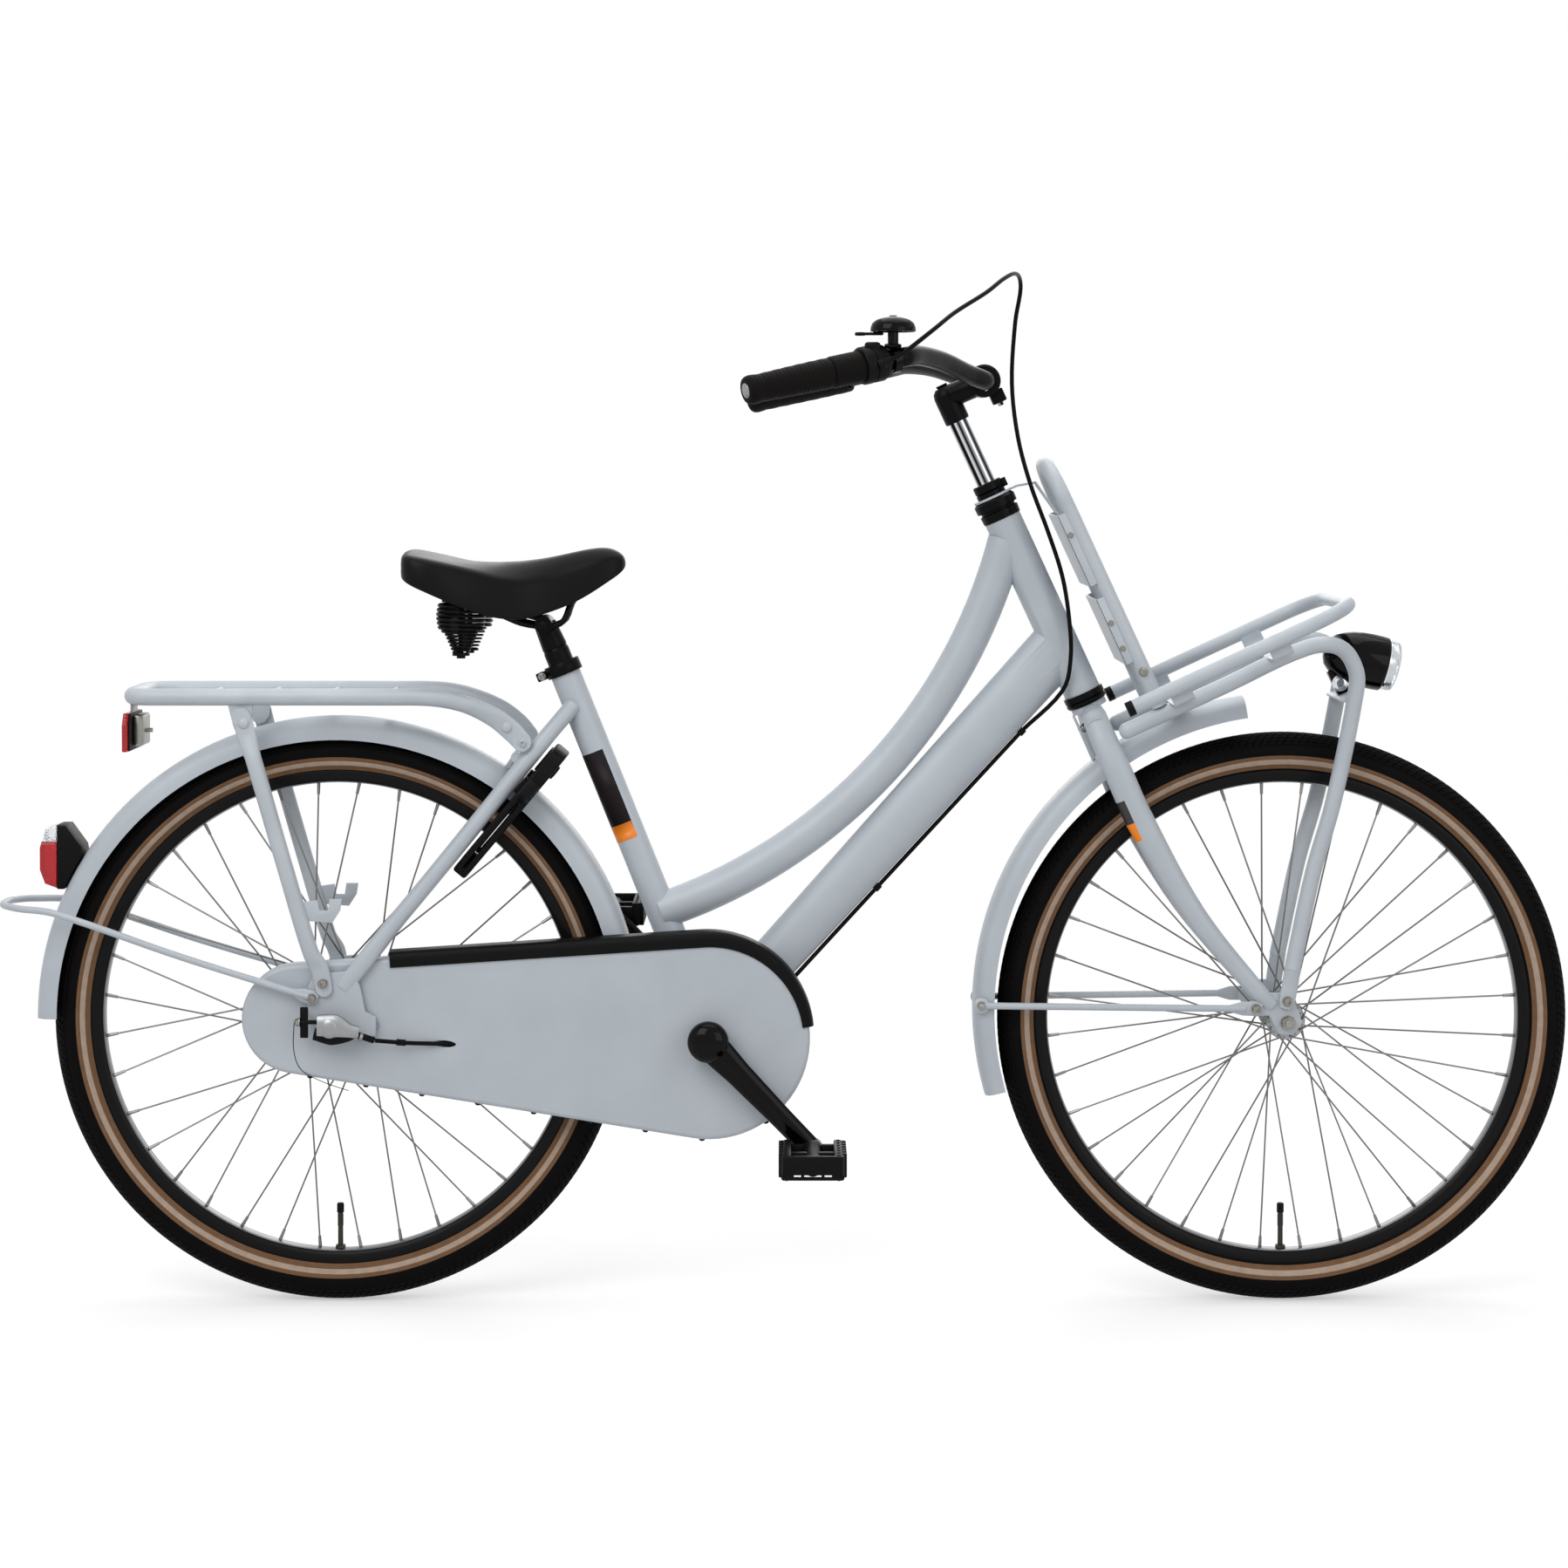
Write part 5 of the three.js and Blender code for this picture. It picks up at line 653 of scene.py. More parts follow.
class BicycleTubeSizes(bpy.types.PropertyGroup):
    """Sizes of the tubes"""
    top_tube: metres("Top tube", "Diameter of the curved top tube", 0.0427)
    seat_tube: metres("Seat tube", "Diameter of the seat tube", 0.0352)
    bar: metres("Handlebar", "Diameter of the handlebar", 0.0222)
    carrier: metres("Rear carrier", "Diameter of the rear carrier's rail", 0.0196)
    sides: bpy.props.IntProperty(name="Sides", description="Sides of the large tubes", default=32, min=12,
                                 max=64)


class BicycleLook(bpy.types.PropertyGroup):
    """Colours, as sRGB hex values"""
    paint: hex_colour("Paint", "Frame paint", "#b3bac1")
    paint_shade: hex_colour("Paint shade", "Darker patches of the paint", "#adb4bb")
    carrier: hex_colour("Carrier paint", "Paint of the carriers", "#b9c0c6")
    rubber: hex_colour("Rubber", "Tyre rubber", "#070506")
    tan: hex_colour("Tan stripe", "Tyre wall stripe", "#755841")
    ribbon: hex_colour("Ribbon", "Reflecting ribbon in the stripe", "#ae9a8a")
    orange: hex_colour("Orange block", "Colour block on the frame", "#ee8414")


# Operators, one for each group of pieces. Outlines, profiles and routes are in millimetres


class BICYCLE_OT_finishes(bpy.types.Operator):
    """Make the materials"""
    bl_idname = "bicycle.finishes"
    bl_label = "Finishes"

    def execute(self, context):
        FINISH.update(finishes(context.scene.bicycle_look))
        return {"FINISHED"}


TYRE_WALL = [(282.5, 10.8), (286.6, 13.4), (291.0, 17.8), (296.5, 21.6), (302.0, 23.7), (307.5, 24.0),
             (312.5, 22.6), (315.6, 20.6)]
TREAD = [(319.4, 17.9), (322.7, 14.3), (325.4, 9.9), (327.4, 5.0), (328.2, 0.0)]
TYRE_BORE = [(280.2, -6.0), (280.2, 6.0)]
SHOULDER_RADIUS, SHOULDER_OFF = 0.316, 0.0206
TREAD_EDGE, BLOCK_GAP = 0.3155, 0.0009
VALVE_FOOT, VALVE_TOP, VALVE_WIDE, VALVE_NARROW = 0.2785, 0.229, 6.2, 5.8
THREADS, THREAD_FIRST, THREAD_PITCH, THREAD_WIDE = 9, 0.003, 0.0016, 6.9
VALVE_NUT = (0.2706, 0.2672, 13, 12)
VALVE_CAP, CAP_OVERLAP = [(0, 11.5), (3.4, 11.0), (4.1, 9.5), (4.1, 0), (0, 0)], 0.0005


class BICYCLE_OT_tyres(bpy.types.Operator):
    """Turn both tyres, cut their tread and put in the valves"""
    bl_idname = "bicycle.tyres"
    bl_label = "Tyres"

    def execute(self, context):
        sizes = context.scene.bicycle_wheels
        half = TYRE_WALL + TREAD
        for place, axle in WHEELS.items():
            centre = at(*axle)
            bm = bmesh.new()
            turn(bm, half + mirrored(half[:-1]) + TYRE_BORE, centre, Y, sizes.blocks, closed=True)
            bmesh.ops.remove_doubles(bm, verts=bm.verts, dist=SAME)
            # The crown's vertices are led round by two blocks, which makes the blocks chevrons
            for vert in bm.verts:
                off = vert.co - centre
                if math.hypot(off.x, off.z) > SHOULDER_RADIUS:
                    lead = (1 - abs(off.y) / SHOULDER_OFF) * 2 * math.tau / sizes.blocks
                    vert.co = centre + Matrix.Rotation(lead, 3, "Y") @ off
            tread = [f for f in bm.faces if math.hypot(*(f.calc_center_median() - centre).xz) > TREAD_EDGE]
            bmesh.ops.inset_individual(bm, faces=tread, thickness=BLOCK_GAP, depth=sizes.groove,
                                       use_even_offset=True)
            settle(bm, f"{place}_tyre_tread", f"{place}_rubber", f"{place}_wheel",
                   f"{place}_tyre", 50)
            bm = bmesh.new()
            top = centre - Z * VALVE_TOP
            rod(bm, centre - Z * VALVE_FOOT, top, VALVE_WIDE, VALVE_NARROW)
            for step in range(THREADS):
                ring = top - Z * (THREAD_FIRST + step * THREAD_PITCH)
                rod(bm, ring, ring + Z * THREAD_PITCH / 2, THREAD_WIDE)
            low, high, wide, narrow = VALVE_NUT
            rod(bm, centre - Z * low, centre - Z * high, wide, narrow, 6)
            mark(bm, 0)
            turn(bm, VALVE_CAP, top - Z * CAP_OVERLAP, Z, 20)
            mark(bm, 1)
            settle(bm, f"{place}_valve", "dark abs", f"{place}_wheel")
        return {"FINISHED"}


RIM_HALF = [(270.8, 0.0), (271.0, 4.5), (271.6, 7.4), (273.4, 10.0), (276.6, 11.7), (281.0, 12.4),
            (285.4, 12.7), (286.4, 12.2), (286.4, 11.4), (279.6, 11.0), (278.6, 6.0), (278.4, 0.0)]


class BICYCLE_OT_rims(bpy.types.Operator):
    """Turn both rims"""
    bl_idname = "bicycle.rims"
    bl_label = "Rims"

    def execute(self, context):
        for place, axle in WHEELS.items():
            bm = bmesh.new()
            turn(bm, RIM_HALF + mirrored(RIM_HALF[1:-1]), at(*axle), Y, 160, closed=True)
            settle(bm, f"{place}_rim_turned", f"{place}_rim", f"{place}_wheel",
                   f"{place}_rim", 50)
        return {"FINISHED"}


# Flange diameter, hole circle, span, barrel and cap diameters and the cap's reach of each hub
HUBS = {"front": (45, 38.6, 70, 27, 24, 45), "rear": (84, 74, 56, 62, 44, 38)}
FLANGE_HALF, AXLE_ROOM, HUB_EASE = 1.5, 5.3, 0.8
SPOKES_A_SIDE, HOLE_STEP, FIRST_HOLE, CROSSING = 18, 20, 5, 60
SPOKE_END, SPOKE_BESIDE, SPOKE_HEAD = 270.6, 3.0, 2.2
NIPPLE = (0.013, 4.2, 3.4, 8)
NIPPLE_OVERLAP, ELBOW = 0.012, 0.003


def lace(bm, centre, flange, holes, reach, wire):
    """Tangential spokes, three crossings: trailing ones outside each flange, leading ones inside."""
    for side in (-1, 1):
        for i in range(SPOKES_A_SIDE):
            trailing = i % 2 == 0
            turned = i * HOLE_STEP + (HOLE_STEP / 2 if side > 0 else 0) + FIRST_HOLE
            hole = circle(holes / 2, turned)
            end = circle(SPOKE_END, turned + (CROSSING if trailing else -CROSSING))
            along = hole.dot((end - hole).normalized())
            out = math.sqrt((flange / 2) ** 2 - (holes / 2) ** 2 + along ** 2) - along
            lift = SPOKE_BESIDE + reach * out / (end - hole).length if trailing else -SPOKE_BESIDE
            hub_end = centre + (hole + Y * side * (reach + lift)) * MM
            head = centre + (hole + Y * side * (reach - (SPOKE_HEAD if trailing else -SPOKE_HEAD))) * MM
            rim_end = centre + end * MM
            pull = (hub_end - rim_end).normalized()
            long, wide, narrow, sides = NIPPLE
            rod(bm, rim_end, rim_end + pull * long, wide, narrow, sides)
            mark(bm, 1)
            sweep(bm, [rim_end + pull * NIPPLE_OVERLAP, hub_end - pull * ELBOW, hub_end, head],
                  [(wire / 2 / MM, wire / 2 / MM)] * 4, sides)
            mark(bm, 0)


class BICYCLE_OT_spokes(bpy.types.Operator):
    """Turn the hubs and lace the spokes"""
    bl_idname = "bicycle.spokes"
    bl_label = "Hubs and spokes"

    def execute(self, context):
        for place, axle in WHEELS.items():
            flange, holes, span_y, barrel, cap, reach = HUBS[place]
            bm = bmesh.new()
            lace(bm, at(*axle), flange, holes, span_y / 2, context.scene.bicycle_wheels.spoke)
            near, far = span_y / 2 - FLANGE_HALF, span_y / 2 + FLANGE_HALF
            rim, core = flange / 2, barrel / 2
            half = [(AXLE_ROOM, reach), (cap / 2 - 1, reach), (cap / 2, reach - 1), (cap / 2, far + 1),
                    (cap / 2 + 2, far), (rim - HUB_EASE, far), (rim, far - HUB_EASE), (rim, near + HUB_EASE),
                    (rim - HUB_EASE, near), (core + 3, near), (core, near - 3)]
            turn(bm, half + mirrored(half), at(*axle), Y, 56, closed=True)
            mark(bm, 2)
            settle(bm, f"{place}_hub_laced", "spoke nickel cast", f"{place}_wheel",
                   f"{place}_hub_and_spokes")
        return {"FINISHED"}


ARC_FROM, ARC_TO, ARC_RADIUS, ARC_STEPS = 150, (-6, 0, 212), 0.6156, 36
HEAD_TUBE = (221, 43, 34.5)
SEAT_TUBE_LONG, POST_ROOM = 446, 31
SHELL_FROM, SHELL = -34, (68, 42, 28)
DOWN_TUBE_TOP, DOWN_TUBE_SIZES = (0, 0, 76), [(21, 26.5), (21, 29.75), (20, 33)]
SEAT_STAY = [(272, 14, 361), (240, 36, 323), (205, 45, 280), (115, 55, 169), (62, 61, 105), (36, 67.2, 72),
             (12, 67.2, 42)]
SEAT_STAY_SIZES = [(9.5, 9.5), (9.5, 9.5), (9.5, 9.5), (9.5, 9.5), (8.6, 9.5), (4.6, 10), (4.6, 9.5)]
CHAIN_STAY = [(422.7, 22, -16.5), (315, 36, -12), (170, 44, -8), (85, 48, -5), (50, 54.5, -3), (34, 61, -2)]
CHAIN_STAY_SIZES = [(8.5, 9), (8.5, 9), (8.5, 9), (8, 9), (6, 8), (4.5, 7)]
DROPOUT = [(-19, -14), (-29, 26), (-30, 38), (-20, 58), (2, 60), (24, 62), (32, 44), (38, 15), (50, 9),
           (50, -12), (22, -18), (4, -21)]
DROPOUT_INNER, END_THICK, END_EASE = 65.3, 5, 0.8
BRIDGES, BRIDGE_WIDE = [(208, 44, 303), (342, 34, -12)], 12
STEERER_ROOM, POST_FROM, POST_TO, SHELL_ROOM, AXLE_WIDE = (9, 242), 284, 452, 40, 10.1
# The seat tube's colour blocks: from and to along the tube, and their finish
SEAT_BLOCKS = [(261.5, 350.5, 0), (242, 261.5, 1)]
SEAT_BLOCK_FROM, SEAT_BLOCK_TURN, FOIL = -63, -132, 0.0002


def head_arc():
    """The curved top tube's middle line, bulging down and forwards."""
    low, high = seat(ARC_FROM), steer(*ARC_TO)
    chord = high - low
    off = Vector((-chord.z, 0, chord.x)).normalized() * math.sqrt(ARC_RADIUS ** 2 - (chord.length / 2) ** 2)
    centre = (low + high) / 2 + off
    first, last = (math.degrees(math.atan2(p.z - centre.z, p.x - centre.x)) for p in (low, high))
    return [centre + circle(ARC_RADIUS, first + (last - first) * i / ARC_STEPS) for i in range(ARC_STEPS + 1)]


class BICYCLE_OT_frame(bpy.types.Operator):
    """Build the frame from round tubes, with its colour blocks"""
    bl_idname = "bicycle.frame"
    bl_label = "Frame"

    def execute(self, context):
        sizes = context.scene.bicycle_tubes
        bm = bmesh.new()
        pipe(bm, steer(0, 0, 15), UP_HEAD, *HEAD_TUBE)
        arc = head_arc()
        sweep(bm, arc, [(sizes.top_tube / 2 / MM,) * 2] * len(arc), sizes.sides)
        high = steer(*DOWN_TUBE_TOP)
        limb(bm, [BRACKET_AT, (BRACKET_AT + high) / 2, high], DOWN_TUBE_SIZES, 4, sizes.sides)
        pipe(bm, BRACKET_AT, UP_SEAT, SEAT_TUBE_LONG, sizes.seat_tube / MM, POST_ROOM)
        pipe(bm, BRACKET_AT + Y * SHELL_FROM * MM, Y, *SHELL)
        limbs(bm, [rear(*p) for p in SEAT_STAY], SEAT_STAY_SIZES, 5, 20)
        limbs(bm, [rear(*p) for p in CHAIN_STAY], CHAIN_STAY_SIZES, 5, 20)
        outline = [(REAR_AXLE[0] + x, REAR_AXLE[2] + z) for x, z in DROPOUT]
        for side in (-1, 1):
            plate(bm, outline, side * DROPOUT_INNER, side * (DROPOUT_INNER + END_THICK), END_EASE)
        for x, y, z in BRIDGES:
            rod(bm, rear(x, -y, z), rear(x, y, z), BRIDGE_WIDE)
        piece = settle(bm, "frame_tubes", "paint", "frame", "frame")
        # The steerer's, post's and axle's rooms, which pass through the tubes' ends
        low, high = STEERER_ROOM
        off = Y * SHELL_ROOM * MM
        carve(piece,
              lambda b: rod(b, steer(0, 0, low), steer(0, 0, high), HEAD_TUBE[2], sides=40),
              lambda b: rod(b, seat(POST_FROM), seat(POST_TO), POST_ROOM, sides=40),
              lambda b: rod(b, BRACKET_AT - off, BRACKET_AT + off, SHELL[2]),
              lambda b: rod(b, REAR_AT - off * 2, REAR_AT + off * 2, AXLE_WIDE))
        bm = bmesh.new()
        for from_at, to_at, index in SEAT_BLOCKS:
            foot = seat(from_at)
            ahead = Y.cross(UP_SEAT).normalized() * (sizes.seat_tube / 2 + FOIL * 1.5)
            first = foot + Matrix.Rotation(math.radians(SEAT_BLOCK_FROM), 3, UP_SEAT) @ ahead
            ends = [bm.verts.new(first), bm.verts.new(first + UP_SEAT * (to_at - from_at) * MM)]
            bmesh.ops.spin(bm, geom=[*ends, bm.edges.new(ends)], cent=foot, axis=UP_SEAT, dvec=(0, 0, 0),
                           angle=math.radians(SEAT_BLOCK_TURN), steps=24, use_duplicate=False)
            mark(bm, index)
        bmesh.ops.recalc_face_normals(bm, faces=bm.faces)
        bmesh.ops.solidify(bm, geom=list(bm.faces), thickness=FOIL)
        settle(bm, "seat_tube_blocks", "stripe orange", "frame")
        return {"FINISHED"}


STEERER_FROM, STEERER = -6, (287, 28.6, 22.8)
CROWN_RACE = [(11.4, -6), (21, -6), (21, 0.5), (11.4, 0.5)]
FORK_CROWN, FORK_CROWN_WIDE = [(-3, -42.5, -26), (-1, -26.6, -15), (0, 0, -12)], 27
BLADE = [(-1, 32.5, -12), (-3, 50.2, -38), (-4, 59, -78), (-4.8, 59, -140), (7.2, 58, -265), (36.8, 55, -378),
         (45, 53, -398)]
BLADE_SIZES = [(11, 14), (11, 15), (11, 16), (11, 16.5), (10, 13), (7, 10), (5, 9)]
FORK_END = [(24, -386), (18, -392), (20, -400), (36, -406), (38, -430), (52, -438), (67, -430), (70, -402),
            (64, -391), (50, -384)]
FORK_END_INNER = 50.3
LOWER_CUP = [(14.8, 1), (22.5, 1), (24, 3), (24, 6), (23, 7), (24, 8), (24, 14.7), (16.6, 14.7), (16.6, 24),
             (14.8, 24)]
UPPER_CUP = [(14.8, 227), (16.6, 227), (16.6, 236.3), (22.6, 236.3), (23.2, 246), (20.8, 247), (20.8, 249),
             (24.6, 250), (24.9, 259), (22, 262), (14.8, 262)]
LOCKNUT = [(14.6, 265.1), (17.2, 265.1), (17.2, 270), (16, 271), (17.2, 272), (17.2, 280), (16, 281),
           (14.6, 281)]
LOCKNUT_TAB = (16, -5, 268.8), (22.2, 5, 279)
CROWN_BOLT_AT, CROWN_NUT_AT = (-16.5, 0, -24), (-14, 0, -24)


class BICYCLE_OT_fork(bpy.types.Operator):
    """Build the fork and the headset's rings"""
    bl_idname = "bicycle.fork"
    bl_label = "Fork and headset"

    def execute(self, context):
        bm = bmesh.new()
        pipe(bm, steer(0, 0, STEERER_FROM), UP_HEAD, *STEERER, 32)
        turn(bm, CROWN_RACE, CROWN_AT, UP_HEAD, 40, closed=True)
        tube(bm, hoop([steer(*p) for p in FORK_CROWN]), FORK_CROWN_WIDE, 6, 24)
        limbs(bm, [steer(*p) for p in BLADE], BLADE_SIZES, 6, 24)
        for side in (-1, 1):
            plate(bm, FORK_END, side * FORK_END_INNER, side * (FORK_END_INNER + END_THICK), END_EASE,
                  STEER_PLACE)
        piece = settle(bm, "fork_blades", "fork", "steering", "fork")
        off = Y * SHELL_ROOM * 2 * MM
        carve(piece, lambda b: rod(b, FRONT_AT - off, FRONT_AT + off, AXLE_WIDE))
        for place, profile in (("lower", LOWER_CUP), ("upper", UPPER_CUP)):
            bm = bmesh.new()
            turn(bm, profile, CROWN_AT, UP_HEAD, 48, closed=True)
            settle(bm, f"{place}_cup_turned", "satin", "frame", f"{place}_headset_cup", 30)
        bm = bmesh.new()
        turn(bm, LOCKNUT, CROWN_AT, UP_HEAD, 40, closed=True)
        block(bm, *LOCKNUT_TAB, 0.8, STEER_PLACE)
        settle(bm, "locknut_turned", "satin", "steering", "headset_locknut", 30)
        # The bolt that holds the mudguard to the crown
        bm = bmesh.new()
        socket_bolt(bm, steer(*CROWN_BOLT_AT), -AHEAD, 8, 6)
        nut(bm, steer(*CROWN_NUT_AT), -AHEAD, 9, 4)
        settle(bm, "crown_bolt", "zinc", "steering")
        return {"FINISHED"}


QUILL_FROM, QUILL_TO, QUILL_WIDE = 217, 363, 22.2
STEM_BODY = [(11.2, 359), (13.6, 359), (14.5, 361), (14.5, 392), (13, 398), (9, 402), (0, 403)]
STEM_CAP = [(0, 402), (5, 402), (6.6, 403.5), (6.6, 405.5), (3.4, 405.5), (3.4, 403.4), (0, 403.4)]
STEM_ARM, STEM_ARM_SIZES = [(0, 0, 389), (18, 0, 389), (33.6, 0, 389)], [(14.5, 14.5), (13.5, 13.5), (15, 14)]
STEM_CLAMP_AT = (46, 0, 389)
STEM_CLAMP = [(11.7, -23), (17, -23), (19, -21), (19, 21), (17, 23), (11.7, 23)]
STEM_LUG, STEM_BOLT_AT = ((45, -9.2, 358.6), (62, 9.2, 374)), (53.5, 0, 358.8)
BAR_HALF = [(0, 0, 0), (0, -27.6, 0), (-2, -41.4, 0.4), (-22, -70, 7), (-53, -125, 19.2), (-82, -183, 24)]
BAR_ON_GRIP_LINE = (193, 184, 165, 82, 0)
GRIP_LONG = {"right": 98, "left": 132}
GRIP_NOSE = [(0, -4.4), (11.5, -4.4), (13.9, -3.6), (15.3, -1.4), (16, 2.5), (15.7, 7), (15, 13)]
GRIP_STEPS, GRIP_BORE, GRIP_RADIUS, GRIP_SWELL, GRIP_RIB, GRIP_RIBS = 30, 12.27, 15, 1.6, 0.35, 24
GRIP_PLUG = [(0, -5.0), (7.5, -5.0), (8.4, -4.4), (8.4, -4.0), (0, -4.0)]
SLEEVE_IN, SLEEVE_OUT = [(12.3, 98.6), (16.6, 98.6), (17.2, 100)], [(17.4, 135.4), (12.3, 135.4)]
SLEEVE_RIBS, SLEEVE_FIRST, SLEEVE_RADIUS, SLEEVE_RIB = 17, 101, 17.2, 0.5
SHIFTER = [(12.3, 136), (19.6, 136), (20.8, 138), (20.8, 146), (19.2, 147), (19.2, 149), (20.6, 150),
           (20.6, 160), (18.6, 164.6), (12.3, 164.6)]
SHIFTER_AT = 150.5
SHIFTER_TOP, SHIFTER_WINDOW = ((-8, -11, 15), (9, 11, 23.4)), ((-5, -8, 23.2), (6, 8, 23.8))
CABLE_STOP = [(0, 0), (6.4, 0), (6.4, 6), (5, 8), (5, 13), (4, 16), (0, 16)]
CABLE_STOP_AT, CABLE_WAY = grip_line(SHIFTER_AT) + at(7, -14.7, -2), Vector((0.88, 0.1, 0.45)).normalized()
BELL_AT = grip_line(177)
BELL_RING = [(12.3, -4.2), (15.2, -4.2), (15.2, 4.2), (12.3, 4.2)]
BELL_POST, BELL_POST_WIDE = (0.0135, 0.032), 12
BELL_DOME = [(0, 33.5), (22.8, 33.5), (22.8, 30), (25, 30), (25.2, 31), (25, 34.5), (23.6, 39), (20, 43),
             (13, 45.8), (5, 46.9), (4, 48), (0, 48.3)]
BELL_BASE, BELL_LEVER = ((-10, -9, 12), (9, 9, 17)), ((-37.5, -4, 26.3), (-10.5, 4, 29.5))
BELL_PAD, BELL_PAD_AT = [(0, 29.9), (5, 29.6), (6, 28), (5.4, 25.9), (0, 25.6)], BELL_AT - X * 0.036


class BICYCLE_OT_cockpit(bpy.types.Operator):
    """Build the stem, handlebar, grips, shifter and bell"""
    bl_idname = "bicycle.cockpit"
    bl_label = "Stem and handlebar"

    def execute(self, context):
        bm = bmesh.new()
        rod(bm, steer(0, 0, QUILL_FROM), steer(0, 0, QUILL_TO), QUILL_WIDE, sides=40)
        mark(bm, 1)
        turn(bm, STEM_BODY, CROWN_AT, UP_HEAD, 40)
        turn(bm, STEM_CAP, CROWN_AT, UP_HEAD, 24)
        limb(bm, [steer(*p) for p in STEM_ARM], STEM_ARM_SIZES, 4, 28)
        turn(bm, STEM_CLAMP, steer(*STEM_CLAMP_AT), Y, 44, closed=True)
        block(bm, *STEM_LUG, 1.5, STEER_PLACE)
        mark(bm, 0)
        socket_bolt(bm, steer(*STEM_BOLT_AT), -UP_HEAD, 7, 4)
        mark(bm, 1)
        settle(bm, "stem_forged", "satin quill", "steering", "stem")

        bm = bmesh.new()
        half = [cockpit(*p) for p in BAR_HALF] + [grip_line(d) for d in BAR_ON_GRIP_LINE]
        tube(bm, hoop(other_side(half)[::-1]), context.scene.bicycle_tubes.bar / MM, 6, 28)
        settle(bm, "handlebar_bent", "satin", "steering", "handlebar")

        for name, side in SIDES.items():
            bm = bmesh.new()
            way = Vector((GRIP_WAY.x, GRIP_WAY.y * -side, GRIP_WAY.z))
            tip = cockpit(GRIP_TIP[0], GRIP_TIP[1] * -side, GRIP_TIP[2])
            long, profile = GRIP_LONG[name], list(GRIP_NOSE)
            for i in range(GRIP_STEPS + 1):
                turned = i / GRIP_STEPS * math.pi
                swell = GRIP_SWELL * math.sin(turned / 2) + GRIP_RIB * math.sin(turned * GRIP_RIBS) ** 2
                profile.append((GRIP_RADIUS + swell, 14 + (long - 16) * i / GRIP_STEPS))
            profile += [(16.2, long), (GRIP_BORE, long), (GRIP_BORE, -0.3), (0, -0.3)]
            turn(bm, profile, tip, -way, 44)
            mark(bm, 0)
            turn(bm, GRIP_PLUG, tip, -way, 32)
            mark(bm, 1)
            settle(bm, f"{name}_grip_moulded", "grip cast", "steering", f"{name}_grip", 60)

        bm = bmesh.new()
        ribs = [(SLEEVE_RADIUS + (SLEEVE_RIB if i % 2 else 0), SLEEVE_FIRST + i * 2)
                for i in range(SLEEVE_RIBS)]
        turn(bm, SLEEVE_IN + ribs + SLEEVE_OUT, grip_line(0), -GRIP_WAY, 48, closed=True)
        settle(bm, "twist_sleeve", "twist", "shifter_sleeve", "shifter_sleeve", 60)

        bm = bmesh.new()
        turn(bm, SHIFTER, grip_line(0), -GRIP_WAY, 48, closed=True)
        spot = Matrix.Translation(grip_line(SHIFTER_AT))
        block(bm, *SHIFTER_TOP, 2.5, spot)
        turn(bm, CABLE_STOP, CABLE_STOP_AT, CABLE_WAY, 24)
        mark(bm, 0)
        block(bm, *SHIFTER_WINDOW, 0.2, spot)
        mark(bm, 1)
        settle(bm, "shifter_moulded", "abs clear", "steering", "shifter_housing", 30)

        bm = bmesh.new()
        turn(bm, BELL_RING, BELL_AT, -GRIP_WAY, 32, closed=True)
        low, high = BELL_POST
        rod(bm, BELL_AT + Z * low, BELL_AT + Z * high, BELL_POST_WIDE)
        turn(bm, BELL_DOME, BELL_AT, Z, 56)
        block(bm, *BELL_BASE, 2, Matrix.Translation(BELL_AT))
        settle(bm, "bell_spun", "gloss", "steering", "bell_dome", 30)
        bm = bmesh.new()
        block(bm, *BELL_LEVER, 1.2, Matrix.Translation(BELL_AT))
        turn(bm, BELL_PAD, BELL_PAD_AT, Z, 24)
        settle(bm, "bell_thumb_lever", "abs", "bell_lever", "bell_lever")
        return {"FINISHED"}


# Along the saddle from nose to tail: share of the length, half width, then the depths of its
# middle, its side edge and its lower rim below the highest line
SADDLE = [(0.0, 8, 11, 14, 22), (0.03, 17, 3, 9, 31), (0.09, 24, -3, 11, 41), (0.2, 28, 1, 21, 60),
          (0.33, 33, 9, 33, 73), (0.47, 46, 14, 41, 84), (0.63, 81, 16, 25, 76), (0.77, 101, 14, 14, 60),
          (0.9, 107, 6, 7, 45), (0.97, 99, 0, 5, 37), (1.0, 82, 3, 9, 28)]
SADDLE_TOP, SADDLE_NOSE, SADDLE_LENGTH = 870.97, -183.25, 254.0
SPRING_X, SPRING_Y, SPRING_TOP = REAR_AXLE[0] + 146.7, 56, 810
# The springs: thick turns that belly out, a step in, then thin ones that narrow to the bolt
THICK_TURNS, THIN_TURNS, TURN_STEPS = 6, 7, 20
SPRING_RADIUS, SPRING_BELLY, SPRING_STEP, SPRING_CONE = 24, 2.4, 4, 12
THICK_DROP, THIN_DROP, THICK_WIRE, WIRE_STEP = 30, 28, 2.2, 0.8
# The washer and nut that close a spring's lower end, on the bolt through it
SPRING_BOLT = [(0, 746.9), (5, 746.9), (5, 750), (10, 750), (10, 752.4), (3, 752.4), (3, 812), (0, 812)]
RAIL_WIDE, CLAMP_PIN, CLAMP_HALF = 7, 20, 27
POST_END = seat(502) / MM
SADDLE_RAIL = [(SADDLE_NOSE - 22, 9, 843), (SADDLE_NOSE - 60, 14, 812), (POST_END.x + 16, 20, POST_END.z + 7),
               (POST_END.x - 22, 22, POST_END.z + 6), (SPRING_X + 40, 34, 797), (SPRING_X + 8, 44, 809)]
SPRING_BRIDGE = (SPRING_X - 20, -76, 811.7), (SPRING_X + 12, 76, 814.1)
SPRING_PEG, PEG_WIDE = ((SPRING_X, 30, 812), (SPRING_X, 30, 837)), 12
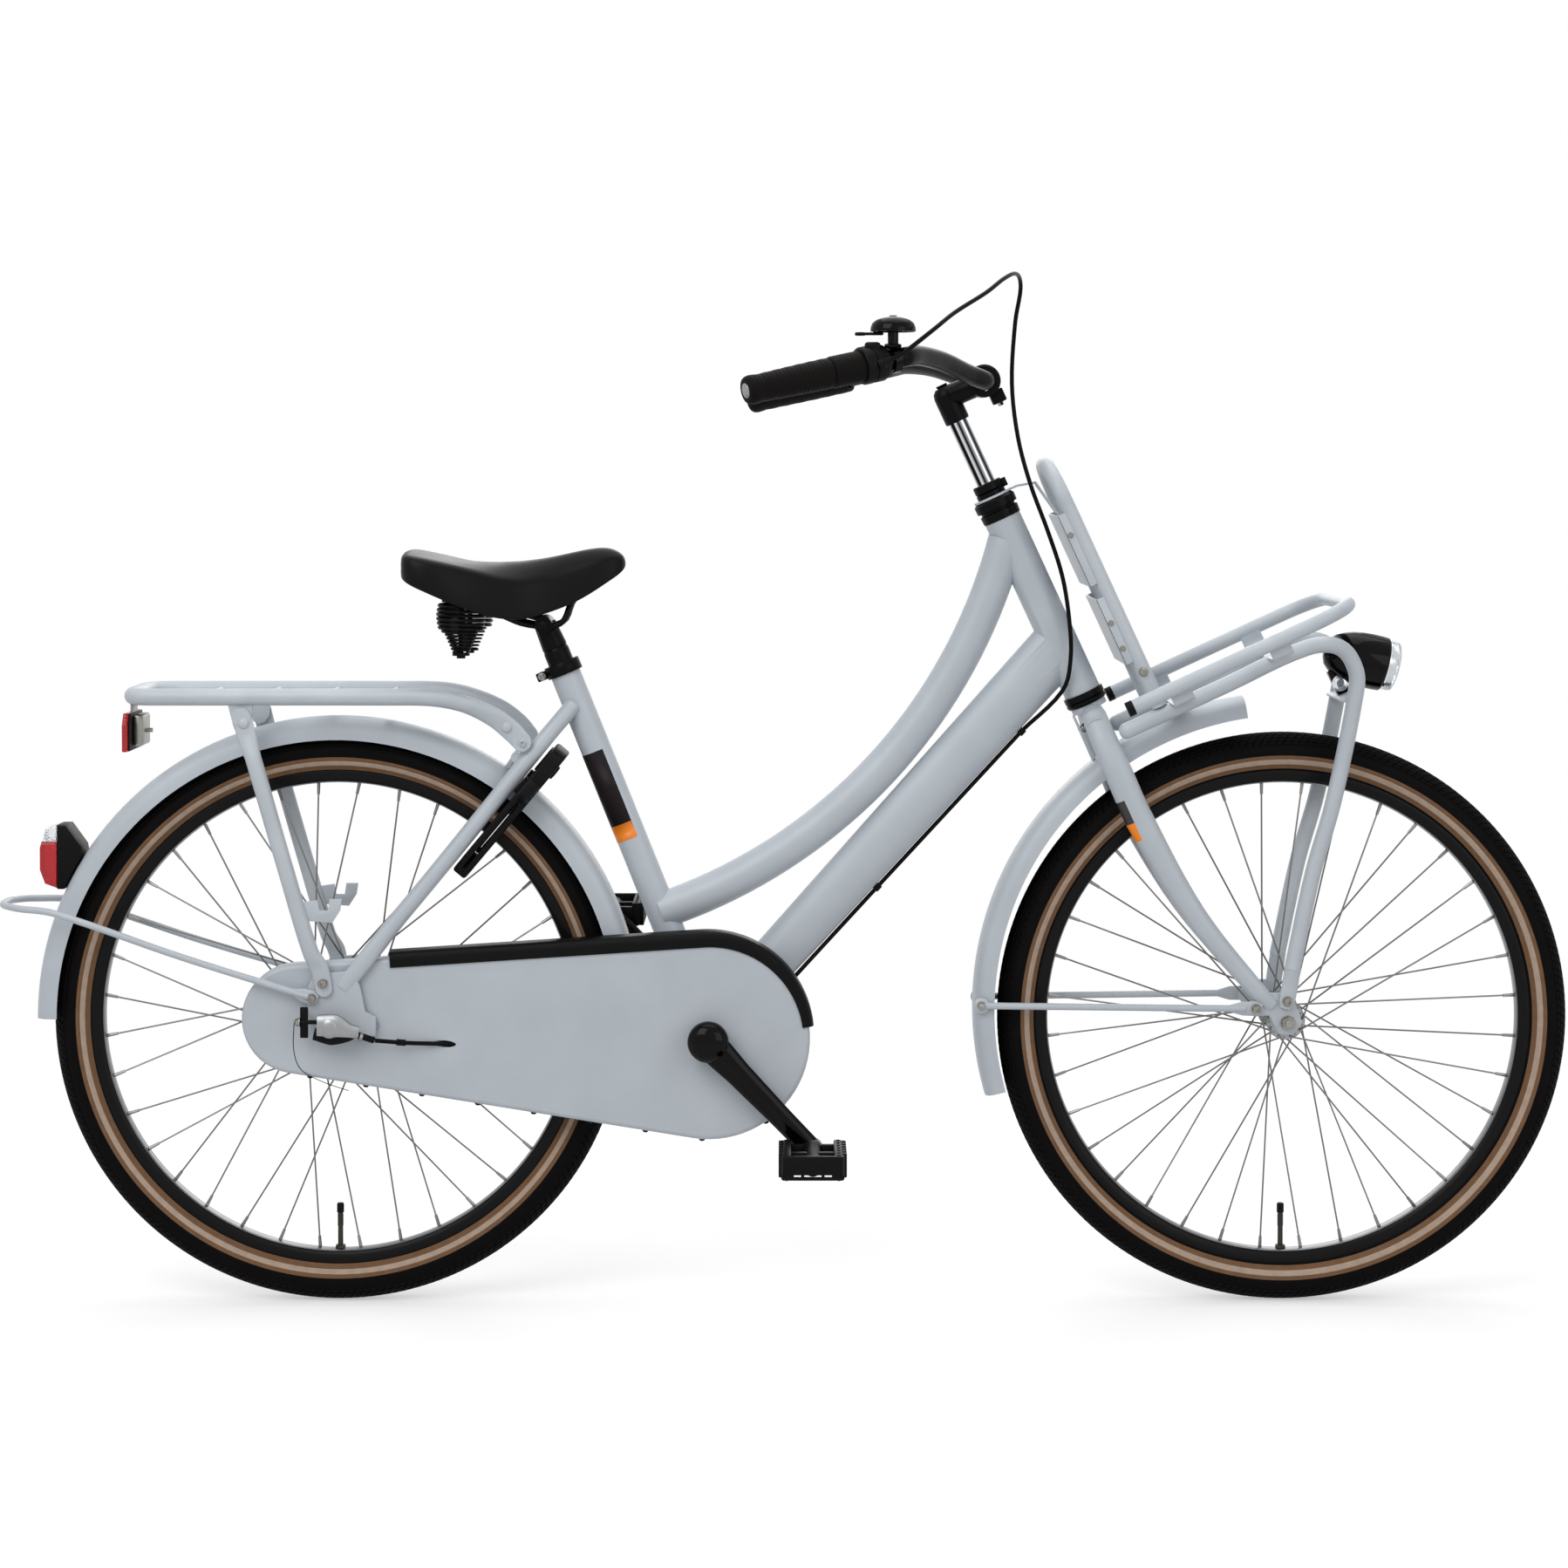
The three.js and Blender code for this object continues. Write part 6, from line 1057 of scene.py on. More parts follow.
NOSE_PLATE = (SADDLE_NOSE - 25, -14, 839), (SADDLE_NOSE - 17, 14, 847)
NOSE_TONGUE = (SADDLE_NOSE - 25, -6, 846), (SADDLE_NOSE - 17, 6, 857.5)
CLAMP_PIN_AT = at(POST_END.x - 3, 0, POST_END.z + 6)
POST_HEAD, SPINE_WIDE = (479, 29.6, 26), 9
SPINE = at(SPRING_X + 4, 0, 813), at(POST_END.x - 6, 0, POST_END.z + 12)
POST = [(0, 296), (15, 296), (15, 474), (14, 478.5), (10.95, 482), (10.95, 502), (0, 502)]
SEAT_CLAMP_AT, SEAT_CLAMP = 446.3, [(15.6, 0), (20.4, 0), (21.1, 1), (21.1, 13), (20.4, 14), (15.6, 14)]
SEAT_CLAMP_EARS, SEAT_PIN, EAR_HALF = ((-32.4, -5.6, 2), (-18, 5.6, 12)), (-26.4, 0, 7), 5.6


def saddle_ring(half, top, edge, low):
    """One section of the saddle: outer skin over the top, then the hollow below."""
    outer = [(0.975, low + 0.5), (1.0, low - 5), (1.0, edge + (low - edge) * 0.3), (0.965, edge + 1.5),
             (0.85, edge - (edge - top) * 0.25), (0.5, top + (edge - top) * 0.12), (0, top)]
    inner = [(0.4, top + 16), (0.8, (edge + low) / 2), (0.9, low - 2)]
    right = [(p * half, q) for p, q in outer]
    ring = [(-p, q) for p, q in right] + right[-2::-1]
    return ring + [(p * half, q) for p, q in reversed(inner)] + [(-p * half, q) for p, q in inner]


def wind_spring(bm, centre):
    """A saddle spring, wound down from a point."""
    line, wire = [], []
    for i in range((THICK_TURNS + THIN_TURNS) * TURN_STEPS + 1):
        turned = i / TURN_STEPS
        thin = max(turned - THICK_TURNS, 0)
        barrel, step, cone = min(turned, THICK_TURNS) / THICK_TURNS, min(thin, 1), thin / THIN_TURNS
        radius = SPRING_RADIUS + SPRING_BELLY * math.sin(barrel * math.pi)
        radius -= SPRING_STEP * step + SPRING_CONE * cone
        drop = barrel * THICK_DROP + cone * THIN_DROP
        angle = turned * math.tau
        line.append(centre + at(radius * math.cos(angle), radius * math.sin(angle), -drop))
        wire.append((THICK_WIRE - WIRE_STEP * step,) * 2)
    sweep(bm, line, wire, 8)


class BICYCLE_OT_saddle(bpy.types.Operator):
    """Shape the saddle, wind its springs and build its undercarriage and post"""
    bl_idname = "bicycle.saddle"
    bl_label = "Saddle and post"

    def execute(self, context):
        bm = bmesh.new()
        last_edges = []
        for share, *depths in SADDLE:
            ring = [bm.verts.new(at(SADDLE_NOSE - share * SADDLE_LENGTH, y, SADDLE_TOP - down))
                    for y, down in saddle_ring(*depths)]
            edges = [bm.edges.new(pair) for pair in zip(ring, ring[1:] + ring[:1])]
            if last_edges:
                bmesh.ops.bridge_loops(bm, edges=last_edges + edges)
            else:
                bmesh.ops.edgeloop_fill(bm, edges=edges)
            last_edges = edges
        bmesh.ops.edgeloop_fill(bm, edges=last_edges)
        cover = settle(bm, "saddle_cover", "saddle", "seat", "saddle", 180)
        rounded = cover.modifiers.new("rounded", "SUBSURF")
        rounded.levels = rounded.render_levels = 3
        for name, side in SIDES.items():
            bm = bmesh.new()
            wind_spring(bm, at(SPRING_X, side * SPRING_Y, SPRING_TOP))
            settle(bm, f"{name}_spring_wound", "satin", "seat", f"{name}_saddle_spring")
        bm = bmesh.new()
        block(bm, *SPRING_BRIDGE, 0.8)
        for side in (-1, 1):
            tube(bm, [beside(p, side) for p in SADDLE_RAIL], RAIL_WIDE, 5, 14)
            turn(bm, SPRING_BOLT, at(SPRING_X, side * SPRING_Y, 0), Z, 28)
            rod(bm, *[beside(p, side) for p in SPRING_PEG], PEG_WIDE)
        block(bm, *NOSE_PLATE, 0.8)
        block(bm, *NOSE_TONGUE, 0.8)
        half = Y * CLAMP_HALF * MM
        rod(bm, CLAMP_PIN_AT - half, CLAMP_PIN_AT + half, CLAMP_PIN)
        low, wide, narrow = POST_HEAD
        rod(bm, seat(low), CLAMP_PIN_AT, wide, narrow)
        rod(bm, *SPINE, SPINE_WIDE)
        piece = settle(bm, "saddle_undercarriage", "satin", "seat", "saddle_frame")
        carve(piece, lambda b: rod(b, seat(446), seat(502.4), 22.9, sides=32))
        bm = bmesh.new()
        for side in (-1, 1):
            nut(bm, CLAMP_PIN_AT + half * side, Y * side, 11, 5)
        settle(bm, "saddle_clamp_nuts", "satin", "seat")
        bm = bmesh.new()
        turn(bm, POST, BRACKET_AT, UP_SEAT, 40)
        settle(bm, "seat_post_drawn", "satin", "seat", "seatpost", 30)
        bm = bmesh.new()
        foot = seat(SEAT_CLAMP_AT)
        place = Matrix.Translation(foot) @ Matrix.Rotation(-SEAT_LEAN, 4, "Y")
        turn(bm, SEAT_CLAMP, foot, UP_SEAT, 44, closed=True)
        block(bm, *SEAT_CLAMP_EARS, 1, place)
        mark(bm, 0)
        pin = place @ at(*SEAT_PIN)
        socket_bolt(bm, pin - Y * EAR_HALF * MM, -Y, 7, 6)
        nut(bm, pin + Y * EAR_HALF * MM, Y, 8, 4)
        mark(bm, 1)
        settle(bm, "seat_clamp_ring", "satin zinc", "frame", "seat_clamp")
        return {"FINISHED"}


MUDGUARD_HALF = [(0.0, 0.0), (0.25, 0.005), (0.45, 0.03), (0.62, 0.08), (0.76, 0.17), (0.87, 0.3),
                 (0.94, 0.46), (0.985, 0.7), (1.0, 1.0)]
GUARD_HALF_WIDE, SHEET = 31, 0.0015
# Centre, radius, depth and the angles between which each guard runs
REAR_GUARD = REAR_AT, 348, 26, 12, 180
# The front guard stands further off the tyre ahead of the fork than behind it
FRONT_GUARD = FRONT_AT + at(7, 0, 10), 365, 24, 98.5, 196
GUARD_TONGUE = [(-22, -6), (-20, -6), (-19, -60.5), (-23, -61.5)]
GUARD_SPACER = (0.3465, 0.3612, 11)
HOOP_HALF = [(-26, 74.6, 33), (-170, 68.6, 77), (-318, 60, 126), (-362, 47, 130), (-383, 24, 131),
             (-387.6, 0, 131)]
HOOP_END = [(-44, 73.4, 38.5), (-32, 73.2, 34.6), (-22, 73.2, 31.5), (-16, 73.2, 29.5)]
HOOP_END_SIZES, HOOP_BOLT_AT = [(3, 4), (2.4, 8), (2.4, 8.5), (2.4, 5)], (-22, 75.4, 31.5)
STAY_WIDE, STAY_GUARD_END, STAY_EYE = 8, (FRONT_AXLE[0] - 349, 35.3, 346), (26, 59.6, -392)
STAY_EYE_SIZES = [(4, 4), (2.6, 8), (2.4, 8.5), (2.4, 5)]
STAY_FOOT, EYE_OFF = [(0, 2), (7, 2), (9, 0.5), (9, -1.5), (0, -1.5)], 0.0012


def mudguard(centre, radius, depth, from_angle, to_angle):
    """A rolled steel guard: one curved section led round the wheel, painted outside and dark inside."""
    bm = bmesh.new()
    half = [(radius - q * depth, p * GUARD_HALF_WIDE) for p, q in MUDGUARD_HALF]
    side = Matrix.Rotation(-math.radians(from_angle), 3, "Y") @ X
    verts = [bm.verts.new(centre + (side * r + Y * y) * MM) for r, y in mirrored(half[1:]) + half]
    edges = [bm.edges.new(pair) for pair in zip(verts, verts[1:])]
    bmesh.ops.spin(bm, geom=verts + edges, cent=centre, axis=-Y, dvec=(0, 0, 0),
                   angle=math.radians(to_angle - from_angle), steps=72, use_duplicate=False)
    bmesh.ops.recalc_face_normals(bm, faces=bm.faces)
    outer = list(bm.faces)
    if sum((f.calc_center_median() - centre).dot(f.normal) for f in outer) <= 0:
        bmesh.ops.reverse_faces(bm, faces=outer)
    bmesh.ops.solidify(bm, geom=outer, thickness=SHEET)
    for face in bm.faces:
        way = face.calc_center_median() - centre
        way.y = 0
        inward = face.normal.dot(way.normalized()) < -0.05
        side_in = face.normal.y * face.calc_center_median().y < 0
        face.material_index = 1 if inward or side_in else 0
    return bm


class BICYCLE_OT_mudguards(bpy.types.Operator):
    """Roll the mudguards and bend their stays"""
    bl_idname = "bicycle.mudguards"
    bl_label = "Mudguards"

    def execute(self, context):
        bm = mudguard(*REAR_GUARD)
        x, _, z = BRIDGES[0]
        way = (rear(x, 0, z) - REAR_AT).normalized()
        low, high, wide = GUARD_SPACER
        rod(bm, REAR_AT + way * low, REAR_AT + way * high, wide)
        settle(bm, "rear_guard_rolled", "paint lining", "frame", "rear_mudguard", 50)
        bm = mudguard(*FRONT_GUARD)
        plate(bm, GUARD_TONGUE, -10, 10, 0.3, STEER_PLACE)
        settle(bm, "front_guard_rolled", "paint lining", "steering", "front_mudguard", 50)

        bm = bmesh.new()
        tube(bm, hoop([rear(*p) for p in HOOP_HALF]), STAY_WIDE, 8, 16)
        for side in (-1, 1):
            limb(bm, [rear(x, side * y, z) for x, y, z in HOOP_END], HOOP_END_SIZES, 5, 20)
        mark(bm, 0)
        x, y, z = HOOP_BOLT_AT
        for side in (-1, 1):
            socket_bolt(bm, rear(x, side * y, z), Y * side, 9, 5)
        mark(bm, 1)
        settle(bm, "rear_stay_hoop", "paint zinc", "frame", "rear_mudguard_hoop")
        for name, side in SIDES.items():
            bm = bmesh.new()
            out = Y * side
            (x, y, z), (u, v, w) = STAY_GUARD_END, STAY_EYE
            guard_end, eye = at(x, side * y, z), steer(u, side * v, w)
            way = (eye - guard_end).normalized()
            tube(bm, [guard_end, (guard_end + eye) / 2, eye - way * 0.012], STAY_WIDE, 4, 16)
            limb(bm, [eye - way * 0.03, eye - way * 0.016 - out * 0.001, eye - out * EYE_OFF,
                      eye + way * 0.007 - out * EYE_OFF], STAY_EYE_SIZES, 5, 20)
            turn(bm, STAY_FOOT, guard_end, out, 24)
            mark(bm, 0)
            socket_bolt(bm, eye + out * EYE_OFF, out, 10, 6)
            nut(bm, guard_end + out * 0.002, out, 8, 4)
            mark(bm, 1)
            settle(bm, f"{name}_guard_stay", "paint zinc", "steering", f"{name}_mudguard_stay")
        return {"FINISHED"}


RACK_TOP, RACK_END, RACK_HALF_WIDE = 703.5, REAR_AXLE[0] - 240.5, 68
RACK_HALF = [(-299, 52.5, 650), (-312, 53, 664), (-332, 55.5, 680), (-364, 63, 695), (-400, 68, 702.5),
             (-450, 68, RACK_TOP), (RACK_END + 60, 68, RACK_TOP), (RACK_END + 39.8, 68, RACK_TOP),
             (RACK_END + 17.8, 60, RACK_TOP), (RACK_END + 9.8, 38, RACK_TOP), (RACK_END + 9.8, 0, RACK_TOP)]
# The rail's ends are pressed flat for their bolts
RACK_FLAT = [(2.6, 11), (2.6, 12), (5, 11.5)]
RACK_BARS, RACK_BAR_FIRST, RACK_BAR_STEP, RACK_BAR_WIDE = 4, REAR_AXLE[0] + 61, 68.5, 8
RACK_EYE, RACK_EYE_AT = [(0, 2.6), (10.4, 2.6), (11, 2), (11, -2), (10.4, -2.6), (0, -2.6)], (-300, 52.5, 651)
RACK_LUG = [(-634, 700), (-604, 700), (-606, 672), (-611, 665), (-618, 662), (-625, 666), (-627, 672)]
RACK_BOLT_AT, RACK_DIMPLE_AT = (-299, 55, 650), (-317, 55.6, 668)
RACK_DIMPLE = [(0, 3), (4, 2.6), (6, 1.2), (6.4, 0), (0, 0)]
LEG = [(-616, 73.3, 680), (-611, 73.5, 660), (-603, 75.2, 634), (-566, 75.2, 505), (-539, 75.2, 414),
       (-529, 74.2, 395), (-524, 73.1, 372)]
LEG_SIZES = [(2.5, 11), (2.6, 11), (8.3, 9.3), (8.3, 9.3), (8.3, 9.3), (4, 10.4), (2.5, 9.6)]
LEG_EYES = [((-617, 73.3, 681), 11), ((-524, 73.1, 372), 9.4)]
# The hooks that a strap's end goes round
STRAP_HOOK = [(-552, 470), (-531, 473), (-529, 461), (-519, 461), (-517, 474), (-503, 474), (-505, 461),
              (-514, 447), (-540, 449)]
LEG_DIMPLE, LEG_DIMPLE_AT = [(0, 3.6), (4, 3), (6, 1.2), (6.6, 0), (0, 0)], (-614, 75.6, 674)
LEG_BOLT_AT = (-525, 75.4, 378)


class BICYCLE_OT_rear_carrier(bpy.types.Operator):
    """Bend the rear carrier and its legs"""
    bl_idname = "bicycle.rear_carrier"
    bl_label = "Rear carrier"

    def execute(self, context):
        bm = bmesh.new()
        r = context.scene.bicycle_tubes.carrier / MM / 2
        sizes = RACK_FLAT + [(r, r)] * (2 * (len(RACK_HALF) - len(RACK_FLAT)) - 1) + RACK_FLAT[::-1]
        limb(bm, hoop([at(*p) for p in RACK_HALF]), sizes, 7, 24)
        for i in range(RACK_BARS):
            bar = (RACK_BAR_FIRST - i * RACK_BAR_STEP, RACK_HALF_WIDE, RACK_TOP)
            rod(bm, beside(bar, -1), beside(bar, 1), RACK_BAR_WIDE, sides=20)
        for side in (-1, 1):
            turn(bm, RACK_EYE, beside(RACK_EYE_AT, side), Y, 32)
            plate(bm, RACK_LUG, side * 65.5, side * 70.5, 1)
            socket_bolt(bm, beside(RACK_BOLT_AT, side), Y * side, 8, 4)
            turn(bm, RACK_DIMPLE, beside(RACK_DIMPLE_AT, side), Y * side, 24)
        settle(bm, "rear_carrier_bent", "carrier", "frame", "rear_rack")
        for name, side in SIDES.items():
            bm = bmesh.new()
            limb(bm, [beside(p, side) for p in LEG], LEG_SIZES, 7, 28)
            for place, r in LEG_EYES:
                turn(bm, [(0, 2.2), (r, 2.2), (r, -2.2), (0, -2.2)], beside(place, side), Y, 28)
            plate(bm, STRAP_HOOK, side * 73.8, side * 76.6, 0.6)
            turn(bm, LEG_DIMPLE, beside(LEG_DIMPLE_AT, side), Y * side, 24)
            mark(bm, 0)
            socket_bolt(bm, beside(LEG_BOLT_AT, side), Y * side, 10, 5)
            mark(bm, 1)
            settle(bm, f"{name}_carrier_leg", "carrier zinc", "frame", f"{name}_rack_leg")
        return {"FINISHED"}


# The front carrier, measured from the crown: forward, beside and up the steering axis
TRAY_START, TRAY_CORNER, TRAY_BEND, TRAY_WIDE = [(34, 123, -13), (147, 123, -13)], (261, 73, -13), 50, 16.6
UNDER = [(22, 59, -41), (150, 59, -41), (250, 59, -41), (284, 59, -56), (290, 59, -88), (276, 59, -116),
         (204, 59, -214), (150, 59, -277), (82, 59, -368)]
UNDER_FOOT = [(84, 59, -366), (72, 58.6, -384), (61, 58.1, -400), (56, 58.1, -406)]
UNDER_WIDE, UNDER_FOOT_SIZES = 18.6, [(9.2, 9.2), (4, 9.5), (2.5, 9), (2.5, 6)]
TRAY_STRIPS, STRIP_HALF = (94, 216), (12.5, 1.5)
STRIP = [(-117.5, -17), (-117.5, -29.3), (-113, -32.3), (0, -32.3), (113, -32.3), (117.5, -29.3),
         (117.5, -17)]
LAMP_BRIDGE, UNDER_BOLT_AT, TRAY_CAP = ((262, -59, -116), (284, 59, -112.5)), (62, 60.6, -399), (31, 39, 17.4)
UNDER_END, UNDER_END_AT = [(0, -6.5), (5, -5.6), (8, -2.8), (9.3, 0.5), (0, 0.5)], (22, 59, -41)
BACKREST = [(70, 59, -31.4), (70, 59, 60), (70, 59, 136), (70, 59, 222), (70, 54, 244), (70, 42, 260),
            (70, 24, 270), (70, 0, 272)]
# Two folded panels between the uprights, their side flanges bolted through
PANELS, PANEL_BOLTS, PANEL_HALF, FLANGE_IN = ((28, 110), (126, 215)), (188.7, 78.6, 46.7), 66.5, 64.7
HEAD_RING = [(14.6, 262.3), (22.8, 262.3), (22.8, 264.8), (14.6, 264.8)]
HEAD_BRACKET = [(17, 262.3), (30, 262.3), (50, 257), (59.4, 208), (61.6, 208), (52.4, 259), (31, 264.8),
                (17, 264.8)]


class BICYCLE_OT_front_carrier(bpy.types.Operator):
    """Bend the front carrier and its backrest"""
    bl_idname = "bicycle.front_carrier"
    bl_label = "Front carrier"

    def execute(self, context):
        bm = bmesh.new()
        u, y, w = TRAY_CORNER
        bend = [circle(TRAY_BEND, 90 - i * 15) for i in range(7)]
        half = [steer(*p) for p in TRAY_START] + [steer(u + p.x, y + p.z, w) for p in bend]
        tube(bm, half + other_side(half)[::-1], TRAY_WIDE, 5, 24)
        for side in (-1, 1):
            tube(bm, [steer(u, side * y, w) for u, y, w in UNDER], UNDER_WIDE, 6, 24)
            limb(bm, [steer(u, side * y, w) for u, y, w in UNDER_FOOT], UNDER_FOOT_SIZES, 6, 24)
        for u in TRAY_STRIPS:
            line = [steer(u, y, w) for y, w in STRIP]
            sweep(bm, *refine(line, [STRIP_HALF] * len(line), 4), across=AHEAD)
        block(bm, *LAMP_BRIDGE, 0.6, STEER_PLACE)
        u, y, w = UNDER_END_AT
        for side in (-1, 1):
            turn(bm, UNDER_END, steer(u, side * y, w), AHEAD, 24)
        mark(bm, 0)
        u, y, w = UNDER_BOLT_AT
        for side in (-1, 1):
            socket_bolt(bm, steer(u, side * y, w), Y * side, 10, 6)
        mark(bm, 1)
        _, y, w = TRAY_START[0]
        low, high, wide = TRAY_CAP
        for side in (-1, 1):
            rod(bm, steer(low, side * y, w), steer(high, side * y, w), wide)
        mark(bm, 2)
        settle(bm, "front_carrier_bent", "carrier zinc abs", "steering", "front_carrier")

        bm = bmesh.new()
        tube(bm, hoop([steer(*p) for p in BACKREST]), 18, 6, 24)
        for low, high in PANELS:
            block(bm, (54, -PANEL_HALF, low), (55.8, PANEL_HALF, high), 0.6, STEER_PLACE)
            for y0, y1 in ((-PANEL_HALF, -FLANGE_IN), (FLANGE_IN, PANEL_HALF)):
                block(bm, (54, y0, low), (64, y1, high), 0.6, STEER_PLACE)
        turn(bm, HEAD_RING, CROWN_AT, UP_HEAD, 44, closed=True)
        plate(bm, HEAD_BRACKET, -10, 10, 0.4, STEER_PLACE)
        mark(bm, 0)
        for side in (-1, 1):
            for w in PANEL_BOLTS:
                socket_bolt(bm, steer(59, side * PANEL_HALF, w), Y * side, 5.6, 2.6)
            socket_bolt(bm, steer(69, side * 67.4, 13), Y * side, 9, 4)
        mark(bm, 1)
        settle(bm, "backrest_bent", "carrier zinc", "steering", "carrier_backrest")
        return {"FINISHED"}


LAMP_AT, LAMP_DIP, LAMP_LONG = steer(273.7, 0, -58.7), 13.2, 84
LAMP_WAY = circle(1, -LAMP_DIP)
LAMP_DOWN = -LAMP_WAY.cross(Y)
LAMP_SHELL = [(0, 0), (8, 0.4), (15, 3), (21, 9), (26, 18), (29.4, 28), (31.2, 38), (31.8, 50), (31.8, 62),
              (31.2, 70), (30, 71.5), (28.6, 71.5), (28.6, 70), (0, 69.5)]
LAMP_FOOT, LAMP_BOLT_AT = ((266, -8, -112.2), (282, 8, -82)), (274, -8, -100)
LAMP_BUTTON, LAMP_BUTTON_AT = [(0, 4), (6, 3.4), (7.5, 1), (7.5, -4), (0, -4)], (0.046, 0.026)
LAMP_RING = [(28.8, 70.6), (29.8, 72), (29.8, 73.6), (28.8, 74)]
LAMP_GLASS = [(0, 70.2), (28.4, 70.2), (28.6, 73), (28.4, LAMP_LONG - 2), (27, LAMP_LONG),
              (22, LAMP_LONG + 2), (0, LAMP_LONG + 4)]
LAMP_MIRROR = [(0, 71.5), (7, 71.8), (19, 75), (26.6, LAMP_LONG - 3), (27.2, LAMP_LONG - 3), (27.4, 71.5)]
LIGHT_LOW, LIGHT_HIGH, LIGHT_SPLIT, LIGHT_FACE, LIGHT_GLASS_FACE = 478.5, 552.3, 533, -838.2, -838.5
LIGHT_ON_GUARD = (LIGHT_LOW, 490, 505, 518)
RED_GLASS = [(LIGHT_GLASS_FACE, LIGHT_LOW + 1), (LIGHT_GLASS_FACE, LIGHT_SPLIT), (-856.5, LIGHT_SPLIT),
             (-858.5, 526), (-858.5, LIGHT_LOW + 22), (-852.5, LIGHT_LOW + 6)]
CLEAR_GLASS = [(LIGHT_GLASS_FACE, 533.3), (LIGHT_GLASS_FACE, LIGHT_HIGH), (-852, LIGHT_HIGH - 4),
               (-856.3, 533.3)]
REFLECTOR = [(-45, -22), (45, -22), (45, 9), (36, 22), (-36, 22), (-45, 9)]
REFLECTOR_X, REFLECTOR_Z, REFLECTOR_RIM_SHARE = RACK_END + 3, RACK_TOP - 42.8, 0.97


def guard_x(z):
    """The rear face of the rear mudguard at a height."""
    return REAR_AXLE[0] - math.sqrt(348.4 ** 2 - (z - REAR_AXLE[2]) ** 2)


class BICYCLE_OT_lamps(bpy.types.Operator):
    """Build the headlight, rear light and reflector"""
    bl_idname = "bicycle.lamps"
    bl_label = "Lights and reflector"

    def execute(self, context):
        bm = bmesh.new()
        turn(bm, LAMP_SHELL, LAMP_AT, LAMP_WAY, 56)
        block(bm, *LAMP_FOOT, 2, STEER_PLACE)
        along, down = LAMP_BUTTON_AT
        turn(bm, LAMP_BUTTON, LAMP_AT + LAMP_WAY * along + LAMP_DOWN * down, LAMP_DOWN, 24)
        mark(bm, 0)
        turn(bm, LAMP_RING, LAMP_AT, LAMP_WAY, 56, closed=True)
        socket_bolt(bm, steer(*LAMP_BOLT_AT), -Y, 15, 3)
        mark(bm, 1)
        settle(bm, "headlight_shell", "gloss chrome", "steering", "headlight_body", 30)
        for name, look, profile, steps, node, crease in (
            ("headlight_glass", "clear", LAMP_GLASS, 56, "headlight_lens", 40),
            ("headlight_mirror", "chrome", LAMP_MIRROR, 40, None, 38),
        ):
            bm = bmesh.new()
            turn(bm, profile, LAMP_AT, LAMP_WAY, steps)
            settle(bm, name, look, "steering", node, crease)

        bm = bmesh.new()
        outline = [(LIGHT_FACE, LIGHT_LOW), *[(guard_x(z), z) for z in LIGHT_ON_GUARD],
                   (guard_x(LIGHT_ON_GUARD[-1]) - 2, 528), (-828, LIGHT_HIGH), (LIGHT_FACE, LIGHT_HIGH)]
        plate(bm, outline, -22, 22, 2)
        settle(bm, "rear_light_case", "abs", "frame", "rear_light_body", 30)
        bm = bmesh.new()
        for index, glass in enumerate((RED_GLASS, CLEAR_GLASS)):
            plate(bm, glass, -21, 21, 2.5, segments=3)
            mark(bm, index)
        settle(bm, "rear_light_glass", "red clear", "frame", "rear_light_lens", 30)

        bm = bmesh.new()
        rx, zc = REFLECTOR_X, REFLECTOR_Z
        turned = Matrix.Translation(at(rx, 0, zc)) @ Matrix.Rotation(math.radians(90), 4, "Z")
        plate(bm, REFLECTOR, -1.5, 5.5, 1.5, turned)
        mark(bm, 0)
        rim = [(x * REFLECTOR_RIM_SHARE, z * REFLECTOR_RIM_SHARE) for x, z in REFLECTOR]
        plate(bm, rim, -3.4, -1.7, 0.6, turned)
        mark(bm, 1)
        block(bm, (rx + 3.6, -24, zc - 17), (rx + 15, 24, zc + 19), 3)
        block(bm, (rx - 1, -15, zc + 9), (rx + 2, 15, zc + 32.7), 0.5)
        block(bm, (rx - 1, -15, zc + 29.7), (rx + 19, 15, zc + 32.7), 0.5)
        rod(bm, at(rx - 3, 0, zc), at(rx + 22, 0, zc), 5)
        nut(bm, at(rx + 3, 0, zc), X, 8, 5)
        mark(bm, 2)
        settle(bm, "rear_reflector_moulded", "red abs zinc", "frame", "rear_reflector", 30)
        return {"FINISHED"}


# The lock, in its own plane: across the bicycle and outwards from the rear axle
LOCK_SHAPE = [(0, 405), (20, 403.5), (34, 400), (46, 391), (54, 380), (58, 366), (60, 350), (60, 262),
              (58, 244), (54, 232), (46, 221), (38, 228), (36, 262), (35.5, 338), (30, 353), (16, 356.5),
              (0, 357)]
LOCK_MIDDLE, LOCK_LEAN, LOCK_HALF = 290, 50, 9
# Inner and outer radius, first and last angle, steps, then half the thickness
BOW_ROOM, LEVER_ROOM = (44.5, 53.5, 133, 242, 12, 4.5), (49, 108, 136, 228, 12, 2.1)
LEVER_NECK, LEVER_KNOB = (49, 94, 140, 146, 2, 1.6), (91, 103, 136, 149, 4, 7.2)
KEY_AT = (36, -9, 372)
KEY_BOSS, KEY_FACE = [(0, 3), (8, 3), (9, 2), (9, 0), (0, 0)], [(0, 3.4), (4, 3.4), (5, 3), (0, 3)]
BOW_RADIUS, BOW_FROM, BOW_SWEEP, BOW_STEPS, BOW_HALF_WIDE = 49, 138, 89, 24, 4


def ring_part(inner, outer, first, last, steps):
    """The outline of a part of a ring round the lock's middle."""
    def points(radius, start, end):
        turns = [circle(radius, start + (end - start) * i / steps) for i in range(steps + 1)]
        return [(p.x, LOCK_MIDDLE + p.z) for p in turns]
    return points(outer, first, last) + points(inner, last, first)


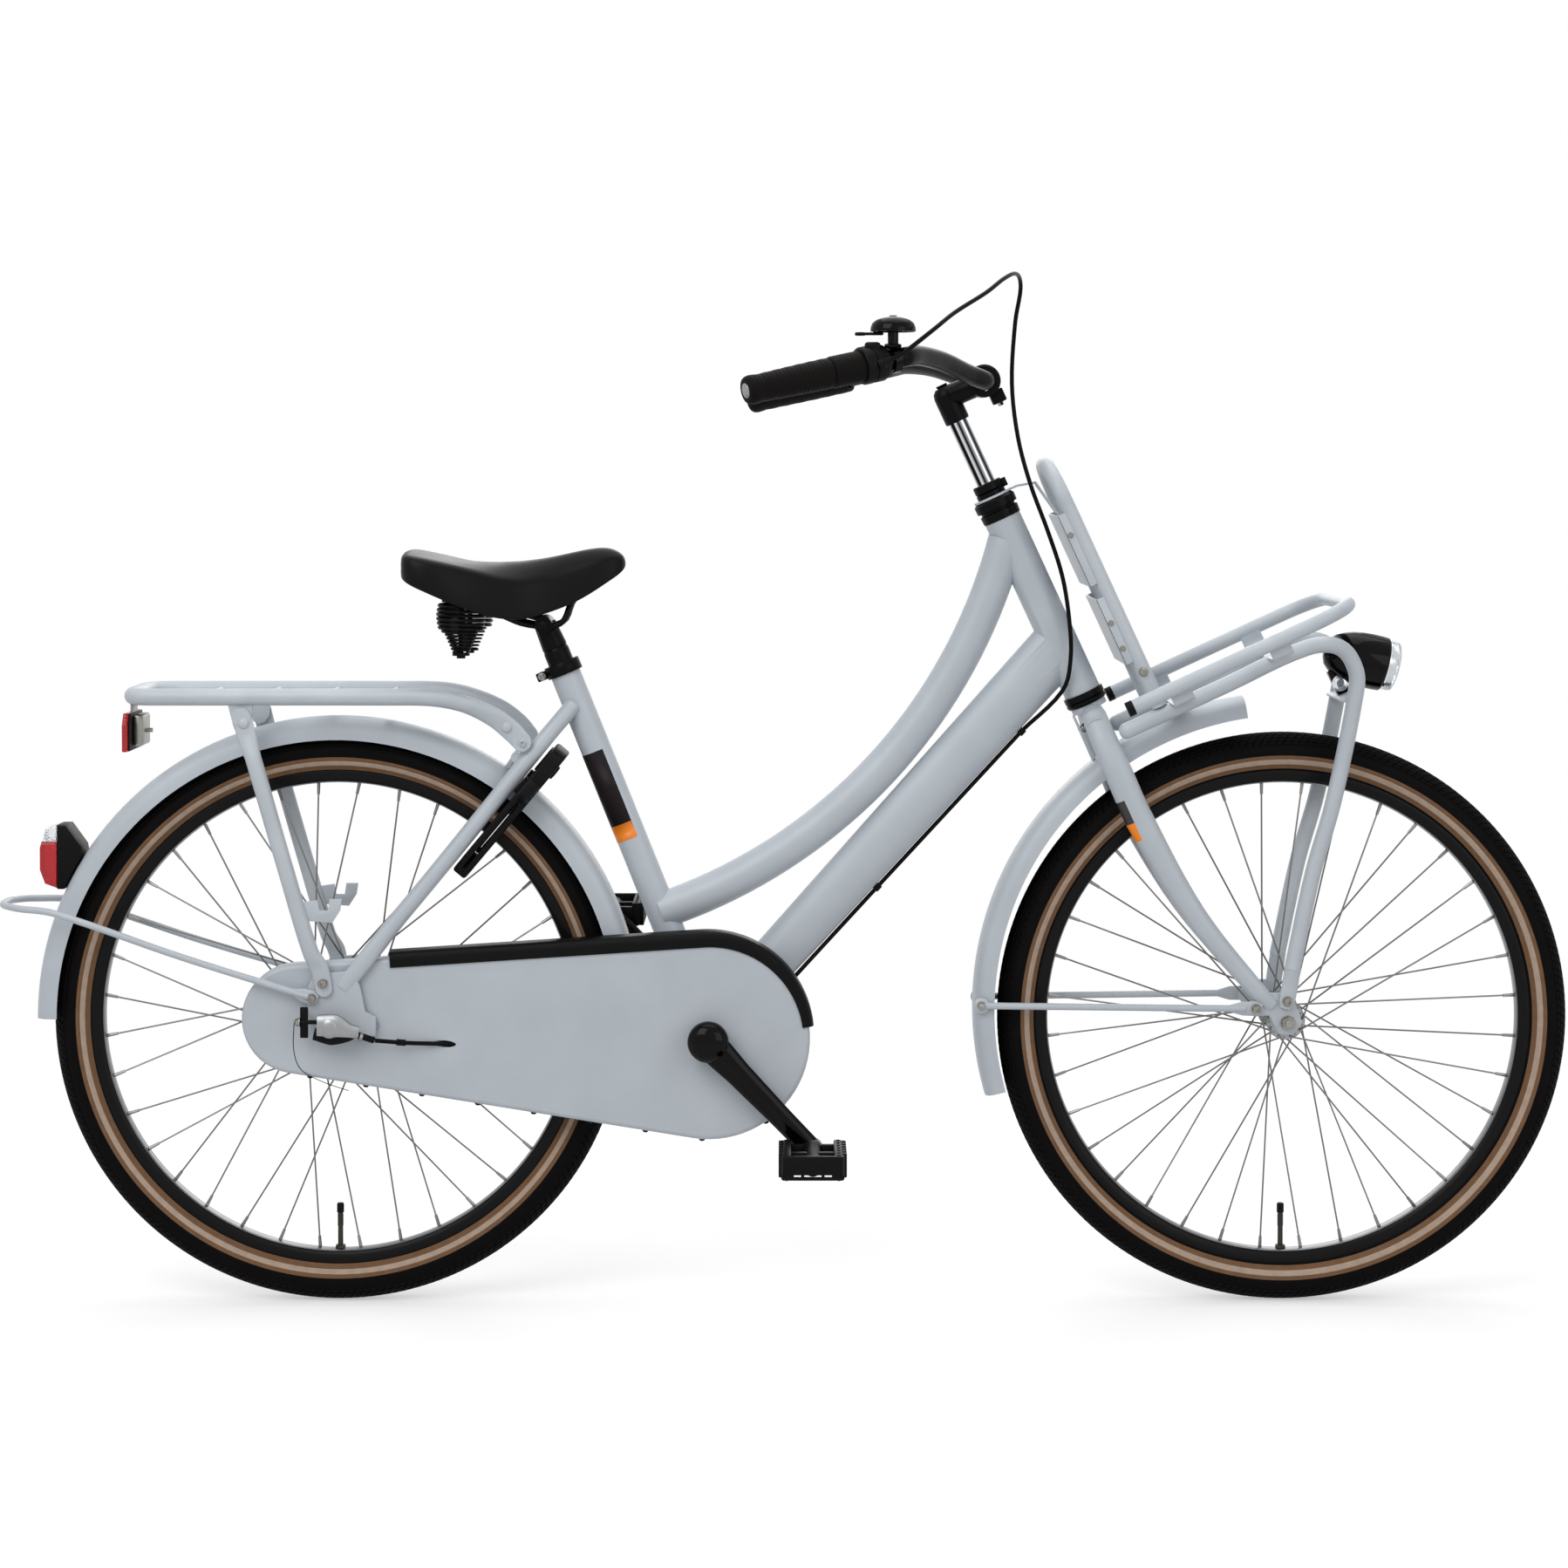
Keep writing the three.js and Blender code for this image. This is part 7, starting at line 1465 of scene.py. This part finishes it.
class BICYCLE_OT_lock(bpy.types.Operator):
    """Build the ring lock with its sliding bow"""
    bl_idname = "bicycle.lock"
    bl_label = "Ring lock"

    def execute(self, context):
        out = circle(1, LOCK_LEAN)
        place = Matrix((Y, Vector((-out.z, 0, out.x)), out)).transposed().to_4x4()
        place.translation = REAR_AT

        def ring(bm, shape, bevel=0):
            *sizes, half = shape
            plate(bm, ring_part(*sizes), -half, half, bevel, place)

        bm = bmesh.new()
        outline = LOCK_SHAPE + [(-x, z) for x, z in LOCK_SHAPE[-2:0:-1]]
        plate(bm, outline, -LOCK_HALF, LOCK_HALF, 3, place, 3)
        piece = settle(bm, "lock_case", "abs", "frame", "ring_lock_body", 40)
        carve(piece, lambda b: ring(b, BOW_ROOM), lambda b: ring(b, LEVER_ROOM))
        bm = bmesh.new()
        for low, high in ((-50, -40), (40, 50)):
            block(bm, (low, 7, 335), (high, 13, 357), 1, place)
        block(bm, (-20, 8.5, 366), (20, 11, 396), 1, place)
        key_at, key_way = place @ at(*KEY_AT), place.to_3x3() @ -Y
        turn(bm, KEY_BOSS, key_at, key_way, 28)
        mark(bm, 0)
        turn(bm, KEY_FACE, key_at, key_way, 24)
        mark(bm, 1)
        settle(bm, "lock_fittings", "abs cast", "frame")
        bm = bmesh.new()
        turns = [circle(BOW_RADIUS, BOW_FROM + BOW_SWEEP * i / BOW_STEPS) for i in range(BOW_STEPS + 1)]
        line = [place @ at(p.x, 0, LOCK_MIDDLE + p.z) for p in turns]
        sweep(bm, line, [(BOW_HALF_WIDE,) * 2] * len(line), 16)
        mark(bm, 1)
        ring(bm, LEVER_NECK)
        ring(bm, LEVER_KNOB, 1.5)
        settle(bm, "lock_shackle", "abs chrome", "lock_bow", "lock_bow")
        return {"FINISHED"}


# From the down tube's face to the middle of the cable
CABLE_OFF = 2.8


def under_down_tube(share, y):
    """A point of the cable's line under the down tube."""
    low, high = BRACKET_AT, steer(*DOWN_TUBE_TOP)
    way = (high - low).normalized()
    near, far = DOWN_TUBE_SIZES[0][1], DOWN_TUBE_SIZES[-1][1]
    off = (near + (far - near) * share + CABLE_OFF) * MM
    return low.lerp(high, share) + Vector((way.z * off, y * MM, -way.x * off))


# The gear cable's fixed run: under the down tube, past the bracket, through the case to the changer
GEAR_CABLE = [under_down_tube(*p) for p in ((0.82, 0), (0.6, -1), (0.38, -2), (0.2, -6), (0.12, -12))]
GEAR_CABLE += [at(BRACKET[0] + x, y, BRACKET[2] + z)
               for x, y, z in ((34, -30, -13), (2, -29, -31), (-54, -29, -24), (-115, -31, -16))]
GEAR_CABLE += [rear(*p) for p in ((214, -42, -28), (144, -56, -24), (114, -65, -22), (84, -72, -20),
                                  (50, -80, -16))]
CASE_RADII, CASE_OUTSIDE, CASE_INSIDE, CASE_EASE, CASE_WALL = (116, 63), -61, -35, 5, 1.6
# Axle, the two distances across the bicycle and diameter of each hole in the case
CASE_HOLES = [(BRACKET, -41, -29, 46), (REAR_AXLE, -41, -29, 50), (REAR_AXLE, -67, -55, 22),
              (BRACKET, -67, -55, 24)]
# The dark strip over the top edge: its section, (across, outward), and where it begins
STRIP_SECTION = [(-36, 0.3), (-56, 0.3), (-59.5, -1), (-61.3, -4), (-61.3, -11), (-62.8, -11), (-62.8, -2),
                 (-62.2, 3), (-59, 6.4), (-54, 7), (-36, 7)]
STRIP_FROM, STRIP_TAPER, EDGE_STEPS = BRACKET[0] - 364, 0.3, 60
SEAM = [(-560, -61.05, 330), (-560.5, -61.05, 300), (-553, -61.05, 278), (-532, -61.05, 265),
        (-508, -61.05, 256), (-498, -61.05, 253)]
CASE_SCREWS, CASE_SCREW = 9, [(0, 3.4), (2.4, 3.2), (3.6, 1.6), (3.8, 0), (0, -0.2)]


def belt(front_radius, rear_radius, steps=40):
    """The chain case's outline: a belt round two circles."""
    front = Vector((BRACKET[0], BRACKET[2]))
    back = Vector((REAR_AXLE[0] - 42, REAR_AXLE[2] + 5))
    way = back - front
    lean = math.asin((front_radius - rear_radius) / way.length)
    line = math.atan2(way.y, way.x)
    top, bottom = line - math.pi / 2 + lean, line + math.pi / 2 - lean
    points = []
    for middle, radius, start, end, count in ((front, front_radius, top, bottom - math.tau, steps),
                                              (back, rear_radius, bottom, top, steps // 2)):
        for i in range(count + 1):
            t = start + (end - start) * i / count
            points.append((middle.x + radius * math.cos(t), middle.y + radius * math.sin(t)))
    return points


def strip_path(outline):
    """Points and outward directions of the chain case's top edge, from where the strip begins."""
    upper = sorted((p for p in outline if p[1] > 330), key=lambda p: p[0])
    after = next(i for i, p in enumerate(upper) if p[0] > STRIP_FROM)
    (x0, z0), (x1, z1) = upper[after - 1], upper[after]
    points = [(STRIP_FROM, z0 + (z1 - z0) * (STRIP_FROM - x0) / (x1 - x0))]
    points += sorted((p for p in outline if p[1] > 325 and p[0] > STRIP_FROM), key=lambda p: p[0])
    found = []
    for i, (x, z) in enumerate(points):
        a, b = points[max(i - 1, 0)], points[min(i + 1, len(points) - 1)]
        along = Vector((b[0] - a[0], 0, b[1] - a[1])).normalized()
        found.append((at(x, 0, z), Vector((-along.z, 0, along.x))))
    return found


def low_points(outline, count):
    """Evenly spaced points on the case's lower edge."""
    low = sorted((p for p in outline if p[1] < 274), key=lambda p: p[0])
    dense = []
    for (x0, z0), (x1, z1) in zip(low, low[1:]):
        steps = max(int((x1 - x0) / 2), 1)
        dense += [(x0 + (x1 - x0) * i / steps, z0 + (z1 - z0) * i / steps) for i in range(steps)]
    return [dense[int((i + 0.5) * len(dense) / count)] for i in range(count)]


def ring_edges(bm, ring):
    """The edges of a closed ring of vertices."""
    return [bm.edges.get(p) or bm.edges.new(p) for p in zip(ring, ring[1:] + ring[:1])]


class BICYCLE_OT_chain_case(bpy.types.Operator):
    """Build the chain case with its strip, seam and screws"""
    bl_idname = "bicycle.chain_case"
    bl_label = "Chain case"

    def execute(self, context):
        bm = bmesh.new()
        plate(bm, belt(*CASE_RADII), CASE_OUTSIDE, CASE_INSIDE, CASE_EASE, segments=4)
        piece = settle(bm, "chain_case_shell", "paint", "frame", "chain_case", 40)
        stay = [rear(x, -y, z) for x, y, z in CHAIN_STAY]
        stay_sizes = [(p + 1, q + 1) for p, q in CHAIN_STAY_SIZES]
        inner = belt(*[r - CASE_WALL for r in CASE_RADII])
        walls = CASE_OUTSIDE + CASE_WALL, CASE_INSIDE - CASE_WALL, CASE_EASE - CASE_WALL

        def hole(axle, low, high, diameter):
            ends = [at(axle[0], y, axle[2]) for y in (low, high)]
            return lambda b: rod(b, *ends, diameter, sides=40)

        carve(piece,
              lambda b: plate(b, inner, *walls),
              lambda b: limb(b, stay, stay_sizes, 5, 20),
              *[hole(*sizes) for sizes in CASE_HOLES],
              lambda b: tube(b, GEAR_CABLE, 8, 4, 12))

        bm = bmesh.new()
        strip = strip_path(belt(*CASE_RADII, EDGE_STEPS))
        rings = []
        for i, (point, normal) in enumerate(strip):
            taper = 1 - STRIP_TAPER * i / len(strip)
            rings.append([bm.verts.new(point + (Y * a + normal * b * taper) * MM) for a, b in STRIP_SECTION])
        for here, after in zip(rings, rings[1:]):
            bmesh.ops.bridge_loops(bm, edges=ring_edges(bm, here) + ring_edges(bm, after))
        for ring in (rings[0], rings[-1]):
            bmesh.ops.edgeloop_fill(bm, edges=ring_edges(bm, ring))
        settle(bm, "case_top_strip", "abs", "frame", "chain_case_trim", 40)

        # The seam of the rear cover, pressed as a thin dark line, and the screws along the lower edge
        bm = bmesh.new()
        tube(bm, [at(*p) for p in SEAM], 0.9, 6, 8)
        for x, z in low_points(belt(*[r + 0.2 for r in CASE_RADII], EDGE_STEPS), CASE_SCREWS):
            out = (Vector((x, z)) - Vector((BRACKET[0], BRACKET[2] + 40))).normalized()
            turn(bm, CASE_SCREW, at(x, -48, z), Vector((out.x * 0.2, 0, -1)), 16)
        settle(bm, "case_seam_and_screws", "abs", "frame")
        return {"FINISHED"}


CRANK_LONG, CRANK_DEGREES = 0.17, {"right": -46, "left": 134}
CRANK_HUB = [(0, 75), (20, 75), (23, 77), (23.6, 80), (23.6, 84), (22.8, 88.5), (20, 92.6), (15, 95.6),
             (8, 97.5), (0, 98)]
# Distances along the arm and outwards, in metres, then the sections there
CRANK_ARM = [(0.012, 0.0835), (0.05, 0.083), (0.12, 0.083), (CRANK_LONG, 0.083)]
CRANK_SIZES = [(7.4, 18), (7.2, 15), (7, 13), (7.4, 12.5)]
CRANK_EYE = [(0, 75.2), (11, 75.2), (13, 76.5), (13, 89.5), (11, 90.8), (0, 90.8)]
SPINDLE, SPINDLE_FLAT = [(0, 182), (5, 182), (5, 89), (0, 89)], (0.0908, 0.0926, 15)
PEDAL_IN, PEDAL_OUT, PEDAL_TALL = 93, 190, 13.5
TEETH, TOOTH_FIRST, TOOTH_STEP, TOOTH_LONG, LAST_TOOTH = 7, 7, 13.9, 38, 35
TOOTH_PIN = [(0, 14.6), (1.6, 14.6), (2.2, 13.4), (0, 13)]
# The lower edge's webs between the slots of the pedal's outer end
END_WEBS = ((-33, -21), (-13, -9.5), (9.5, 13), (21, 33))
BARREL = [(5.6, PEDAL_IN), (12, PEDAL_IN), (13, PEDAL_IN + 1), (13, PEDAL_IN + 7), (10.5, PEDAL_IN + 12),
          (10.5, PEDAL_OUT - 8), (9, PEDAL_OUT - 3), (5.6, PEDAL_OUT - 3)]
PEDAL_REFLECTOR = (119.5, 163.5)


class BICYCLE_OT_cranks(bpy.types.Operator):
    """Forge the cranks and mould the pedals"""
    bl_idname = "bicycle.cranks"
    bl_label = "Cranks and pedals"

    def execute(self, context):
        for name, side in SIDES.items():
            way, out = circle(1, CRANK_DEGREES[name]), Y * side
            eye = BRACKET_AT + way * CRANK_LONG
            bm = bmesh.new()
            turn(bm, CRANK_HUB, BRACKET_AT, out, 48)
            limb(bm, [BRACKET_AT + way * along + out * off for along, off in CRANK_ARM], CRANK_SIZES, 8, 24)
            turn(bm, CRANK_EYE, eye, out, 36)
            mark(bm, 0)
            turn(bm, SPINDLE, eye, out, 20)
            low, high, wide = SPINDLE_FLAT
            rod(bm, eye + out * low, eye + out * high, wide, sides=6)
            mark(bm, 1)
            settle(bm, f"{name}_crank_forged", "gloss zinc", "crankset", f"{name}_crank")

            # The pedal: a toothed cage round the spindle's barrel, with two cross bars
            bm = bmesh.new()
            spot = Matrix.Translation(eye)

            def box(x_ends, y_ends, z_ends, bevel):
                low, high = zip(*[sorted(ends) for ends in (x_ends, [side * y for y in y_ends], z_ends)])
                block(bm, low, high, bevel, spot)

            tall = (-PEDAL_TALL, PEDAL_TALL)
            for front in (-1, 1):
                box((front * 24, front * 33), (PEDAL_IN, PEDAL_OUT - 5), tall, 1.5)
                for i in range(TEETH):
                    y = PEDAL_IN + TOOTH_FIRST + i * TOOTH_STEP
                    tip = LAST_TOOTH if i == TEETH - 1 else TOOTH_LONG
                    box((front * 32, front * tip), (y - 3.4, y + 3.4), tall, 1.2)
                    for up in (-1, 1):
                        turn(bm, TOOTH_PIN, eye + at(front * 29, side * y, 0), Z * up, 10)
            # The outer end: a full-height plate with three slots above its lower edge
            box((-34, 34), (PEDAL_OUT - 7, PEDAL_OUT), (-7.6, PEDAL_TALL), 1.5)
            box((-34, 34), (PEDAL_OUT - 7, PEDAL_OUT), (-PEDAL_TALL, -10), 1.5)
            for web in END_WEBS:
                box(web, (PEDAL_OUT - 6.5, PEDAL_OUT - 0.5), (-11.5, -6), 0.4)
            for y in (PEDAL_IN + 4.5, (PEDAL_IN + PEDAL_OUT) / 2):
                for ends in ((-29, -6), (6, 29)):
                    box(ends, (y - 4, y + 4), (-9, 9), 1.5)
            turn(bm, BARREL, eye, out, 32, closed=True)
            mark(bm, 0)
            for front in (-1, 1):
                box((front * 33, front * 33.6), PEDAL_REFLECTOR, (-8, 8), 0.2)
            mark(bm, 1)
            settle(bm, f"{name}_pedal_moulded", "abs orange", f"{name}_pedal",
                   f"{name}_pedal")
        return {"FINISHED"}


CLIP_SHARES = (0.826, 0.42)
# The free loop from the shifter to the down tube, as the photograph shows it
LOOP = [(160, -237, 1113), (186, -206, 1134), (223, -165, 1158), (246, -130, 1176), (262, -90, 1182.2),
        (268, -62, 1168), (263, -46, 1130), (260, -36, 1061), (267, -33, 1000), (281, -33, 947),
        (302, -35, 890), (318, -37, 840), (326, -38, 790), (328, -34, 745), (320, -22, 708)]
LOOP_START, LOOP_END = (0.0165, 0.0305), (0.828, 0)
# The changer's cast cover on the axle's end, its dark shield and the rod of its adjuster
CHANGER = [(0, 0), (13.5, 0), (13.5, 3), (12.8, 8), (10.5, 11), (6, 12.6), (0, 13)]
CHANGER_ARM = [(-14, -90, 2), (6, -90, 1), (22, -89.5, -4), (33, -89, -5)]
CHANGER_ARM_SIZES = [(5.6, 13), (5.6, 14.5), (5.2, 9), (4.4, 6.5)]
SHIELD = [(-18, -88.6, -7), (2, -88.6, -11), (20, -88.6, -10), (30, -88.4, -7)]
SHIELD_SIZES = [(4.6, 7), (4.8, 9), (4.6, 6), (3.8, 4)]
SHIELD_FIN = (REAR_AXLE[0] - 34, -87.6, 317.5), (REAR_AXLE[0] - 25, -83.7, 352.5)
# Centre, half the width between the fork ends or dropouts, and body
AXLES = {"front": (FRONT_AT, FORK_END_INNER, "steering"), "rear": (REAR_AT, DROPOUT_INNER, "frame")}
AXLE_CONE = [(0, -4.5), (8, -4.5), (8, -0.4), (4.75, -0.4), (4.75, 6), (0, 6)]
AXLE_END = [(4, 8), (4.75, 8.6), (4.75, 12.2), (4, 12.9), (0, 12.9)]


class BICYCLE_OT_gear(bpy.types.Operator):
    """Lay the gear cable and its free loop, and build the changer and the axle nuts"""
    bl_idname = "bicycle.gear"
    bl_label = "Gear cable and changer"

    def execute(self, context):
        bm = bmesh.new()
        tube(bm, GEAR_CABLE, 5, 6, 14)
        # Clips that hold it to the down tube, and the ferrule at the changer
        way = (steer(*DOWN_TUBE_TOP) - BRACKET_AT).normalized()
        for share in CLIP_SHARES:
            centre = under_down_tube(share, -1)
            rod(bm, centre - way * 0.004, centre + way * 0.004, 8.4)
        rod(bm, GEAR_CABLE[-2], GEAR_CABLE[-2].lerp(GEAR_CABLE[-1], 0.3), 7.4)
        settle(bm, "gear_cable_laid", "sheath", "frame", "gear_cable")

        line = [CABLE_STOP_AT + CABLE_WAY * distance for distance in LOOP_START]
        line += [at(*p) for p in LOOP] + [under_down_tube(*LOOP_END)]
        path, sizes = refine(line, [(2.5, 2.5)] * len(line), 5)
        bm = bmesh.new()
        sweep(bm, path, sizes, 14)
        loop = settle(bm, "cable_loop_free", "sheath", None)
        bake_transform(loop)
        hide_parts("cable_loop")

        bm = bmesh.new()
        turn(bm, CHANGER, rear(0, -83.65, 0), -Y, 40)
        limb(bm, [rear(*p) for p in CHANGER_ARM], CHANGER_ARM_SIZES, 6, 24)
        mark(bm, 0)
        limb(bm, [rear(*p) for p in SHIELD], SHIELD_SIZES, 6, 20)
        block(bm, *SHIELD_FIN, 1)
        rod(bm, rear(-40, -86.6, 6), rear(0, -86.6, 6), 5)
        mark(bm, 1)
        nut(bm, rear(-34, -86.6, 6), -X, 8, 5)
        rod(bm, rear(33, -87.6, -9.8), rear(36, -86.6, -10.8), 9.4, sides=16)
        mark(bm, 2)
        rod(bm, rear(24, -87.6, -6), rear(49, -80.5, -15.7), 7.4)
        mark(bm, 1)
        settle(bm, "changer_cast", "cast abs zinc", "frame", "gear_changer")

        for name, (centre, half, body) in AXLES.items():
            bm = bmesh.new()
            rod(bm, centre - Y * (half - 1) * MM, centre + Y * (half - 1) * MM, 9.5)
            for out in (-Y, Y):
                turn(bm, [(r, half + off) for r, off in AXLE_CONE], centre, out, 24)
                outer = centre + out * (half + 5.5) * MM
                rod(bm, outer, outer + out * 0.0016, 17)
                rod(bm, outer + out * 0.0015, outer + out * 0.009, 16.4, 16, 6)
                turn(bm, AXLE_END, outer, out, 24)
            settle(bm, f"{name}_axle_and_nuts", "zinc", body, f"{name}_axle")
        return {"FINISHED"}


KEPT = {"chain": "dark", "chainring": "zinc", "sprocket": "dark", "crank_axle": "zinc", "brake_arm": "zinc"}


class BICYCLE_OT_kept_nodes(bpy.types.Operator):
    """Finish the solids that keep their shape"""
    bl_idname = "bicycle.kept_nodes"
    bl_label = "Kept solids"

    def execute(self, context):
        for name, look in KEPT.items():
            materials = NODES[name].data.materials
            materials.clear()
            materials.append(FINISH[look])
        return {"FINISHED"}


# Name, place, size and watts of each lamp, which all look at the bicycle's middle
LAMPS = (("key", (-1.6, -2.6, 2.9), 2.4, 62), ("fill", (2.4, -2.8, 1.5), 2.2, 22),
         ("top", (0.2, 0.4, 3.2), 2.6, 34), ("rim", (0.3, 2.9, 1.9), 2.2, 26))
LAMP_AIM = Vector((0, 0, 0.55))
# The photograph's focal length and width, in its pixels
FOCAL_PIXELS, PICTURE_WIDE = 3926.3, 1798
CAMERA_AT, CAMERA_SHIFT, CAMERA_DIP = (-0.0006, -3.955, 0.9705), -0.15, 1.45


def stand(scene, name, data, place):
    """Puts a lamp or camera into the scene."""
    holder = bpy.data.objects.new(name, data)
    holder.location = place
    scene.collection.objects.link(holder)
    return holder


class BICYCLE_OT_stage(bpy.types.Operator):
    """Lay the floor, set the lamps and place the camera"""
    bl_idname = "bicycle.stage"
    bl_label = "Stage"

    def execute(self, context):
        scene = context.scene
        scene.view_settings.view_transform = "Standard"
        bm = bmesh.new()
        bmesh.ops.create_grid(bm, x_segments=1, y_segments=1, size=20)
        FINISH["studio"] = studio_floor()
        settle(bm, "floor", "studio", None)
        scene.world = bpy.data.worlds.new("studio")
        scene.world.use_nodes = True
        tree = scene.world.node_tree
        background = tree.nodes["Background"].inputs
        background["Color"].default_value = (1, 1, 1, 1)
        shown = reckon(tree, "MAXIMUM", seen(tree), add(tree, "LightPath").outputs["Is Transmission Ray"])
        tree.links.new(background["Strength"], span(tree, shown, To_Min=0.5, To_Max=1.0))
        for name, place, size, power in LAMPS:
            lamp = bpy.data.lights.new(name, "AREA")
            lamp.size, lamp.energy = size, power
            holder = stand(scene, name, lamp, place)
            holder.rotation_euler = (LAMP_AIM - Vector(place)).to_track_quat("-Z", "Y").to_euler()
        camera = bpy.data.cameras.new("camera")
        camera.sensor_width = 36
        camera.lens = FOCAL_PIXELS * camera.sensor_width / PICTURE_WIDE
        camera.shift_y = CAMERA_SHIFT
        camera.clip_end = 60
        scene.camera = stand(scene, "camera", camera, CAMERA_AT)
        scene.camera.rotation_euler = (math.radians(90 - CAMERA_DIP), 0, 0)
        return {"FINISHED"}


class BICYCLE_PT_panel(bpy.types.Panel):
    """Lists the bicycle's sizes, colours and pieces"""
    bl_idname = "BICYCLE_PT_panel"
    bl_label = "Bicycle"
    bl_space_type = "VIEW_3D"
    bl_region_type = "UI"
    bl_category = "Bicycle"

    def draw(self, context):
        for group in (context.scene.bicycle_wheels, context.scene.bicycle_tubes, context.scene.bicycle_look):
            for name in group.__annotations__:
                self.layout.prop(group, name)
        for step in STEPS:
            self.layout.operator(step.bl_idname)


STEPS = (BICYCLE_OT_stage, BICYCLE_OT_finishes, BICYCLE_OT_tyres, BICYCLE_OT_rims, BICYCLE_OT_spokes,
         BICYCLE_OT_frame, BICYCLE_OT_fork, BICYCLE_OT_cockpit, BICYCLE_OT_saddle, BICYCLE_OT_mudguards,
         BICYCLE_OT_rear_carrier, BICYCLE_OT_front_carrier, BICYCLE_OT_lamps, BICYCLE_OT_lock,
         BICYCLE_OT_chain_case, BICYCLE_OT_cranks, BICYCLE_OT_gear, BICYCLE_OT_kept_nodes)
CLASSES = (BicycleWheelSizes, BicycleTubeSizes, BicycleLook, *STEPS, BICYCLE_PT_panel)


def register():
    for item in CLASSES:
        bpy.utils.register_class(item)
    bpy.types.Scene.bicycle_wheels = bpy.props.PointerProperty(type=BicycleWheelSizes)
    bpy.types.Scene.bicycle_tubes = bpy.props.PointerProperty(type=BicycleTubeSizes)
    bpy.types.Scene.bicycle_look = bpy.props.PointerProperty(type=BicycleLook)


def unregister():
    del bpy.types.Scene.bicycle_look
    del bpy.types.Scene.bicycle_tubes
    del bpy.types.Scene.bicycle_wheels
    for item in reversed(CLASSES):
        bpy.utils.unregister_class(item)


def main():
    register()
    for step in STEPS:
        group, name = step.bl_idname.split(".")
        getattr(getattr(bpy.ops, group), name)()


if __name__ == "__main__":
    main()
